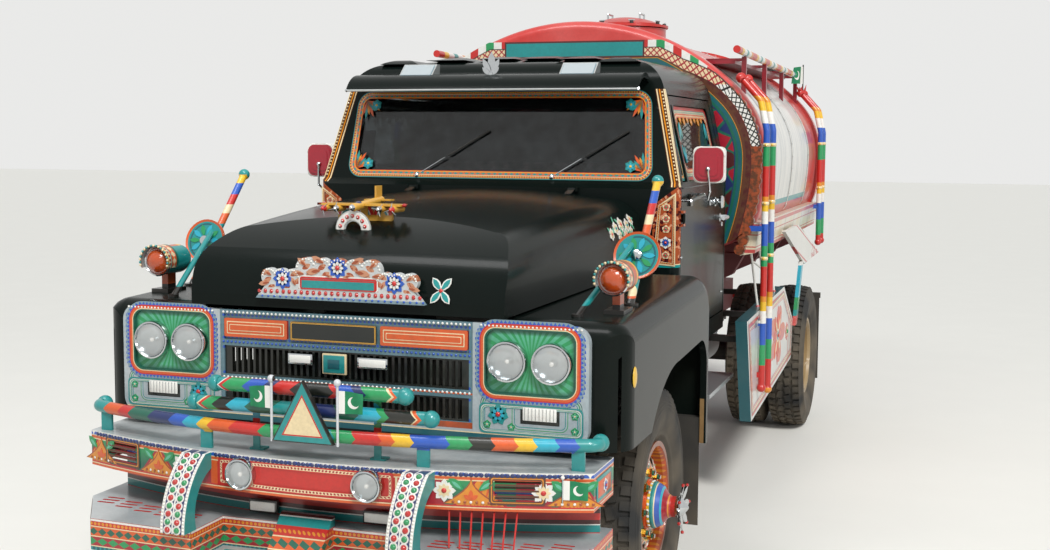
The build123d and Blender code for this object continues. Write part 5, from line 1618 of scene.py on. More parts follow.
@dataclass(frozen=True)
class SignPaint(Pattern):
    """The warning triangle: a teal frame, a red line and a blank cream field, on teal poles."""

    low: float = 0.961
    high: float = 1.19
    half: float = 0.124

    def draw(self, s: Sketch) -> Signal:
        """Draws the frame by the distance in from the triangle's edges.

        Args:
            s: The material's node tree.

        Returns:
            The colour.
        """
        slope = self.half / (self.high - self.low)
        lean = 1 / math.hypot(1, slope)
        side = (self.high - s.z) * slope - abs(s.x)
        deep = s.do("MINIMUM", side * lean, s.z - self.low)
        colour = s.over(
            P.SOOT, (deep > 0.004, P.TEAL), (deep > 0.024, P.CREAM), (s.within(deep, 0.024, 0.029), P.RED)
        )
        return s.over(colour, (abs(s.x) > 0.1245, P.CHROME))


@dataclass(frozen=True)
class FlagPaint(Pattern):
    """A flag: green with a white stripe at the pole and a white crescent, drawn on its UV map in metres.

    Attributes:
        wide: The flag's length.
        high: The flag's height.
    """

    wide: float = 0.094
    high: float = 0.083

    def draw(self, s: Sketch) -> Signal:
        """Draws the stripe and the crescent by the distance from the pole.

        Args:
            s: The material's node tree.

        Returns:
            The colour.
        """
        u, v, _ = s.split(s.uv)
        v = v - self.high / 2
        u = u - self.wide * 0.6
        moon = s.far(u, v) < self.high * 0.27
        bite = s.far(u - self.high * 0.09, v - self.high * 0.07) < self.high * 0.225
        ground = s.blend(s.noise(30.0), P.GREEN, P.PINE)
        colour = s.over(ground, (moon, P.WHITE), (bite, ground))
        return s.over(colour, (u < self.wide * -0.35, P.WHITE))


@dataclass(frozen=True)
class WingPaint(Pattern):
    """The front wings: black outside, brown and dusty under the arches."""

    def draw(self, s: Sketch) -> Signal:
        """Tells the arch's inside by its reach from the axle.

        Args:
            s: The material's node tree.

        Returns:
            The colour.
        """
        reach = s.far(s.y, s.z - WHEEL_Z)
        under = s.both(reach < 0.74, abs(s.x) < 1.108)
        return s.over(P.BLACK, (under, s.blend(s.noise(6.0), P.BROWN, P.TAN)))


@dataclass(frozen=True)
class GuardPaint(Pattern):
    """A beam in red and white warning stripes."""

    pitch: float = 0.3

    def draw(self, s: Sketch) -> Signal:
        """Draws slanted stripes."""
        turn = s.wrap(s.x + s.z, self.pitch)
        return s.blend(turn < 0.0, P.RED, P.WHITE)


@dataclass(frozen=True)
class MirrorPaint(Pattern):
    """Door fittings: chrome arms and handles, and mirror heads red with a white edge."""

    def draw(self, s: Sketch) -> Signal:
        """Draws the head's back by its place on the arm.

        Args:
            s: The material's node tree.

        Returns:
            The colour.
        """
        side = abs(s.x)
        u, v = side - 1.05, s.z - 1.945
        edge = s.pad(u, v, 0.078, 0.088, 0.02)
        head = s.both(side > 0.97, s.within(s.z, 1.856, 2.034), s.within(s.y, 0.968, 1.01))
        beads = s.dots(u + v, edge + 0.008, 0.014, 0.005)
        paint = s.over(P.RED, (edge > -0.012, P.WHITE), (beads, P.WHITE))
        foot = s.both(s.within(side, 0.93, 0.9625), s.within(s.z, 1.73, 1.81), s.within(s.y, 0.98, 1.05))
        return s.over(P.CHROME, (head, paint), (foot, P.SOOT))


@dataclass(frozen=True)
class GlassPaint(Pattern):
    """Window glass, with paler dusty patches at random."""

    def draw(self, s: Sketch) -> Signal:
        """Draws the dust."""
        return s.blend(s.span(s.noise(14.0), 0.3, 0.8), P.SMOKE, P.GREY)


class Dressing:
    """Gives every CAD node its own finish."""

    BLACK_PAINT = Finish(
        "black_coachwork", P.BLACK, rough=0.22, coat=0.06, wear=0.08, dust=0.03, grain=35, relief=0.03,
        shine=0.1
    )
    STRAP = Finish("tank_strap", P.WHITE, rough=0.4, wear=0.35, dust=0.2, grain=40, relief=0.15)
    GLASS = Finish(
        "window_glass", pattern=GlassPaint(), rough=0.03, wear=0.03, dust=0.03, grain=30, relief=0.02, clear=0.97,
        shine=0.4
    )
    FRAME_PAINT = Finish("frame_paint", P.MAROON, rough=0.45, wear=0.5, dust=0.55, grain=20, relief=0.25)
    SEAT_CLOTH = Finish("seat_cloth", P.MAROON, rough=0.9, wear=0.3, dust=0.1, grain=400, relief=0.4)
    DASH = Finish("dash_plastic", P.SOOT, rough=0.55, wear=0.2, dust=0.2, grain=150, relief=0.2)
    STEP = Finish("step_metal", P.SILVER, rough=0.35, metal=0.8, wear=0.35, dust=0.3, grain=30, relief=0.25)
    RED_PAINT = Finish("tank_red", P.RED, rough=0.35, coat=0.25, wear=0.3, dust=0.3, grain=25, relief=0.12)

    @staticmethod
    def _paint(name: str, pattern: Pattern, **changes: float) -> Finish:
        """A painted design's finish.

        Args:
            name: The finish's name.
            pattern: The design.
            **changes: Where it differs from other paint.

        Returns:
            The finish.
        """
        return Finish(
            name, pattern=pattern, **{"rough": 0.3, "coat": 0.3, "wear": 0.22, "dust": 0.14, "grain": 70, **changes}
        )

    def finishes(self) -> dict[str, Finish]:
        """The finish of each node.

        Returns:
            Node names and their finishes.
        """
        paint = self._paint
        found = {
            "cab_shell": paint("cab_paint", CabPaint(), rough=0.22, coat=0.06, wear=0.1, dust=0.03, shine=0.1),
            "nose_panel": paint("nose_paint", NosePaint()), "grille": paint("grille_paint", GrillePaint()),
            "bumper": paint("fascia_paint", FasciaPaint()), "bumper_shelf": paint("shelf_paint", ShelfPaint()),
            "bumper_hoops": paint("hoop_paint", HoopPaint()), "front_tubes": paint("tube_paint", TubePaint()),
            "sign_and_poles": paint("sign_paint", SignPaint()),
            "front_flags": paint("flag_paint", FlagPaint(), rough=0.9, coat=0.0),
            "bonnet_ornaments": paint("crest_paint", CrestPaint()), "wing_lamps": paint("stalk_paint", StalkPaint()),
            "front_wings": paint(
                "wing_paint", WingPaint(), rough=0.22, coat=0.06, wear=0.1, dust=0.04, relief=0.04, shine=0.1
            ),
            "tank": paint("tank_paint", TankPaint(), rough=0.32, wear=0.15, dust=0.2),
            "tank_board": paint("board_paint", BoardPaint()), "tank_rails": paint("plank_paint", PlankPaint()),
            "side_posts": paint("post_paint", PostPaint()),
            "side_boards": paint("side_board_paint", SideBoardPaint()),
            "roof_rails": paint("rail_paint", RailPaint()), "rear_guard": paint("guard_paint", GuardPaint())
        }
        for side in ("left", "right"):
            found[f"door_{side}"] = self.BLACK_PAINT
            found[f"door_glass_{side}"] = self.GLASS
            found[f"door_fittings_{side}"] = paint(f"fittings_{side}", MirrorPaint(), rough=0.15)
            found[f"knuckle_{side}"] = Stock.IRON
            found[f"front_tyre_{side}"] = found[f"rear_tyres_{side}"] = Stock.RUBBER
            found[f"front_wheel_{side}"] = paint("front_wheel_paint", WheelPaint(0.0, True))
            found[f"rear_wheels_{side}"] = paint("rear_wheel_paint", WheelPaint(WHEELBASE, False), dust=0.4)
        for node in ("bonnet", "sun_visor"):
            found[node] = self.BLACK_PAINT
        for node in ("chassis_frame", "tank_saddles", "outlet"):
            found[node] = self.FRAME_PAINT
        for node in ("front_axle", "rear_axle", "springs", "drive_shaft", "engine", "exhaust"):
            found[node] = Stock.IRON
        found |= {
            "cab_glass": self.GLASS, "seats": self.SEAT_CLOTH, "dashboard": self.DASH, "steering_wheel": self.DASH,
            "cab_steps": self.STEP, "side_tanks": self.STEP, "mud_flaps": Stock.RUBBER, "hatch_lid": self.RED_PAINT,
            "front_lamps": Stock.CHROME,
        }
        return found

    def dress(self) -> None:
        """Puts the finishes on the nodes, which keep their meshes."""
        finishes = self.finishes()
        for name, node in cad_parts.items():
            finish = finishes.get(name)
            if finish is None:
                LOG.warning("no finish for %s", name)
                continue
            node.data.materials.clear()
            node.data.materials.append(finish.material())
        LOG.info("dressed %d nodes", len(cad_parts))


@dataclass
class Studio:
    """The camera, the lights and the pale floor."""

    place: Point = (2.296, -7.6095, 2.072)
    yaw: float = math.radians(18.62)
    pitch: float = math.radians(5.28)
    roll: float = math.radians(0.33)
    lens: float = 46.06
    shift: float = -0.01276

    def camera(self) -> None:
        """Stands the camera where the picture was taken from."""
        data = bpy.data.cameras.new("camera")
        data.lens, data.sensor_width, data.shift_y = self.lens, 36.0, self.shift
        data.clip_end = 200.0
        right = Vector((math.cos(self.yaw), math.sin(self.yaw), 0))
        level = math.cos(self.pitch)
        ahead = Vector((-math.sin(self.yaw) * level, math.cos(self.yaw) * level, -math.sin(self.pitch)))
        up = right.cross(ahead)
        across = right * math.cos(self.roll) + up * math.sin(self.roll)
        upward = up * math.cos(self.roll) - right * math.sin(self.roll)
        turn = Matrix((across, upward, -ahead)).transposed().to_4x4()
        camera = bpy.data.objects.new("camera", data)
        camera.matrix_world = Matrix.Translation(self.place) @ turn
        bpy.context.scene.collection.objects.link(camera)
        bpy.context.scene.camera = camera

    def _area(self, name: str, place: Point, target: Point, size: tuple[float, float], power: float) -> None:
        """Adds one soft light that faces a target.

        Args:
            name: Its name.
            place: Where it stands.
            target: What it faces.
            size: Its width and height.
            power: Its power in watts.
        """
        data = bpy.data.lights.new(name, "AREA")
        data.shape, data.size, data.size_y, data.energy = "RECTANGLE", size[0], size[1], power
        light = bpy.data.objects.new(name, data)
        toward = Vector(target) - Vector(place)
        light.matrix_world = Matrix.Translation(place) @ toward.to_track_quat("-Z", "Y").to_matrix().to_4x4()
        bpy.context.scene.collection.objects.link(light)

    def lights(self) -> None:
        """Lights the truck softly: a wide sun from ahead, and two soft panels that give the paint its shine."""
        data = bpy.data.lights.new("sun", "SUN")
        data.energy, data.angle = 2.5, math.radians(14)
        sun = bpy.data.objects.new("sun", data)
        sun.matrix_world = Vector((-0.42, 0.6, -0.75)).to_track_quat("-Z", "Y").to_matrix().to_4x4()
        bpy.context.scene.collection.objects.link(sun)
        self._area("left_panel", (8.5, -6.5, 4.5), (0.0, -0.5, 1.2), (2.5, 1.5), 150.0)
        self._area("top_panel", (-1.0, -4.0, 7.5), (0.0, -1.0, 1.4), (4.0, 1.6), 190.0)

    def surroundings(self) -> None:
        """Makes a white backdrop to the eye and a dimmer sky to everything else."""
        world = bpy.data.worlds.new("studio")
        world.use_nodes = True
        tree = world.node_tree
        back = tree.nodes["Background"]
        path = tree.nodes.new("ShaderNodeLightPath")
        mix = tree.nodes.new("ShaderNodeMix")
        mix.data_type = "RGBA"
        mix.inputs[6].default_value = (0.34, 0.36, 0.39, 1)
        mix.inputs[7].default_value = (0.82, 0.82, 0.81, 1)
        seen = tree.nodes.new("ShaderNodeMath")
        seen.operation = "MAXIMUM"
        shown = tree.nodes.new("ShaderNodeMath")
        shown.operation = "MAXIMUM"
        tree.links.new(path.outputs["Is Glossy Ray"], seen.inputs[0])
        tree.links.new(path.outputs["Is Transmission Ray"], seen.inputs[1])
        tree.links.new(path.outputs["Is Camera Ray"], shown.inputs[0])
        tree.links.new(seen.outputs[0], shown.inputs[1])
        tree.links.new(shown.outputs[0], mix.inputs[0])
        tree.links.new(mix.outputs[2], back.inputs["Color"])
        back.inputs["Strength"].default_value = 1.0
        bpy.context.scene.world = world

    def floor(self) -> None:
        """Lays the pale floor."""
        mesh = bmesh.new()
        bmesh.ops.create_grid(mesh, x_segments=1, y_segments=1, size=60.0)
        data = bpy.data.meshes.new("floor")
        mesh.to_mesh(data)
        mesh.free()
        data.materials.append(
            Finish("floor_paint", P.WHITE, rough=0.7, wear=0.02, dust=0.0, grain=2, relief=0.02).material()
        )
        floor = bpy.data.objects.new("floor", data)
        bpy.context.scene.collection.objects.link(floor)

    def build(self) -> None:
        """Builds the whole studio."""
        self.camera()
        self.lights()
        self.surroundings()
        self.floor()
        bpy.context.scene.view_settings.view_transform = "Standard"
        LOG.info("studio ready")


def bow(x: float) -> float:
    """Where the bumper's bowed face lies at a width, from the front axle."""
    reach = 3.0766
    return -1.225 + reach - math.sqrt(reach * reach - x * x)


def ahead_of(y: float) -> Matrix:
    """Carries a flat drawing on to an upright plane that faces ahead."""
    return Matrix.Translation((0, y + AXLE, 0)) @ FRONT


def beside(x: float) -> Matrix:
    """Carries a flat drawing on to an upright plane that faces sideways, outwards from the truck."""
    out = 1 if x > 0 else -1
    return Matrix(((0, 0, out, x), (1, 0, 0, AXLE), (0, 1, 0, 0), (0, 0, 0, 1)))


def arc_of(first: Point, second: Point, third: Point, count: int) -> list:
    """Places evenly spaced along the arc through three places of a plane, with the way out at each.

    Args:
        first: Where the arc starts.
        second: A place on it.
        third: Where it ends.
        count: How many places.

    Returns:
        Each place, followed by the way out there.
    """
    ax, ay, bx, by = second[0] - first[0], second[1] - first[1], third[0] - first[0], third[1] - first[1]
    span = 2 * (ax * by - ay * bx)
    cx = (by * (ax * ax + ay * ay) - ay * (bx * bx + by * by)) / span + first[0]
    cy = (ax * (bx * bx + by * by) - bx * (ax * ax + ay * ay)) / span + first[1]
    radius = math.hypot(first[0] - cx, first[1] - cy)
    start, end = (math.atan2(p[1] - cy, p[0] - cx) for p in (first, third))
    end += math.tau if end < 0 < start else 0.0
    turns = [start + (end - start) * (i + 0.5) / count for i in range(count)]
    return [(cx + radius * math.cos(t), cy + radius * math.sin(t), math.cos(t), math.sin(t)) for t in turns]


@dataclass
class Flower:
    """A cut-out flower with raised petals and a bead in its middle."""

    radius: float
    petals: int
    outer: Finish
    inner: Finish
    bead: Finish

    def lay(self, shape: Shape, place: Matrix, u: float, v: float) -> list:
        """Adds the flower to a piece.

        Args:
            shape: The piece.
            place: What carries the flat on to the truck.
            u: Its middle, flat.
            v: Its middle, flat.

        Returns:
            The new points.
        """
        made = []
        for i in range(self.petals):
            turn = math.tau * i / self.petals + math.pi / 2
            width = self.radius * 4.6 / self.petals
            made += shape.sheet(petal_line(self.radius, width, turn, u, v), place, 0.0025, self.outer)
            made += shape.sheet(petal_line(self.radius * 0.62, width * 0.55, turn, u, v), place, 0.004, self.inner)
        flat = place @ Vector((u, v, 0.003))
        out = (place.to_3x3() @ Vector((0, 0, 1))).normalized()
        return made + shape.stud(flat, out, self.radius * 0.24, self.radius * 0.16, self.bead)


class Trim(ABC):
    """An assembly of ornament."""

    @abstractmethod
    def build(self) -> None:
        """Builds the assembly's pieces."""


@dataclass
class BumperTrim(Trim):
    """What is laid on the bumper: daisies, the plain field's border, vents, fans and the scallops along its deck."""

    middle: float = 0.822
    vents: tuple = (-0.86, 0.79)
    fans: tuple = (-0.985, -0.66, 0.63, 0.985)

    def _field(self, shape: Shape) -> list:
        """Lays the plain red field's border.

        Args:
            shape: The piece.

        Returns:
            The new points.
        """
        place = ahead_of(0.0)
        lace = border(
            "field_lace", (0.0, 0.005, P.RED), (0.005, 0.017, P.CREAM, Mark.DOTS, P.CRIMSON, 0.014),
            (0.017, 0.021, P.RED)
        )
        inner, outer = (ring_line(0.338 + d, 0.031 + d, 0.008, -0.008, self.middle, 3) for d in (0.0, 0.021))
        fine = [self._cut(line) for line in (inner, outer)]
        return shape.ribbon(fine[0], fine[1], place, 0.0022, lace)

    @staticmethod
    def _cut(line: Sequence[Point]) -> list:
        """A closed line cut into short steps, so that it can follow the bow.

        Args:
            line: The line.

        Returns:
            Its points.
        """
        points = []
        for i, a in enumerate(line):
            b = line[(i + 1) % len(line)]
            steps = 14 if abs(b[0] - a[0]) > 0.3 else 1
            points += [(a[0] + (b[0] - a[0]) * k / steps, a[1] + (b[1] - a[1]) * k / steps) for k in range(steps)]
        return points

    def _fan(self, shape: Shape, x: float) -> list:
        """Lays one fan of leaves with a seed row under it.

        Args:
            shape: The piece.
            x: Its middle.

        Returns:
            The new points.
        """
        place, made = ahead_of(0.0), []
        for grow, lift, ink in ((0.008, 0.0016, Stock.BRICK), (0.0, 0.0026, Stock.AMBER)):
            side_line = [
                (x + side * (0.092 + grow) * (1 - k / 6) ** 1.7, 0.776 + (0.086 + grow) * (k / 6))
                for side in (1,) for k in range(6)
            ]
            other = [(2 * x - u, v) for u, v in reversed(side_line)]
            made += shape.sheet([*side_line, (x, 0.866 + grow), *other], place, lift, ink)
        for turn, reach in ((34, 0.03), (90, 0.036), (146, 0.03)):
            made += shape.sheet(petal_line(reach, 0.016, math.radians(turn), x, 0.792), place, 0.004, Stock.ORANGE)
        for side in (-1, 1):
            made += shape.sheet(
                petal_line(0.062, 0.03, math.radians(90 - side * 52), x + side * 0.03, 0.828), place, 0.003,
                Stock.GREEN
            )
            made += shape.sheet(
                petal_line(0.04, 0.012, math.radians(90 - side * 52), x + side * 0.036, 0.832), place, 0.0042,
                Stock.MINT
            )
        for i in range(-3, 4):
            made += shape.stud(
                (x + i * 0.021, AXLE - 0.003, 0.783), (0, -1, 0), 0.0055, 0.003,
                Stock.BRICK if i % 2 else Stock.WHITE, 6
            )
        return made

    def _vent(self, shape: Shape, x: float) -> list:
        """Lays the frame round a vent.

        Args:
            shape: The piece.
            x: Its middle.

        Returns:
            The new points.
        """
        frame_finish = border("vent_frame", (0.0, 0.005, P.BROWN), (0.005, 0.010, P.AMBER), (0.010, 0.014, P.BROWN))
        inner, outer = (ring_line(0.083 + d, 0.0385 + d, 0.008, x, 0.8285, 3) for d in (0.0, 0.014))
        made = shape.ribbon(inner, outer, ahead_of(0.0), 0.003, frame_finish)
        for row in range(3):
            made += shape.block((x, AXLE - 0.002, 0.8085 + 0.02 * row), (0.15, 0.005, 0.006), Stock.BROWN_STEEL)
        return made

    def build(self) -> None:
        """Lays everything flat and carries it on to the bow."""
        shape = Shape("bumper_trim")
        made = self._field(shape)
        daisy = Flower(0.042, 8, Stock.WHITE, Stock.CREAM, Stock.RED)
        for x in (-0.545, 0.535, 0.88):
            made += daisy.lay(shape, ahead_of(0.0), x, self.middle)
        for x in self.fans:
            made += self._fan(shape, x)
        for x in self.vents:
            made += self._vent(shape, x)
        for i in range(-56, 57):
            if abs(abs(i * 0.018) - 0.45) > 0.058:
                made += shape.stud((i * 0.018, AXLE - 0.001, 0.8815), (0, -1, 0), 0.0085, 0.0035, Stock.NAVY, 8)
        shape.warp(made, lambda co: (co.x, co.y + bow(co.x), co.z))
        for side in (-1, 1):
            shape.block((side * 1.0495, AXLE - 0.91, 0.822), (0.004, 0.2, 0.09), Stock.TEAL, 0.0015)
            shape.block((side * 1.0505, AXLE - 0.91, 0.822), (0.004, 0.17, 0.06), Stock.ORANGE, 0.0015)
            Flower(0.026, 6, Stock.WHITE, Stock.BLUE, Stock.RED).lay(shape, beside(side * 1.0535), -0.91, 0.822)
        shape.done()


@dataclass
class HoopTrim(Trim):
    """The jewels on the overriders: two columns in white mounts between beaded edges."""

    middle: float = 0.45
    count: int = 11

    def build(self) -> None:
        """Sets the jewels along each overrider's curve."""
        shape = Shape("hoop_jewels")
        top = (bow(self.middle + 0.051) + 0.002 - 0.058, 0.889)
        for side in (-1, 1):
            for i, (y, z, oy, oz) in enumerate(arc_of(top, (-1.352, 0.77), (-1.39, 0.6223), self.count)):
                out = Vector((0, oy, oz))
                for column in (-1, 1):
                    base = Vector((side * self.middle + column * 0.0195, y + AXLE, z)) - out * 0.0015
                    shape.rod(base, base + out * 0.004, 0.0165, Stock.WHITE, 12)
                    ink = (Stock.RUBY, Stock.EMERALD)[(i + (column > 0)) % 2]
                    shape.stud(base + out * 0.004, out, 0.0115, 0.0085, ink, 10)
            for y, z, oy, oz in arc_of(top, (-1.352, 0.77), (-1.39, 0.6223), 26):
                for edge in (-1, 1):
                    base = (side * self.middle + edge * 0.0445, y + AXLE, z)
                    shape.stud(base, (0, oy, oz), 0.0055, 0.005, Stock.WHITE, 6)
        shape.done()


@dataclass
class ShelfTrim(Trim):
    """The lower tier's painted lace, its ribbed lamps and the dotted prow in its middle."""

    outline: tuple = (
        (1.048, -1.041), (0.857, -1.315), (0.404, -1.34), (0.404, -1.117), (-0.404, -1.117), (-0.404, -1.34),
        (-0.857, -1.315), (-1.048, -1.041)
    )

    def _lace(self, shape: Shape) -> None:
        """Runs the lace round the band in one strip for each side of its outline.

        Args:
            shape: The piece.
        """
        lace = border(
            "band_lace", (0.0, 0.014, P.TEAL, Mark.DASHES, P.DEEP_TEAL, 0.02), (0.014, 0.018, P.CREAM),
            (0.018, 0.052, P.CRIMSON, Mark.DIAMONDS, P.GREEN, 0.05), (0.052, 0.056, P.CREAM),
            (0.056, 0.09, P.ORANGE, Mark.DIAMONDS, P.PINE, 0.04), (0.09, 0.094, P.CREAM),
            (0.094, 0.112, P.RED, Mark.DOTS, P.AMBER, 0.018), (0.112, 0.12, P.WHITE),
        )
        for (ax, ay), (bx, by) in zip(self.outline, self.outline[1:]):
            run = Vector((bx - ax, by - ay, 0))
            out = Vector((by - ay, ax - bx, 0)).normalized() * -0.002
            if out.y > 0.0005:
                out = -out
            count = max(2, round(run.length / 0.1))
            low = [Vector((ax, ay + AXLE, 0.501)) + out + run * (i / count) for i in range(count + 1)]
            high = [point + Vector((0, 0, 0.12)) for point in low]
            shape.ribbon(
                [tuple(p) for p in low], [tuple(p) for p in high], Matrix.Identity(4), 0.0, lace, closed=False
            )

    def build(self) -> None:
        """Builds the lace, the lamps and the prow's dots."""
        shape = Shape("shelf_trim")
        self._lace(shape)
        riser = bow(0.0) + 0.19
        for x0, x1 in ((-0.32, -0.213), (0.163, 0.264)):
            x = (x0 + x1) / 2
            shape.block((x, AXLE + riser - 0.008, 0.655), (x1 - x0 + 0.014, 0.02, 0.05), Stock.BLACK, 0.003)
            shape.block((x, AXLE + riser - 0.017, 0.655), (x1 - x0, 0.016, 0.036), Stock.RIBBED, 0.004)
        for row in range(5):
            for i in range(-4 + row // 2, 5 - row // 2):
                shape.stud(
                    (-0.042 + i * 0.022, AXLE - 1.1185 - 0.001, 0.53 + 0.026 * row), (0, -1, 0.3), 0.007, 0.005,
                    (Stock.CYAN, Stock.WHITE)[(i + row) % 2], 6
                )
        for i in range(7):
            x = 0.545 + 0.04 * i
            shape.rod((x, AXLE + bow(x) + 0.02, 0.752), (x + 0.02, AXLE - 1.21, 0.624), 0.0035, Stock.RED, 6)
        shape.done()


@dataclass
class LampTrim(Trim):
    """The front lamps: chrome rims and bowls, bulbs and clear glasses."""

    heads: tuple = (0.674, 0.846)

    @staticmethod
    def _lamp(rims: Shape, glasses: Shape, centre: Point, radius: float, depth: float) -> None:
        """Adds one round lamp that faces ahead.

        Args:
            rims: The piece of the rims, bowls and bulbs.
            glasses: The piece of the glasses.
            centre: The middle of its back.
            radius: Its radius.
            depth: How far it stands out.
        """
        rim = [
            (radius - 0.001, 0.0), (radius, depth - 0.008), (radius - 0.003, depth - 0.001), (radius - 0.008, depth),
            (radius - 0.012, depth - 0.005)
        ]
        bowl = [(0.008, 0.004), (radius * 0.35, 0.007), (radius * 0.7, 0.016), (radius - 0.012, depth - 0.005)]
        rims.turned(rim, centre, (0, -1, 0), Stock.CHROME, 32)
        rims.turned(bowl, centre, (0, -1, 0), Stock.REFLECTOR, 24)
        at = Vector(centre)
        rims.rod(at, at + Vector((0, -0.018, 0)), 0.008, Stock.SILVER, 10)
        rims.ball(at + Vector((0, -0.02, 0)), 0.0095, Stock.WHITE, 10)
        dome = [
            (0.0, depth + 0.009), (radius * 0.45, depth + 0.006), (radius * 0.75, depth + 0.001),
            (radius - 0.0125, depth - 0.004)
        ]
        glasses.turned(dome, centre, (0, -1, 0), Stock.LENS, 24)

    def build(self) -> None:
        """Builds the lamps in place of the plain ones."""
        rims, glasses = Shape("lamp_rims"), Shape("lamp_glasses")
        for side in (-1, 1):
            for x in self.heads:
                self._lamp(rims, glasses, (side * x, AXLE - 0.8902, 1.25), 0.078, 0.034)
            x = side * 0.257
            self._lamp(rims, glasses, (x, AXLE + bow(x) - 0.0005, 0.825), 0.06, 0.034)
            for at, wide, high, y in ((side * 0.8, 0.152, 0.076, -0.8902),):
                rims.block((at, AXLE + y - 0.006, 1.058), (wide, 0.012, high), Stock.BLACK, 0.003)
                rims.block((at, AXLE + y - 0.014, 1.058), (wide - 0.022, 0.008, high - 0.028), Stock.RIBBED, 0.003)
                for i in range(9):
                    rims.block(
                        (at - 0.056 + 0.014 * i, AXLE + y - 0.0185, 1.058), (0.003, 0.003, high - 0.03), Stock.SILVER
                    )
        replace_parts(rims.done(), "front_lamps")
        glasses.done()


@dataclass
class NoseTrim(Trim):
    """What is laid on the lamp panels and the grille: framed borders, flowers, boards, a blank plate and a badge."""

    panel: float = -0.902
    plate: tuple = (-0.222, 0.144)

    def _panels(self, shape: Shape) -> None:
        """Frames the lamps' recesses and the silver panels under them.

        Args:
            shape: The piece.
        """
        place = ahead_of(self.panel)
        lace = border(
            "lamp_lace", (0.0, 0.004, P.PINE), (0.004, 0.0075, P.CREAM), (0.0075, 0.017, P.ORANGE),
            (0.017, 0.022, P.RED), (0.022, 0.036, P.STEEL_BLUE, Mark.TEETH, P.BLUE, 0.016)
        )
        low_lace = border(
            "low_lace", (0.0, 0.003, P.TEAL), (0.003, 0.006, P.SILVER), (0.006, 0.009, P.GREEN),
            (0.009, 0.014, P.SILVER), (0.014, 0.016, P.PINE)
        )
        flower = Flower(0.042, 7, Stock.TEAL, Stock.CYAN, Stock.RED)
        sprig = Flower(0.016, 5, Stock.GREEN, Stock.MINT, Stock.CREAM)
        for side in (-1, 1):
            lines = [ring_line(0.173 + d, 0.119 + d, 0.04 + d, side * 0.76, 1.248, 8) for d in (0.001, 0.037)]
            shape.ribbon(lines[0], lines[1], place, 0.002, lace)
            for u, half_u, half_v in ((0.765, 0.186, 0.041),):
                lines = [ring_line(half_u + d, half_v + d, 0.02, side * u, 1.034, 4) for d in (0.0, 0.016)]
                shape.ribbon(lines[0], lines[1], place, 0.002, low_lace)
            flower.lay(shape, place, side * 0.638, 1.05)
            for u, v in ((0.595, 1.01), (0.69, 1.005), (0.935, 1.005), (0.935, 1.062)):
                sprig.lay(shape, place, side * u, v)
            for i in range(26):
                shape.stud(
                    (side * (0.57 + 0.0155 * i), AXLE + self.panel, 1.3795), (0, -1, 0), 0.005, 0.004, Stock.WHITE, 6
                )

    def _grille(self, shape: Shape) -> None:
        """Lays the boards, the blank plate, the badge and the ribbed lamps on the grille.

        Args:
            shape: The piece.
        """
        face = -0.8985
        place = ahead_of(face)
        left, right = self.plate
        shape.sheet(
            ring_line((right - left) / 2, 0.037, 0.006, (left + right) / 2, 1.318, 2), place, 0.006, Stock.BLACK
        )
        gilt = border("plate_lace", (0.0, 0.004, P.GOLD), (0.004, 0.006, P.MAROON))
        rings = [
            ring_line((right - left) / 2 - d, 0.037 - d, 0.004, (left + right) / 2, 1.318, 2)
            for d in (0.007, 0.001)
        ]
        shape.ribbon(rings[0], rings[1], place, 0.0068, gilt)
        for u0, u1 in ((-0.516, left - 0.016), (right + 0.016, 0.516)):
            middle, half = (u0 + u1) / 2, (u1 - u0) / 2
            shape.sheet(ring_line(half, 0.037, 0.006, middle, 1.318, 2), place, 0.004, Stock.ORANGE)
            for inset, ink, lift in (
                (0.012, Stock.CREAM, 0.0046), (0.016, Stock.ORANGE, 0.0052), (0.024, Stock.CREAM, 0.0058),
                (0.027, Stock.ORANGE, 0.0064)
            ):
                shape.sheet(ring_line(half - inset, 0.037 - inset, 0.003, middle, 1.318, 2), place, lift, ink)
        for u0, u1 in ((-0.225, -0.129), (0.072, 0.189)):
            middle = (u0 + u1) / 2
            shape.block((middle, AXLE + face - 0.006, 1.21), (u1 - u0 + 0.01, 0.014, 0.042), Stock.CHROME, 0.003)
            shape.block((middle, AXLE + face - 0.0135, 1.21), (u1 - u0 - 0.006, 0.006, 0.03), Stock.RIBBED, 0.002)
        shape.block((-0.032, AXLE + face - 0.005, 1.198), (0.102, 0.012, 0.08), Stock.CREAM, 0.003)
        shape.block((-0.032, AXLE + face - 0.0115, 1.198), (0.09, 0.006, 0.068), Stock.TEAL, 0.002)
        shape.block((-0.032, AXLE + face - 0.0145, 1.198), (0.05, 0.004, 0.036), Stock.DEEP, 0.001)
        for z, ink in ((1.26, Stock.BLUE), (1.1185, Stock.WHITE), (1.378, Stock.WHITE)):
            for i in range(-29, 30):
                shape.stud((i * 0.018, AXLE + face, z), (0, -1, 0), 0.0055, 0.004, ink, 6)

    def build(self) -> None:
        """Builds both pieces."""
        panels, grille = Shape("panel_trim"), Shape("grille_trim")
        self._panels(panels)
        self._grille(grille)
        panels.done()
        grille.done()


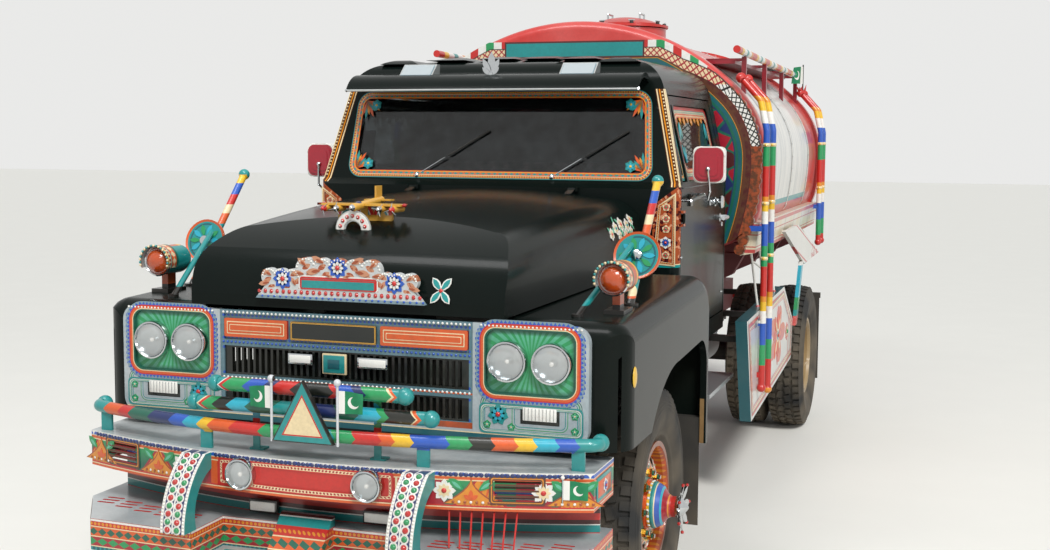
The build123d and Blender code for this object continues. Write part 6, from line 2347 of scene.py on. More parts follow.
@dataclass
class CrestTrim(Trim):
    """What is laid on the bonnet's crest, and the cross beside it."""

    face: float = -0.9352
    base: float = 1.446

    def _leaves(self, shape: Shape, place: Matrix) -> None:
        """Lays pairs of leaves, three rosettes and the bead rows.

        Args:
            shape: The piece.
            place: What carries the flat on to the crest.
        """
        rosette = Flower(0.042, 8, Stock.BLUE, Stock.WHITE, Stock.RED)
        for x, v in ((0.0, 0.128), (-0.235, 0.078), (0.235, 0.078)):
            rosette.lay(shape, place, x, self.base + v)
        for side in (-1, 1):
            for x, v, turn, size in (
                (0.06, 0.145, 25, 0.055), (0.075, 0.115, -8, 0.06), (0.135, 0.132, 40, 0.045), (0.145, 0.1, 5, 0.05),
                (0.18, 0.055, 60, 0.035), (0.285, 0.09, 30, 0.04), (0.295, 0.062, -10, 0.045), (0.05, 0.1, 200, 0.03),
            ):
                angle = math.radians(turn if side > 0 else 180 - turn)
                shape.sheet(petal_line(size, size * 0.42, angle, side * x, self.base + v), place, 0.003, Stock.PEACH)
                shape.sheet(
                    petal_line(size * 0.6, size * 0.2, angle, side * x, self.base + v), place, 0.0042, Stock.BRICK
                )
        shape.sheet(ring_line(0.158, 0.02, 0.003, 0.0, self.base + 0.062, 2), place, 0.003, Stock.RED)
        shape.sheet(ring_line(0.152, 0.0145, 0.002, 0.0, self.base + 0.062, 2), place, 0.0042, Stock.TEAL)
        for i in range(-13, 14):
            shape.stud((i * 0.026, AXLE + self.face, self.base + 0.027), (0, -1, 0), 0.008, 0.0055, Stock.RUBY, 8)
            shape.stud(
                (i * 0.026 + 0.013, AXLE + self.face, self.base + 0.009), (0, -1, 0), 0.005, 0.004, Stock.BLUE, 6
            )

    def _edge(self, shape: Shape) -> None:
        """Runs beads along the crest's scalloped top.

        Args:
            shape: The piece.
        """
        humps = [(-0.136 + 0.068 * i, 0.12, 0.044) for i in range(5)]
        humps += [(side * (0.195 + 0.05 * i), 0.084, 0.034) for side in (-1, 1) for i in range(3)]
        for x, v, radius in humps:
            for step in range(9):
                turn = math.pi * (step + 0.5) / 9
                u, w = x + (radius - 0.006) * math.cos(turn), v + (radius - 0.006) * math.sin(turn)
                covered = any((u - hx) ** 2 + (w - hv) ** 2 < (hr - 0.007) ** 2 for hx, hv, hr in humps)
                if not covered:
                    shape.stud((u, AXLE + self.face, self.base + w), (0, -1, 0), 0.0048, 0.004, Stock.WHITE, 6)

    def _cross(self, shape: Shape) -> None:
        """Lays the teal and white cross on the bonnet's front slope.

        Args:
            shape: The piece.
        """
        hit, out = Ground("bonnet").touch(spot(0.409, -1.6, 1.499), (0, 1, 0))
        place = Matrix.Translation(
            hit + out * 0.002
        ) @ Vector((0, -1, 0)).rotation_difference(out).to_matrix().to_4x4() @ FRONT
        for turn in (52, 128, 232, 308):
            shape.sheet(petal_line(0.062, 0.03, math.radians(turn)), place, 0.004, Stock.WHITE)
            shape.sheet(petal_line(0.05, 0.019, math.radians(turn), start=0.006), place, 0.006, Stock.TEAL)
        shape.stud(hit + out * 0.006, out, 0.009, 0.006, Stock.RED)

    def build(self) -> None:
        """Builds the ornaments on the bonnet."""
        shape = Shape("crest_trim", "bonnet")
        self._leaves(shape, ahead_of(self.face))
        self._edge(shape)
        self._cross(shape)
        shape.done()


@dataclass
class PlaneTrim(Trim):
    """The model aeroplane's details on the bonnet: propellers, pod tips, a canopy and the little arch at its foot."""

    x: float = -0.06
    y: float = -0.56
    z: float = 1.79

    def build(self) -> None:
        """Adds the details round the gilt body."""
        shape = Shape("plane_trim", "bonnet")
        for dx in (-0.15, -0.095, 0.095, 0.15):
            at = spot(self.x + dx, self.y - 0.075, self.z - 0.008)
            shape.turned(
                [(0.0, 0.022), (0.006, 0.018), (0.0125, 0.004), (0.0133, 0.0)], at, (0, -1, 0),
                Stock.RED if abs(dx) > 0.1 else Stock.CHROME, 12
            )
            for turn in range(3):
                angle = math.tau * turn / 3 + dx * 9
                way = Vector((math.cos(angle), 0, math.sin(angle)))
                shape.rod(
                    at + Vector((0, -0.012, 0)), at + Vector((0, -0.012, 0)) + way * 0.03, 0.003, Stock.CHROME, 6,
                    0.001
                )
        shape.ball(spot(self.x, self.y - 0.065, self.z + 0.014), 0.014, Stock.NAVY, 10, (0.8, 1.9, 0.7))
        nose = spot(self.x, self.y - 0.126, self.z)
        shape.turned([(0.0, 0.02), (0.008, 0.012), (0.0135, 0.0)], nose, (0, -1, 0), Stock.CHROME, 12)
        for side in (-1, 1):
            tip = spot(self.x + side * 0.178, self.y - 0.015, self.z + 0.008)
            shape.ball(tip, 0.009, Stock.RUBY, 8, (1, 2.6, 1))
        rows = ((Stock.RED, 0.0, 0.014), (Stock.WHITE, 0.014, 0.02), (Stock.TEAL, 0.02, 0.028))
        for ink, low, high in rows:
            for dx in (-0.08, 0.0, 0.08):
                arc = [
                    (dx + (0.04 - low) * math.cos(t), (0.04 - low) * math.sin(t))
                    for t in [math.pi * k / 12 for k in range(13)]
                ]
                inner = [
                    (dx + (0.04 - high) * math.cos(t), (0.04 - high) * math.sin(t))
                    for t in [math.pi * k / 12 for k in range(13)]
                ]
                place = Matrix.Translation((self.x, AXLE + self.y - 0.0085, 1.756)) @ FRONT
                shape.ribbon(inner, arc, place, 0.001, ink, closed=False)
        self._arch(shape)
        shape.done()

    def _arch(self, shape: Shape) -> None:
        """Stands the jewelled arch on the bonnet before the aeroplane.

        Args:
            shape: The piece.
        """
        x, y = self.x - 0.012, self.y - 0.085
        foot, _ = Ground("bonnet").touch(spot(x, y, 2.2), (0, 0, -1))
        turns = [math.pi * k / 14 for k in range(15)]
        place = Matrix.Translation((x, AXLE + y, foot.z - 0.004)) @ FRONT
        for inner, outer, lift, ink in ((0.034, 0.078, 0.0, Stock.SILVER), (0.04, 0.072, 0.006, Stock.WHITE)):
            line = [(outer * math.cos(t), outer * math.sin(t)) for t in turns]
            line += [(inner * math.cos(t), inner * math.sin(t)) for t in reversed(turns)]
            shape.sheet(line, Matrix.Translation((0, -lift, 0)) @ place, 0.007, ink)
        for k in range(7):
            turn = math.pi * (k + 0.6) / 7.2
            at = Vector((x + 0.056 * math.cos(turn), AXLE + y - 0.0132, foot.z - 0.004 + 0.056 * math.sin(turn)))
            shape.stud(at, (0, -1, 0), 0.0085, 0.005, Stock.RED, 8)
            shape.stud(at + Vector((0, -0.005, 0)), (0, -1, 0), 0.003, 0.002, Stock.WHITE, 6)


@dataclass
class ScreenTrim(Trim):
    """The beaded border round the windscreen, with its corner flowers and leaves."""

    low: float = 1.885
    high: float = 2.285
    lean: float = 0.105 / 0.47

    def _on_screen(self, co: Vector) -> tuple:
        """Carries a flat place on to the leaning windscreen's plane."""
        half = 0.79 - (co.z - self.low) * 0.07
        return (co.x * half / 0.79, co.y + 0.8 + (co.z - 1.86) * self.lean, co.z)

    def build(self) -> None:
        """Builds the border, its corners and the beads."""
        shape = Shape("screen_border")
        place = ahead_of(0.0)
        lace = border(
            "screen_lace", (0.0, 0.003, P.RED), (0.003, 0.006, P.YELLOW),
            (0.006, 0.02, P.ORANGE, Mark.DIAMONDS, P.TEAL, 0.03), (0.02, 0.023, P.CREAM),
            (0.023, 0.034, P.CRIMSON, Mark.DOTS, P.YELLOW, 0.013), (0.034, 0.038, P.TEAL)
        )
        middle, half_v = (self.low + self.high) / 2, (self.high - self.low) / 2
        lines = [ring_line(0.79 + d, half_v + d, 0.055 + max(d, -0.04), 0.0, middle, 8) for d in (-0.018, 0.02)]
        fine = [BumperTrim._cut(line) for line in lines]
        made = shape.ribbon(fine[0], fine[1], place, 0.003, lace)
        flower = Flower(0.03, 6, Stock.TEAL, Stock.CYAN, Stock.YELLOW)
        for side in (-1, 1):
            for u, v in ((0.7, self.low + 0.05), (0.7, self.high - 0.05)):
                made += flower.lay(shape, place, side * u, v)
            for k in range(7):
                turn = math.radians(198 + 14 * k if side > 0 else -18 - 14 * k)
                ink = (Stock.ORANGE, Stock.AMBER, Stock.TEAL)[k % 3]
                made += shape.sheet(
                    petal_line(0.075 + 0.02 * (k % 2), 0.016, turn, side * 0.757, self.high - 0.028), place, 0.002,
                    ink
                )
                turn = math.radians(162 - 14 * k if side > 0 else 18 + 14 * k)
                made += shape.sheet(
                    petal_line(0.07 + 0.02 * (k % 2), 0.016, turn, side * 0.765, self.low + 0.028), place, 0.002, ink
                )
        shape.warp(made, self._on_screen)
        shape.done()
@dataclass
class TyreTrim(Trim):
    """The tyres: moulded walls with raised rings, and a grooved tread of lugs and ribs."""

    crown: float = 0.5075
    edge: float = 0.103
    fall: float = 0.014
    groove: float = 0.012
    lugs: int = 52
    rubber: Finish = Finish("tyre_rubber", P.RUBBER, rough=0.8, wear=0.25, dust=0.75, grain=90, relief=0.25)
    sets: tuple = (
        ("front_tyre_left", "front_wheel_left", 0.0, (0.935,)),
        ("front_tyre_right", "front_wheel_right", 0.0, (-0.935,)),
        ("rear_tyres_left", "rear_wheels_left", WHEELBASE, (0.762, 1.052)),
        ("rear_tyres_right", "rear_wheels_right", WHEELBASE, (-0.762, -1.052)),
    )

    def _top(self, x: float) -> float:
        """The tread's radius at a distance from its middle."""
        return self.crown - self.fall * (x / self.edge) ** 2

    def _outline(self) -> list:
        """The carcass in section, from one bead over the tread and back.

        Returns:
            Its corners as (radius, along).
        """
        wall = []
        rings = (3, 4, 19, 21, 23)
        for i, (r, x, out_r, out_x) in enumerate(arc_of((0.277, -0.0827), (0.3815, -0.125), (0.494, -0.103), 30)):
            lift = 0.0028 if i in rings else 0.0
            wall.append((r + out_r * lift, x + out_x * lift))
        tread = [(self._top(x) - self.groove, x) for x in (-0.098, -0.06, -0.02, 0.02, 0.06, 0.098)]
        other = [(r, -x) for r, x in reversed(wall)]
        return [(0.2555, -0.0825), *wall, *tread, *other, (0.2555, 0.0825), (0.2555, -0.0825)]

    def _tread(self, shape: Shape, at: Vector) -> None:
        """Sets the lugs and ribs round one tyre.

        Args:
            shape: The piece.
            at: The tyre's middle.
        """
        lean = math.atan(2 * self.fall * 0.083 / self.edge**2)
        for side in (-1, 1):
            turn = Matrix.Rotation(side * lean, 4, "Y")
            outer = shape.block(
                at + Vector((side * 0.083, 0, self._top(0.083) - 0.0075)), (0.044, 0.036, 0.015), self.rubber,
                turn=turn
            )
            wrap = Matrix.Rotation(side * 1.2, 4, "Y")
            outer += shape.block(at + Vector((side * 0.106, 0, 0.479)), (0.034, 0.03, 0.008), self.rubber, turn=wrap)
            shape.copies(outer, at, (1, 0, 0), self.lugs)
            middle = at + Vector((side * 0.026, 0, self._top(0.026) - 0.0075))
            rib = shape.block(middle, (0.034, 0.052, 0.015), self.rubber, turn=Matrix.Rotation(side * 0.25, 4, "Z"))
            shape.move(rib, Matrix.Translation(at) @ Matrix.Rotation(side * 0.03, 4, "X") @ Matrix.Translation(-at))
            shape.copies(rib, at, (1, 0, 0), self.lugs - 6)

    def build(self) -> None:
        """Builds each tyre, or pair of twins, in place of the plain one."""
        for node, body, y, middles in self.sets:
            shape = Shape(f"moulded_{node}", body, "tyre")
            for x in middles:
                at = spot(x, y, WHEEL_Z)
                shape.turned(self._outline(), at, (1, 0, 0), self.rubber, 72)
                self._tread(shape, at)
            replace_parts(shape.done(), node)


@dataclass
class HubTrim(Trim):
    """What is set on the wheels: nuts, a chromed star on each front hub and rings of flowers round its disc."""

    circle: float = 0.1375
    nuts: int = 8
    star: int = 7

    def _nuts(self, shape: Shape, x: float, y: float, high: float) -> None:
        """Sets the wheel nuts on their circle.

        Args:
            shape: The piece.
            x: The disc's face.
            y: The axle's place along the truck.
            high: How far a nut stands out, with the side's own sign.
        """
        for i in range(self.nuts):
            turn = math.tau * i / self.nuts
            at = spot(x, y + self.circle * math.cos(turn), WHEEL_Z + self.circle * math.sin(turn))
            shape.rod(at, at + Vector((high, 0, 0)), 0.019, Stock.GOLD, 6)
            shape.rod(at + Vector((high, 0, 0)), at + Vector((high * 1.9, 0, 0)), 0.0095, Stock.CHROME, 8)

    def _spinner(self, shape: Shape, side: int) -> None:
        """Sets the star of blades on a front hub's end.

        Args:
            shape: The piece.
            side: 1 for the truck's left, -1 for its right.
        """
        place = beside(side * 1.134)
        blades = []
        for i in range(self.star):
            turn = math.tau * i / self.star
            blades += shape.sheet(petal_line(0.082, 0.04, turn, 0.0, WHEEL_Z, 0.02), place, 0.007, Stock.CHROME)
            tip = spot(side * 1.137, 0.104 * math.cos(turn), WHEEL_Z + 0.104 * math.sin(turn))
            shape.ball(tip + Vector((side * 0.018, 0, 0)), 0.008, Stock.RUBY, 8)
        for vert in blades:
            reach = math.hypot(vert.co.y - AXLE, vert.co.z - WHEEL_Z)
            vert.co.x += side * 0.22 * (reach - 0.02)
        rows = [(0.044, -0.012), (0.046, 0.0), (0.036, 0.016), (0.02, 0.03), (0.008, 0.04), (0.0, 0.043)]
        shape.turned(rows, spot(side * 1.134, 0.0, WHEEL_Z), (side, 0, 0), Stock.CHROME, 20)
        for i in range(24):
            turn = math.tau * i / 24
            at = spot(side * 1.02, 0.1 * math.cos(turn), WHEEL_Z + 0.1 * math.sin(turn))
            shape.stud(at, (0, math.cos(turn), math.sin(turn)), 0.007, 0.005, Stock.WHITE, 6)

    def _flowers(self, shape: Shape, side: int) -> None:
        """Lays a flower between each pair of hand holes.

        Args:
            shape: The piece.
            side: 1 for the truck's left, -1 for its right.
        """
        flower = Flower(0.028, 6, Stock.WHITE, Stock.ROSE, Stock.GREEN)
        for i in range(self.nuts):
            turn = math.tau * i / self.nuts
            u, v = 0.194 * math.cos(turn), WHEEL_Z + 0.194 * math.sin(turn)
            hit, out = self.ground.touch(spot(side * 1.3, u, v), (-side, 0, 0))
            aim = Vector((side, 0, 0)).rotation_difference(out).to_matrix().to_4x4()
            spread = Matrix(((0, 0, side, 0), (1, 0, 0, 0), (0, 1, 0, 0), (0, 0, 0, 1)))
            flower.lay(shape, Matrix.Translation(hit) @ aim @ spread, 0.0, 0.0)

    def build(self) -> None:
        """Builds the four wheels' ornaments."""
        for name, side in (("left", 1), ("right", -1)):
            self.ground = Ground(f"front_wheel_{name}")
            front = Shape(f"front_hub_trim_{name}", f"front_wheel_{name}")
            self._nuts(front, side * 1.0005, 0.0, side * 0.016)
            self._spinner(front, side)
            self._flowers(front, side)
            front.done()
            rear = Shape(f"rear_hub_trim_{name}", f"rear_wheels_{name}")
            self._nuts(rear, side * 0.9185, WHEELBASE, side * 0.02)
            rear.done()


@dataclass
class DoorTrim(Trim):
    """What is set on the doors: painted borders round the panes, leaves, mirror heads, locks and edge beads."""

    base: float = 0.95
    belt: float = 1.83
    lean: float = 0.2347
    sunk: float = 0.0135
    mirror: tuple = (1.05, 0.971, 1.945)

    def _carry(self, side: int) -> Callable[[Vector], Point]:
        """The rule that carries a flat drawing at 1 m out on to the leaning side of the cab.

        Args:
            side: 1 for the truck's left, -1 for its right.

        Returns:
            The rule.
        """
        def rule(co: Vector) -> Point:
            """Moves one point.

            Args:
                co: The point.

            Returns:
                Where it goes.
            """
            lift = abs(co.x) - 1.0
            wall = self.base - max(0.0, co.z - self.belt) * self.lean
            return (side * (wall - self.sunk + lift), co.y, co.z)

        return rule

    def _panes(self, shape: Shape, side: int) -> list:
        """Draws the borders and leaves of the quarter light and the door's pane.

        Args:
            shape: The piece.
            side: 1 for the truck's left, -1 for its right.

        Returns:
            The new points.
        """
        place = beside(side)
        lace = border(
            "pane_lace", (0.0, 0.004, P.RED), (0.004, 0.026, P.ORANGE, Mark.DIAMONDS, P.CREAM, 0.028),
            (0.026, 0.03, P.RED), (0.03, 0.05, P.CREAM, Mark.DOTS, P.TEAL, 0.022), (0.05, 0.056, P.TEAL),
        )
        slim = border(
            "light_lace", (0.0, 0.005, P.TEAL), (0.005, 0.018, P.YELLOW, Mark.DASHES, P.ORANGE, 0.012),
            (0.018, 0.023, P.CREAM), (0.023, 0.03, P.PINE),
        )
        made = []
        lines = [ring_line(0.43 - d, 0.183 - d, 0.045, 1.4435, 2.0475, 4) for d in (0.056, 0.0)]
        made += shape.ribbon(lines[0], lines[1], place, 0.002, lace)
        outer = [(0.882, 1.866), (0.97, 2.229), (0.984, 2.229), (0.984, 1.866)]
        inner = [(0.914, 1.894), (0.957, 2.08), (0.96, 2.08), (0.96, 1.894)]
        made += shape.ribbon(inner, outer, place, 0.002, slim)
        for u in (1.12, 1.77):
            for v, turn in ((2.15, -70), (2.14, -110), (1.95, 70), (1.96, 110)):
                angle = math.radians(turn if u < 1.4 else 180 - turn)
                made += shape.sheet(petal_line(0.085, 0.035, angle, u, v), place, 0.003, Stock.TEAL)
                made += shape.sheet(petal_line(0.05, 0.016, angle, u, v), place, 0.0045, Stock.CYAN)
        for i in range(7):
            drop = 0.045 if i % 2 else 0.03
            made += shape.sheet(
                petal_line(drop, 0.05, -math.pi / 2, 1.17 + 0.09 * i, 2.182), place, 0.0025, Stock.AMBER
            )
        return made

    def _mirror(self, shape: Shape, side: int) -> None:
        """Gives the mirror a domed red back with a beaded rim, a pane and an arm before it.

        Args:
            shape: The piece.
            side: 1 for the truck's left, -1 for its right.
        """
        x, y, z = self.mirror
        for inset, lift in ((0.0, 0.0), (0.007, 0.006), (0.018, 0.011), (0.034, 0.0145)):
            line = ring_line(0.079 - inset, 0.089 - inset, 0.04 - inset / 2, side * x, z, 5)
            shape.sheet(line, ahead_of(y + 0.001 - lift), 0.004, Stock.CRIMSON if inset else Stock.WHITE)
        rim = ring_line(0.0745, 0.0845, 0.038, side * x, z, 9)
        for u, v in rim:
            shape.stud((u, AXLE + y - 0.002, v), (0, -1, 0), 0.0058, 0.005, Stock.WHITE, 6)
        pane = ring_line(0.068, 0.078, 0.02, side * x, z, 4)
        shape.sheet(
            pane, Matrix.Translation((0, AXLE + 1.0075, 0)) @ FRONT @ Matrix.Diagonal((1, 1, -1, 1)), 0.002,
            Stock.CHROME
        )
        front = spot(side * x, y - 0.024, z - 0.02)
        low = spot(side * (x + 0.008), y - 0.012, z - 0.13)
        shape.rod(front, low, 0.006, Stock.CHROME, 10)
        shape.ball(front, 0.012, Stock.CHROME, 12)
        shape.rod(low, spot(side * (x - 0.012), y + 0.044, z - 0.172), 0.006, Stock.CHROME, 10)
        shape.ball(low, 0.008, Stock.CHROME, 10)

    def _metal(self, shape: Shape, side: int) -> None:
        """Sets the lock, the handle's plates, the hinges' caps and the beads along the sill.

        Args:
            shape: The piece.
            side: 1 for the truck's left, -1 for its right.
        """
        wall = side * self.base
        for y, z, radius in ((1.845, 1.64, 0.026), (1.9, 1.6, 0.015)):
            shape.turned(
                [(0.0, 0.006), (radius * 0.7, 0.005), (radius, 0.0)], spot(wall, y, z), (side, 0, 0), Stock.CHROME, 18
            )
        for y in (0.86, 1.9):
            shape.rod(spot(wall, y, 1.22), spot(wall, y, 1.226), 0.01, Stock.CHROME, 8)
        shape.block(spot(wall + side * 0.001, 1.39, 1.833), (0.006, 1.1, 0.006), Stock.BLACK, 0.002)
        lock = [
            (0.024, 0.0), (0.026, 0.012), (0.019, 0.018), (0.019, 0.03), (0.033, 0.036), (0.036, 0.048),
            (0.028, 0.058), (0.0, 0.061)
        ]
        shape.turned(lock, spot(wall, 1.63, 1.735), (side, 0, 0), Stock.CHROME, 24)
        shape.block(spot(wall + side * 0.004, 1.56, 1.735), (0.008, 0.11, 0.03), Stock.CHROME, 0.003)
        ends = [spot(wall + side * 0.034, 0.87, 1.772), spot(wall + side * 0.034, 1.19, 1.79)]
        shape.rod(*ends, 0.009, Stock.BLACK, 10)
        for end in ends:
            shape.rod(end, (wall, end.y, end.z), 0.007, Stock.CHROME, 8)
            shape.ball(end, 0.0105, Stock.CHROME, 8)
        for y in (0.826, 0.84):
            shape.stud(spot(wall, y, 1.5), (side, 0, 0), 0.006, 0.004, Stock.CHROME)

    def build(self) -> None:
        """Builds each door's trim."""
        for name, side in (("left", 1), ("right", -1)):
            shape = Shape(f"door_trim_{name}", f"door_{name}")
            shape.warp(self._panes(shape, side), self._carry(side))
            self._mirror(shape, side)
            self._metal(shape, side)
            shape.done()


@dataclass
class CowlTrim(Trim):
    """The flowered corners of the cowl and the beads along the screen's pillars."""

    face: float = 0.76
    belt: float = 1.83

    def build(self) -> None:
        """Lays the corners' borders and flowers, and the pillars' beads."""
        shape = Shape("cowl_trim")
        lace = border(
            "cowl_lace", (0.0, 0.003, P.CREAM), (0.003, 0.012, P.BRICK, Mark.DOTS, P.AMBER, 0.012),
            (0.012, 0.015, P.CREAM)
        )
        place = ahead_of(self.face)
        flower = Flower(0.03, 6, Stock.WHITE, Stock.BLUE, Stock.RED)
        small = Flower(0.02, 5, Stock.CREAM, Stock.ROSE, Stock.GREEN)
        for side in (-1, 1):
            outer = [(0.828, 1.47), (0.936, 1.462), (0.936, 1.815), (0.85, 1.752)]
            inner = [(0.843, 1.485), (0.922, 1.478), (0.922, 1.79), (0.862, 1.745)]
            lines = [[(side * u, v) for u, v in line] for line in (inner, outer)]
            shape.ribbon(lines[0], lines[1], place, 0.002, lace)
            flower.lay(shape, place, side * 0.888, 1.575)
            for v in (1.515, 1.64, 1.69, 1.745):
                small.lay(shape, place, side * 0.889, v)
            for i in range(26):
                z = 1.875 + 0.0168 * i
                x = 0.95 - (z - self.belt) * 0.2347 - 0.012
                y = 0.8 + (z - 1.86) * 0.105 / 0.47
                shape.stud(spot(side * x, y - 0.001, z), (0, -1, 0.2), 0.0052, 0.004, Stock.CREAM, 6)
        shape.done()


@dataclass
class WingTrim(Trim):
    """What stands on the wings: amber lamp glasses under laced hoods, rimmed discs, reflectors and edge beads."""

    drum: tuple = (1.0, -0.56, 1.54)
    disc: tuple = (1.0, -0.255, 1.6)

    def _hood(self, shape: Shape, side: int) -> None:
        """Gives a lamp its glass, its rim and its laced hood.

        Args:
            shape: The piece.
            side: 1 for the truck's left, -1 for its right.
        """
        x, y, z = self.drum
        front = spot(side * x, y - 0.0705, z)
        shape.turned(
            [(0.0, 0.034), (0.022, 0.031), (0.04, 0.021), (0.052, 0.006), (0.054, 0.0)], front, (0, -1, 0),
            Stock.AMBER_GLASS, 28
        )
        rim = [(0.062, -0.012), (0.0655, -0.006), (0.0655, 0.004), (0.06, 0.007), (0.054, 0.002)]
        shape.turned(rim, front, (0, -1, 0), Stock.CHROME, 28)
        lace = border(
            "hood_lace", (0.0, 0.012, P.YELLOW), (0.012, 0.03, P.CREAM, Mark.DOTS, P.CRIMSON, 0.018),
            (0.03, 0.036, P.TEAL), (0.036, 0.07, P.ORANGE, Mark.DIAMONDS, P.CREAM, 0.03), (0.07, 0.09, P.PINE),
        )
        arc = [math.radians(-25 + 230 * k / 22) for k in range(23)]
        near = [(side * x + 0.0675 * math.cos(t), AXLE + y - 0.1, z + 0.0675 * math.sin(t)) for t in arc]
        far = [(u, v + 0.085, w) for u, v, w in near]
        shape.ribbon(near, far, Matrix.Identity(4), 0.0, lace, closed=False)
        inside = [(side * x + 0.0665 * math.cos(t), AXLE + y - 0.1, z + 0.0665 * math.sin(t)) for t in arc]
        shape.ribbon(
            inside, [(u, v + 0.085, w) for u, v, w in inside], Matrix.Identity(4), 0.0, Stock.SILVER, closed=False
        )
        for k, t in enumerate(arc[1:-1]):
            centre = (side * x + 0.0675 * math.cos(t), AXLE + y - 0.1, z + 0.0675 * math.sin(t))
            shape.ball(centre, 0.0058, (Stock.CREAM, Stock.TEAL)[k % 2], 6)

    def _disc(self, shape: Shape, side: int) -> None:
        """Gives the round disc its rim, its petals and its boss.

        Args:
            shape: The piece.
            side: 1 for the truck's left, -1 for its right.
        """
        out = Vector((0, -0.95, 0.3)).normalized()
        x, y, z = self.disc
        face = spot(side * x, y, z) + out * 0.0052
        aim = Matrix.Translation(face) @ Vector((0, -1, 0)).rotation_difference(out).to_matrix().to_4x4() @ FRONT
        shape.turned([(0.088, 0.0), (0.0975, 0.004), (0.0985, -0.006), (0.096, -0.011)], face, out, Stock.ORANGE, 32)
        for i in range(10):
            shape.sheet(
                petal_line(0.05, 0.022, math.tau * i / 10, start=0.026), aim, 0.003, (Stock.CYAN, Stock.GREEN)[i % 2]
            )
        shape.turned([(0.024, 0.0), (0.02, 0.012), (0.008, 0.017), (0.0, 0.018)], face, out, Stock.CHROME, 18)

    def build(self) -> None:
        """Builds both wings' ornaments."""
        shape = Shape("wing_trim")
        for side in (-1, 1):
            self._hood(shape, side)
            self._disc(shape, side)
            reflector = spot(side * 1.118, -0.75, 1.193)
            rows = [(0.0, 0.007), (0.02, 0.006), (0.03, 0.003), (0.032, 0.0)]
            drop = shape.turned(rows, reflector, (side, 0, 0), Stock.YELLOW, 24)
            shape.move(
                drop,
                Matrix.Translation(reflector) @ Matrix.Diagonal((1, 0.85, 1.25, 1)) @ Matrix.Translation(-reflector)
            )
        shape.done()


@dataclass
class BonnetTrim(Trim):
    """The cluster of white flowers painted on the bonnet's left flank, by the windscreen."""

    flowers: tuple = (
        (0.3, 1.64, 0.03), (0.37, 1.662, 0.034), (0.45, 1.676, 0.036), (0.53, 1.668, 0.034), (0.6, 1.69, 0.03),
        (0.41, 1.628, 0.026), (0.49, 1.63, 0.028), (0.57, 1.636, 0.026)
    )
    spread: Matrix = Matrix(((0, 0, 1, 0), (1, 0, 0, 0), (0, 1, 0, 0), (0, 0, 0, 1)))

    def build(self) -> None:
        """Lays each flower on the bonnet where it lies."""
        shape = Shape("bonnet_flowers", "bonnet")
        ground = Ground("bonnet")
        for i, (y, z, radius) in enumerate(self.flowers):
            hit, out = ground.touch(spot(1.4, y, z), (-1, 0, 0))
            if hit is None:
                continue
            aim = Vector((1, 0, 0)).rotation_difference(out).to_matrix().to_4x4()
            place = Matrix.Translation(hit) @ aim @ self.spread
            Flower(radius, 6, Stock.WHITE, Stock.CREAM, (Stock.ROSE, Stock.TEAL)[i % 2]).lay(shape, place, 0.0, 0.0)
            for turn in (0.6, 2.4):
                shape.sheet(
                    petal_line(radius * 1.2, radius * 0.4, turn + i, 0.0, 0.0, radius * 0.5), place, 0.0016,
                    Stock.MINT
                )
        shape.done()


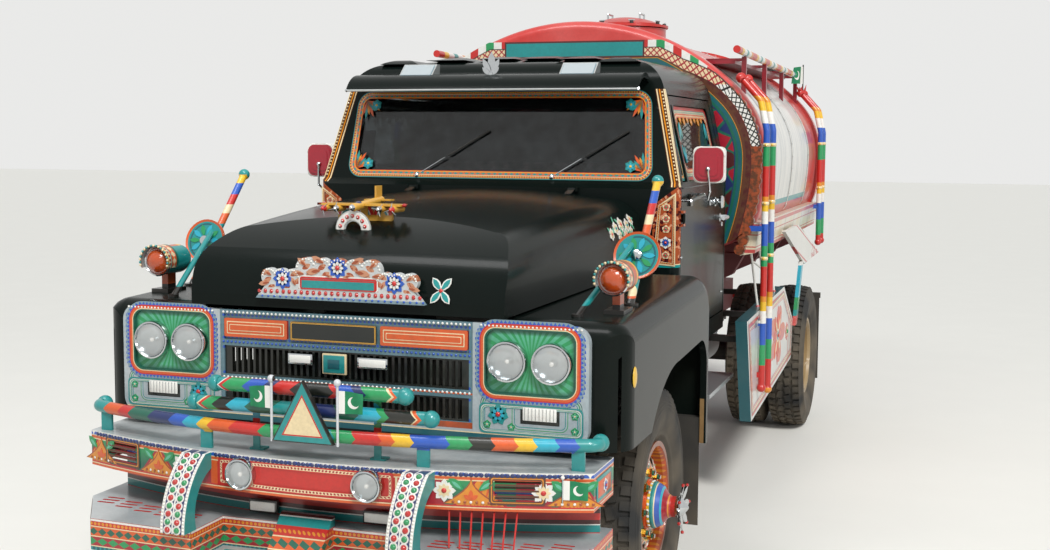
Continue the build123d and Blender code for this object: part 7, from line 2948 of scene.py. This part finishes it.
@dataclass
class VisorTrim(Trim):
    """The sun visor over the screen, with its chromed leaf and its two silver wedge lamps."""

    half: float = 0.76
    wedge: float = 0.425

    def _brow(self, shape: Shape) -> None:
        """Draws the visor's section and runs it across the cab.

        Args:
            shape: The piece.
        """
        under = arc_of((0.905, 2.34), (0.77, 2.352), (0.7, 2.3), 14)
        over = arc_of((0.69, 2.31), (0.765, 2.372), (0.925, 2.362), 14)
        section = [(0.905, 2.34), *[(p[0], p[1]) for p in under], (0.7, 2.3), (0.69, 2.31)]
        section += [*[(p[0], p[1]) for p in over], (0.925, 2.362)]
        place = Matrix(((0, 0, 1, -self.half), (1, 0, 0, AXLE), (0, 1, 0, 0), (0, 0, 0, 1)))
        made = shape.sheet(section, place, 2 * self.half, Dressing.BLACK_PAINT)
        for face in {face for vert in made for face in vert.link_faces}:
            face.smooth = True
        shape.rod(spot(-self.half, 0.694, 2.304), spot(self.half, 0.694, 2.304), 0.0065, Stock.SILVER, 10)
        for end in (-1, 1):
            shape.ball(spot(end * self.half, 0.694, 2.304), 0.009, Stock.CHROME, 8)

    def _wedges(self, shape: Shape) -> None:
        """Sets the wedge lamps on the visor's root.

        Args:
            shape: The piece.
        """
        corners = [(0.79, 2.372), (0.9, 2.376), (0.91, 2.44), (0.872, 2.44)]
        for side in (-1, 1):
            place = Matrix(((0, 0, 1, side * self.wedge - 0.09), (1, 0, 0, AXLE), (0, 1, 0, 0), (0, 0, 0, 1)))
            shape.sheet(corners, place, 0.18, Stock.SILVER)
            out = Vector((0, -0.068, 0.082)).normalized()
            face = spot(side * self.wedge, 0.831, 2.406) + out * 0.001
            aim = Matrix.Translation(face) @ turned_to(out)
            shape.sheet(ring_line(0.08, 0.04, 0.006, steps=3), aim, 0.004, Stock.LENS)
            shape.sheet(ring_line(0.083, 0.043, 0.006, steps=3), aim, 0.002, Stock.STEEL)

    def _leaf(self, shape: Shape) -> None:
        """Stands the chromed leaf in the middle.

        Args:
            shape: The piece.
        """
        place = ahead_of(0.815)
        for turn, length, width in (
            (90, 0.118, 0.04), (118, 0.094, 0.03), (62, 0.094, 0.03), (138, 0.06, 0.024), (42, 0.06, 0.024)
        ):
            made = shape.sheet(
                petal_line(length, width, math.radians(turn), -0.02, 2.378), place, 0.004, Stock.CHROME
            )
            shape.move(made, Matrix.Translation((0, -0.012 * abs(turn - 90) / 48, 0)))
        shape.rod(spot(-0.02, 0.8, 2.36), spot(-0.02, 0.8, 2.392), 0.012, Stock.CHROME, 12)
        shape.block(spot(-0.02, 0.805, 2.366), (0.07, 0.05, 0.01), Stock.CHROME, 0.003)

    def build(self) -> None:
        """Builds the visor in place of the plain one."""
        shape = Shape("dressed_visor")
        self._brow(shape)
        self._wedges(shape)
        self._leaf(shape)
        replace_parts(shape.done(), "sun_visor")


@dataclass
class TankTrim(Trim):
    """What is set on the tank: riveted seams, the hatch's screws and handles, and the lattice by its crown."""

    seams: tuple = (2.72, 3.58, 4.44)
    hatch: tuple = (0.0, 3.4, 2.8)
    lattice: tuple = (3.95, 5.15)

    def _seams(self, shape: Shape) -> None:
        """Runs rivets and a strap over the tank at each seam.

        Args:
            shape: The piece.
        """
        ground = Ground("tank")
        for y in self.seams:
            rows = []
            for i in range(61):
                turn = math.radians(-38 + 256 * i / 60)
                way = Vector((-math.cos(turn), 0, -math.sin(turn)))
                hit, out = ground.touch(spot(0, y, 1.95) - way * 1.8, way)
                rows.append((hit, out))
            near = [tuple(hit + out * 0.003 + Vector((0, -0.018, 0))) for hit, out in rows]
            far = [tuple(hit + out * 0.003 + Vector((0, 0.018, 0))) for hit, out in rows]
            shape.ribbon(near, far, Matrix.Identity(4), 0.0, Dressing.STRAP, closed=False)
            for hit, out in rows[::1]:
                shape.stud(hit + out * 0.003, out, 0.006, 0.0035, Stock.SILVER, 6)

    def _lattice(self, shape: Shape, side: int) -> None:
        """Stands the lattice rail beside the crown.

        Args:
            shape: The piece.
            side: 1 for the truck's left, -1 for its right.
        """
        y0, y1 = self.lattice
        x, low, high = side * 0.86, 2.553, 2.612
        for z in (low, high):
            shape.block(spot(x, (y0 + y1) / 2, z), (0.012, y1 - y0, 0.009), Stock.BLACK, 0.002)
        count = 20
        pitch = (y1 - y0) / count
        for i in range(count):
            a, b = y0 + pitch * i, y0 + pitch * (i + 1)
            shape.rod(spot(x, a, low), spot(x, b, high), 0.0045, Stock.WHITE, 6)
            shape.rod(spot(x + side * 0.003, a, high), spot(x + side * 0.003, b, low), 0.0045, Stock.BLACK, 6)
            shape.stud(
                spot(x + side * 0.004, (a + b) / 2, (low + high) / 2), (side, 0, 0), 0.009, 0.006, Stock.CREAM, 6
            )
        for y in (4.2, 4.95):
            shape.rod(spot(x, y, 2.548), spot(x, y, low), 0.01, Stock.SILVER, 8)

    def _lid(self) -> None:
        """Gives the hatch lid its handles and screws."""
        x, y, z = self.hatch
        shape = Shape("hatch_trim", "hatch_lid")
        for i in range(8):
            turn = math.tau * (i + 0.5) / 8
            at = spot(x + 0.262 * math.cos(turn), y + 0.262 * math.sin(turn), z + 0.022)
            shape.rod(at, at + Vector((0, 0, 0.02)), 0.013, Stock.IRON, 6)
            wing = Vector((-math.sin(turn), math.cos(turn), 0)) * 0.022
            shape.rod(at + Vector((0, 0, 0.022)) - wing, at + Vector((0, 0, 0.022)) + wing, 0.005, Stock.CHROME, 6)
        for side in (-1, 1):
            feet = [spot(x + side * 0.11, y + d, z + 0.064) for d in (-0.06, 0.06)]
            tops = [foot + Vector((0, 0, 0.038)) for foot in feet]
            for a, b in ((feet[0], tops[0]), (tops[0], tops[1]), (tops[1], feet[1])):
                shape.rod(a, b, 0.007, Stock.CHROME, 8)
            for top in tops:
                shape.ball(top, 0.0075, Stock.CHROME, 8)
        shape.done()

    def build(self) -> None:
        """Builds the tank's trim and the lid's."""
        shape = Shape("tank_trim")
        self._seams(shape)
        for side in (-1, 1):
            self._lattice(shape, side)
        shape.done()
        self._lid()


@dataclass
class SideTrim(Trim):
    """What hangs along the sides: beads and stars on the posts, white stays, and the side boards' ornaments."""

    post_x: float = 1.146
    posts: tuple = (2.18, 2.426, 4.9, 5.1)
    beads: tuple = (2.038, 1.705, 1.39)
    board_x: float = 1.12

    def _posts(self, shape: Shape, side: int) -> None:
        """Sets beads on the posts and leaves at their tops.

        Args:
            shape: The piece.
            side: 1 for the truck's left, -1 for its right.
        """
        for y in self.posts:
            for z in self.beads:
                if y < 3.0 or z > 1.4:
                    shape.ball(spot(side * self.post_x, y, z), 0.0235, Stock.CREAM, 12, (1, 1, 0.8))
                    shape.ball(spot(side * self.post_x, y - 0.021, z), 0.009, Stock.YELLOW, 8)
            top = spot(side * 0.985, y + 0.045, 2.42)
            count = 5 if y > 3.0 else 0
            for i in range(count):
                turn = math.tau * i / 5
                way = Vector((0.35 * math.cos(turn) - side * 0.2, math.sin(turn), 0.75)).normalized()
                shape.rod(top, top + way * 0.075, 0.012, Stock.RED, 6, 0.001)

    def _stays(self, shape: Shape, side: int) -> None:
        """Runs the thin white stays from the planks down to the side board.

        Args:
            shape: The piece.
            side: 1 for the truck's left, -1 for its right.
        """
        for (y0, z0), (y1, z1) in (
            ((2.3, 1.412), (2.36, 1.083)), ((2.62, 1.412), (2.66, 1.09)), ((3.05, 1.41), (3.02, 1.1))
        ):
            shape.rod(spot(side * 1.052, y0, z0), spot(side * 1.088, y1, z1), 0.0075, Stock.WHITE, 8)
            shape.ball(spot(side * 1.088, y1, z1 + 0.004), 0.014, Stock.RED, 8)
        shape.rod(spot(side * 1.06, 2.36, 1.35), spot(side * 1.07, 3.03, 1.2), 0.006, Stock.WHITE, 8)

    def _board(self, shape: Shape, side: int) -> None:
        """Lays the side board's sunburst and the borders round it.

        Args:
            shape: The piece.
            side: 1 for the truck's left, -1 for its right.
        """
        place = beside(side * self.board_x)
        edge = border(
            "side_lace", (0.0, 0.004, P.RED), (0.004, 0.02, P.WHITE, Mark.DIAMONDS, P.ROSE, 0.05),
            (0.02, 0.024, P.RED), (0.024, 0.04, P.CREAM), (0.04, 0.046, P.TEAL)
        )
        outer = [(1.83, 1.05), (3.24, 1.09), (3.68, 0.835), (3.63, 0.61), (2.02, 0.5)]
        inner = [(1.905, 1.003), (3.225, 1.04), (3.627, 0.808), (3.59, 0.655), (2.06, 0.55)]
        shape.ribbon(inner, outer, place, 0.0015, edge)
        for turn in range(8):
            angle = math.tau * turn / 8
            ink, core = ((Stock.RED, Stock.ORANGE), (Stock.ORANGE, Stock.CREAM))[turn % 2]
            shape.sheet(petal_line(0.16, 0.075, angle, 3.0, 0.83, 0.03), place, 0.002, ink)
            shape.sheet(petal_line(0.095, 0.036, angle, 3.0, 0.83, 0.04), place, 0.0035, core)
        Flower(0.05, 6, Stock.WHITE, Stock.TEAL, Stock.RED).lay(shape, place, 3.0, 0.83)
        for u in (2.3, 3.42):
            Flower(0.06, 8, Stock.ROSE, Stock.CREAM, Stock.GREEN).lay(shape, place, u, 0.8)
        stripes = border("stripe_lace", (0.0, 0.075, P.WHITE, Mark.DASHES, P.BLACK, 0.05))
        low = [(2.06 + 0.1 * i, 1.0 + 0.0028 * i) for i in range(6)]
        high = [(u, v + 0.04) for u, v in low]
        shape.ribbon(low, high, place, 0.003, stripes, closed=False)

    def build(self) -> None:
        """Builds both sides."""
        for name, side in (("left", 1), ("right", -1)):
            shape = Shape(f"side_trim_{name}")
            self._posts(shape, side)
            self._stays(shape, side)
            self._board(shape, side)
            shape.done()


@dataclass
class RearTrim(Trim):
    """The tail: ribbed glasses and rims on the lamps, round reflectors, and a painted rosette on the dished end."""

    beam: float = 5.4503
    dish: float = 5.1305

    def build(self) -> None:
        """Builds the tail's ornaments."""
        shape = Shape("tail_trim")
        for side in (-1, 1):
            for x, ink in ((0.82, Stock.AMBER_GLASS), (0.93, Stock.RUBY)):
                at = spot(side * x, self.beam + 0.026, 0.76)
                shape.turned([(0.0, 0.016), (0.018, 0.014), (0.03, 0.008), (0.036, 0.0)], at, (0, 1, 0), ink, 24)
                shape.turned(
                    [(0.0465, -0.02), (0.048, 0.002), (0.043, 0.006), (0.036, 0.001)], at, (0, 1, 0), Stock.CHROME, 24
                )
            for x in (0.5, 0.32):
                at = spot(side * x, self.beam - 0.0003, 0.76)
                shape.turned([(0.0, 0.009), (0.025, 0.007), (0.033, 0.0)], at, (0, 1, 0), Stock.RUBY, 20)
        back = Matrix.Translation((0, AXLE + self.dish, 0)) @ Matrix(
            ((-1, 0, 0, 0), (0, 0, 1, 0), (0, 1, 0, 0), (0, 0, 0, 1))
        )
        for i in range(12):
            angle = math.tau * i / 12
            shape.sheet(petal_line(0.2, 0.085, angle, 0.0, 1.98, 0.09), back, 0.003, (Stock.WHITE, Stock.TEAL)[i % 2])
            shape.sheet(petal_line(0.11, 0.04, angle, 0.0, 1.98, 0.11), back, 0.005, (Stock.RED, Stock.YELLOW)[i % 2])
        Flower(0.085, 8, Stock.YELLOW, Stock.ORANGE, Stock.RED).lay(shape, back, 0.0, 1.98)
        shape.done()


@dataclass
class FlagTrim(Trim):
    """The cloth flags: two at the sign, one at the bumper's corner and one at a rear post."""

    steps: int = 14

    def _cloth(self, name: str, pole: Point, run: Point, wide: float, high: float, wave: float) -> bpy.types.Object:
        """Hangs one flag from its pole.

        Args:
            name: The piece's name.
            pole: The upper corner at the pole.
            run: Which way it flies.
            wide: Its length away from the pole.
            high: Its height at the pole.
            wave: How deep its folds are.

        Returns:
            The flag.
        """
        shape = Shape(name, "truck", "flag_cloth")
        run = Vector(run).normalized()
        across = run.cross(Vector((0, 0, 1))).normalized()
        made = bmesh.ops.create_grid(shape.mesh, x_segments=self.steps, y_segments=self.steps, size=0.5)["verts"]
        for face in shape.mesh.faces:
            for loop in face.loops:
                loop[shape.uv].uv = ((loop.vert.co.x + 0.5) * wide, (loop.vert.co.y + 0.5) * high)
        shape._keep(
            made,
            Finish(
                f"{name}_cloth", pattern=FlagPaint(wide, high), rough=0.9, wear=0.15, dust=0.1, grain=500, relief=0.35
            )
        )
        for vert in made:
            u, v = vert.co.x + 0.5, vert.co.y + 0.5
            fold = wave * u * math.sin(u * 8.5 + v * 1.6)
            drop = high * (1 - v) * (1 - 0.12 * u * u) + 0.1 * wide * u * u
            vert.co = Vector(pole) + run * (wide * u * (1 - 0.03 * u)) + across * fold - Vector((0, 0, drop))
        area = sum(face.calc_area() for face in shape.mesh.faces)
        piece = shape.done()
        area / high
        return piece

    def build(self) -> None:
        """Hangs the flags in place of the plain ones."""
        fronts = []
        for name, side in (("left", 1), ("right", -1)):
            pole = spot(side * 0.1395, -1.2135, 1.16)
            fronts.append(self._cloth(f"sign_flag_{name}", pole, (side, 0.12, 0), 0.094, 0.083, 0.0045))
        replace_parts(fronts[0], "front_flags")
        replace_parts(fronts[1], "front_flags")
        self._cloth("corner_flag", spot(0.948, -1.083, 0.87), (1, 0.25, 0), 0.09, 0.07, 0.004)
        self._cloth("rear_flag", spot(1.0, 4.945, 2.62), (-0.3, -1, 0), 0.2, 0.13, 0.012)
        shape = Shape("flag_poles", "truck", "bright_paint")
        shape.rod(spot(0.945, -1.083, 0.878), spot(0.945, -1.083, 0.79), 0.003, Stock.CHROME, 8)
        shape.ball(spot(0.945, -1.083, 0.88), 0.008, Stock.WHITE, 8)
        shape.rod(spot(0.998, 4.945, 2.4), spot(0.998, 4.945, 2.635), 0.005, Stock.IRON, 8)
        shape.done()


@dataclass
class SeatTrim(Trim):
    """The cab's bench and its back, padded and channelled."""

    half: float = 0.76

    def _pad(self, name: str, low: Point, high: Point, lean: float) -> None:
        """Makes one stuffed pad with its channels.

        Args:
            name: The piece's name.
            low: Its lowest corner.
            high: Its highest corner.
            lean: How far its top leans back, for a back rest.
        """
        size = Vector(high) - Vector(low)
        centre = (Vector(high) + Vector(low)) / 2
        shape = Shape(name, "truck", "seat_cloth")
        made = bmesh.ops.create_cube(shape.mesh, size=1.0, matrix=Matrix.Diagonal((*size, 1)))["verts"]
        edges = {edge for vert in made for edge in vert.link_edges}
        bmesh.ops.bevel(
            shape.mesh, geom=list(edges), offset=0.03, segments=3, affect="EDGES", profile=0.5, material=-1
        )
        bmesh.ops.subdivide_edges(
            shape.mesh, edges=[e for e in shape.mesh.edges if e.calc_length() > 0.2], cuts=24, use_grid_fill=True
        )
        crown = 0.014
        for vert in shape.mesh.verts:
            u, w = vert.co.x / size.x * 2, (vert.co.z if lean else vert.co.y) / (size.z if lean else size.y) * 2
            full = max(0.0, 1 - u**8) * max(0.0, 1 - w**4)
            groove = 0.5 + 0.5 * abs(math.sin(vert.co.x * math.pi / 0.095))
            puff = crown * full * groove**0.5
            if lean:
                vert.co.y += puff * (-1 if vert.co.y < 0 else 0) + lean * (vert.co.z / size.z)
            else:
                vert.co.z += puff * (1 if vert.co.z > 0 else 0)
            vert.co += centre
        shape._keep(shape.mesh.verts, Dressing.SEAT_CLOTH)
        piece = shape.done()
        return piece

    def build(self) -> None:
        """Builds the bench, its back and the plinth under them."""
        bench = [
            self._pad(f"seat_pad_{name}", spot(x0, 1.34, 1.3), spot(x1, 1.8, 1.418), 0.0)
            for name, x0, x1 in (("left", 0.025, self.half), ("right", -self.half, -0.025))
        ]
        bench.append(self._pad("seat_back", spot(-self.half, 1.8, 1.44), spot(self.half, 1.9, 1.93), 0.07))
        shape = Shape("seat_plinth", "truck", "plastic")
        shape.block(spot(0, 1.62, 1.178), (2 * self.half - 0.04, 0.56, 0.235), Dressing.DASH, 0.01)
        shape.block(spot(0, 1.93, 1.5), (2 * self.half - 0.04, 0.06, 0.85), Dressing.DASH, 0.01)
        plinth = shape.done()
        for piece in (*bench, plinth):
            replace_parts(piece, "seats")


@dataclass
class CabTrim(Trim):
    """Small things on the cab: the wipers and the dials."""

    def build(self) -> None:
        """Builds the wipers and the dials."""
        shape = Shape("cab_trim")
        for x in (-0.42, 0.3):
            foot = spot(x, 0.805, 1.878)
            tip = spot(x + 0.3, 0.85, 2.06)
            shape.ball(foot, 0.014, Stock.CHROME, 10)
            shape.rod(foot, (foot + tip) / 2 + Vector((0, -0.01, 0)), 0.004, Stock.CHROME, 6)
            half = (tip - foot) / 2
            shape.rod(
                tip - half * 0.9 + Vector((0, -0.006, 0)), tip + half * 0.5 + Vector((0, -0.004, 0)), 0.005,
                Stock.RUBBER, 6
            )
        for i, x in enumerate((-0.52, -0.43, -0.34)):
            at = spot(x, 1.02, 1.77)
            out = Vector((0, 0.68, 0.73))
            shape.turned([(0.036, 0.0), (0.038, 0.006), (0.034, 0.009), (0.0, 0.005)], at, out, Stock.CHROME, 20)
            shape.turned([(0.031, 0.0096), (0.0, 0.0098)], at, out, Stock.WHITE if i % 2 else Stock.CREAM, 20)
        shape.done()


ASSEMBLIES: tuple = (
    BumperTrim, HoopTrim, ShelfTrim, LampTrim, NoseTrim, CrestTrim, PlaneTrim, ScreenTrim, TyreTrim, HubTrim,
    DoorTrim, CowlTrim, WingTrim, BonnetTrim, VisorTrim, TankTrim, SideTrim, RearTrim, FlagTrim, SeatTrim, CabTrim
)


def main() -> None:
    """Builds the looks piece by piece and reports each."""
    logging.basicConfig(level=logging.INFO, format="%(message)s")
    Dressing().dress()
    for assembly in ASSEMBLIES:
        assembly().build()
    Studio().build()


if __name__ == "__main__":
    main()
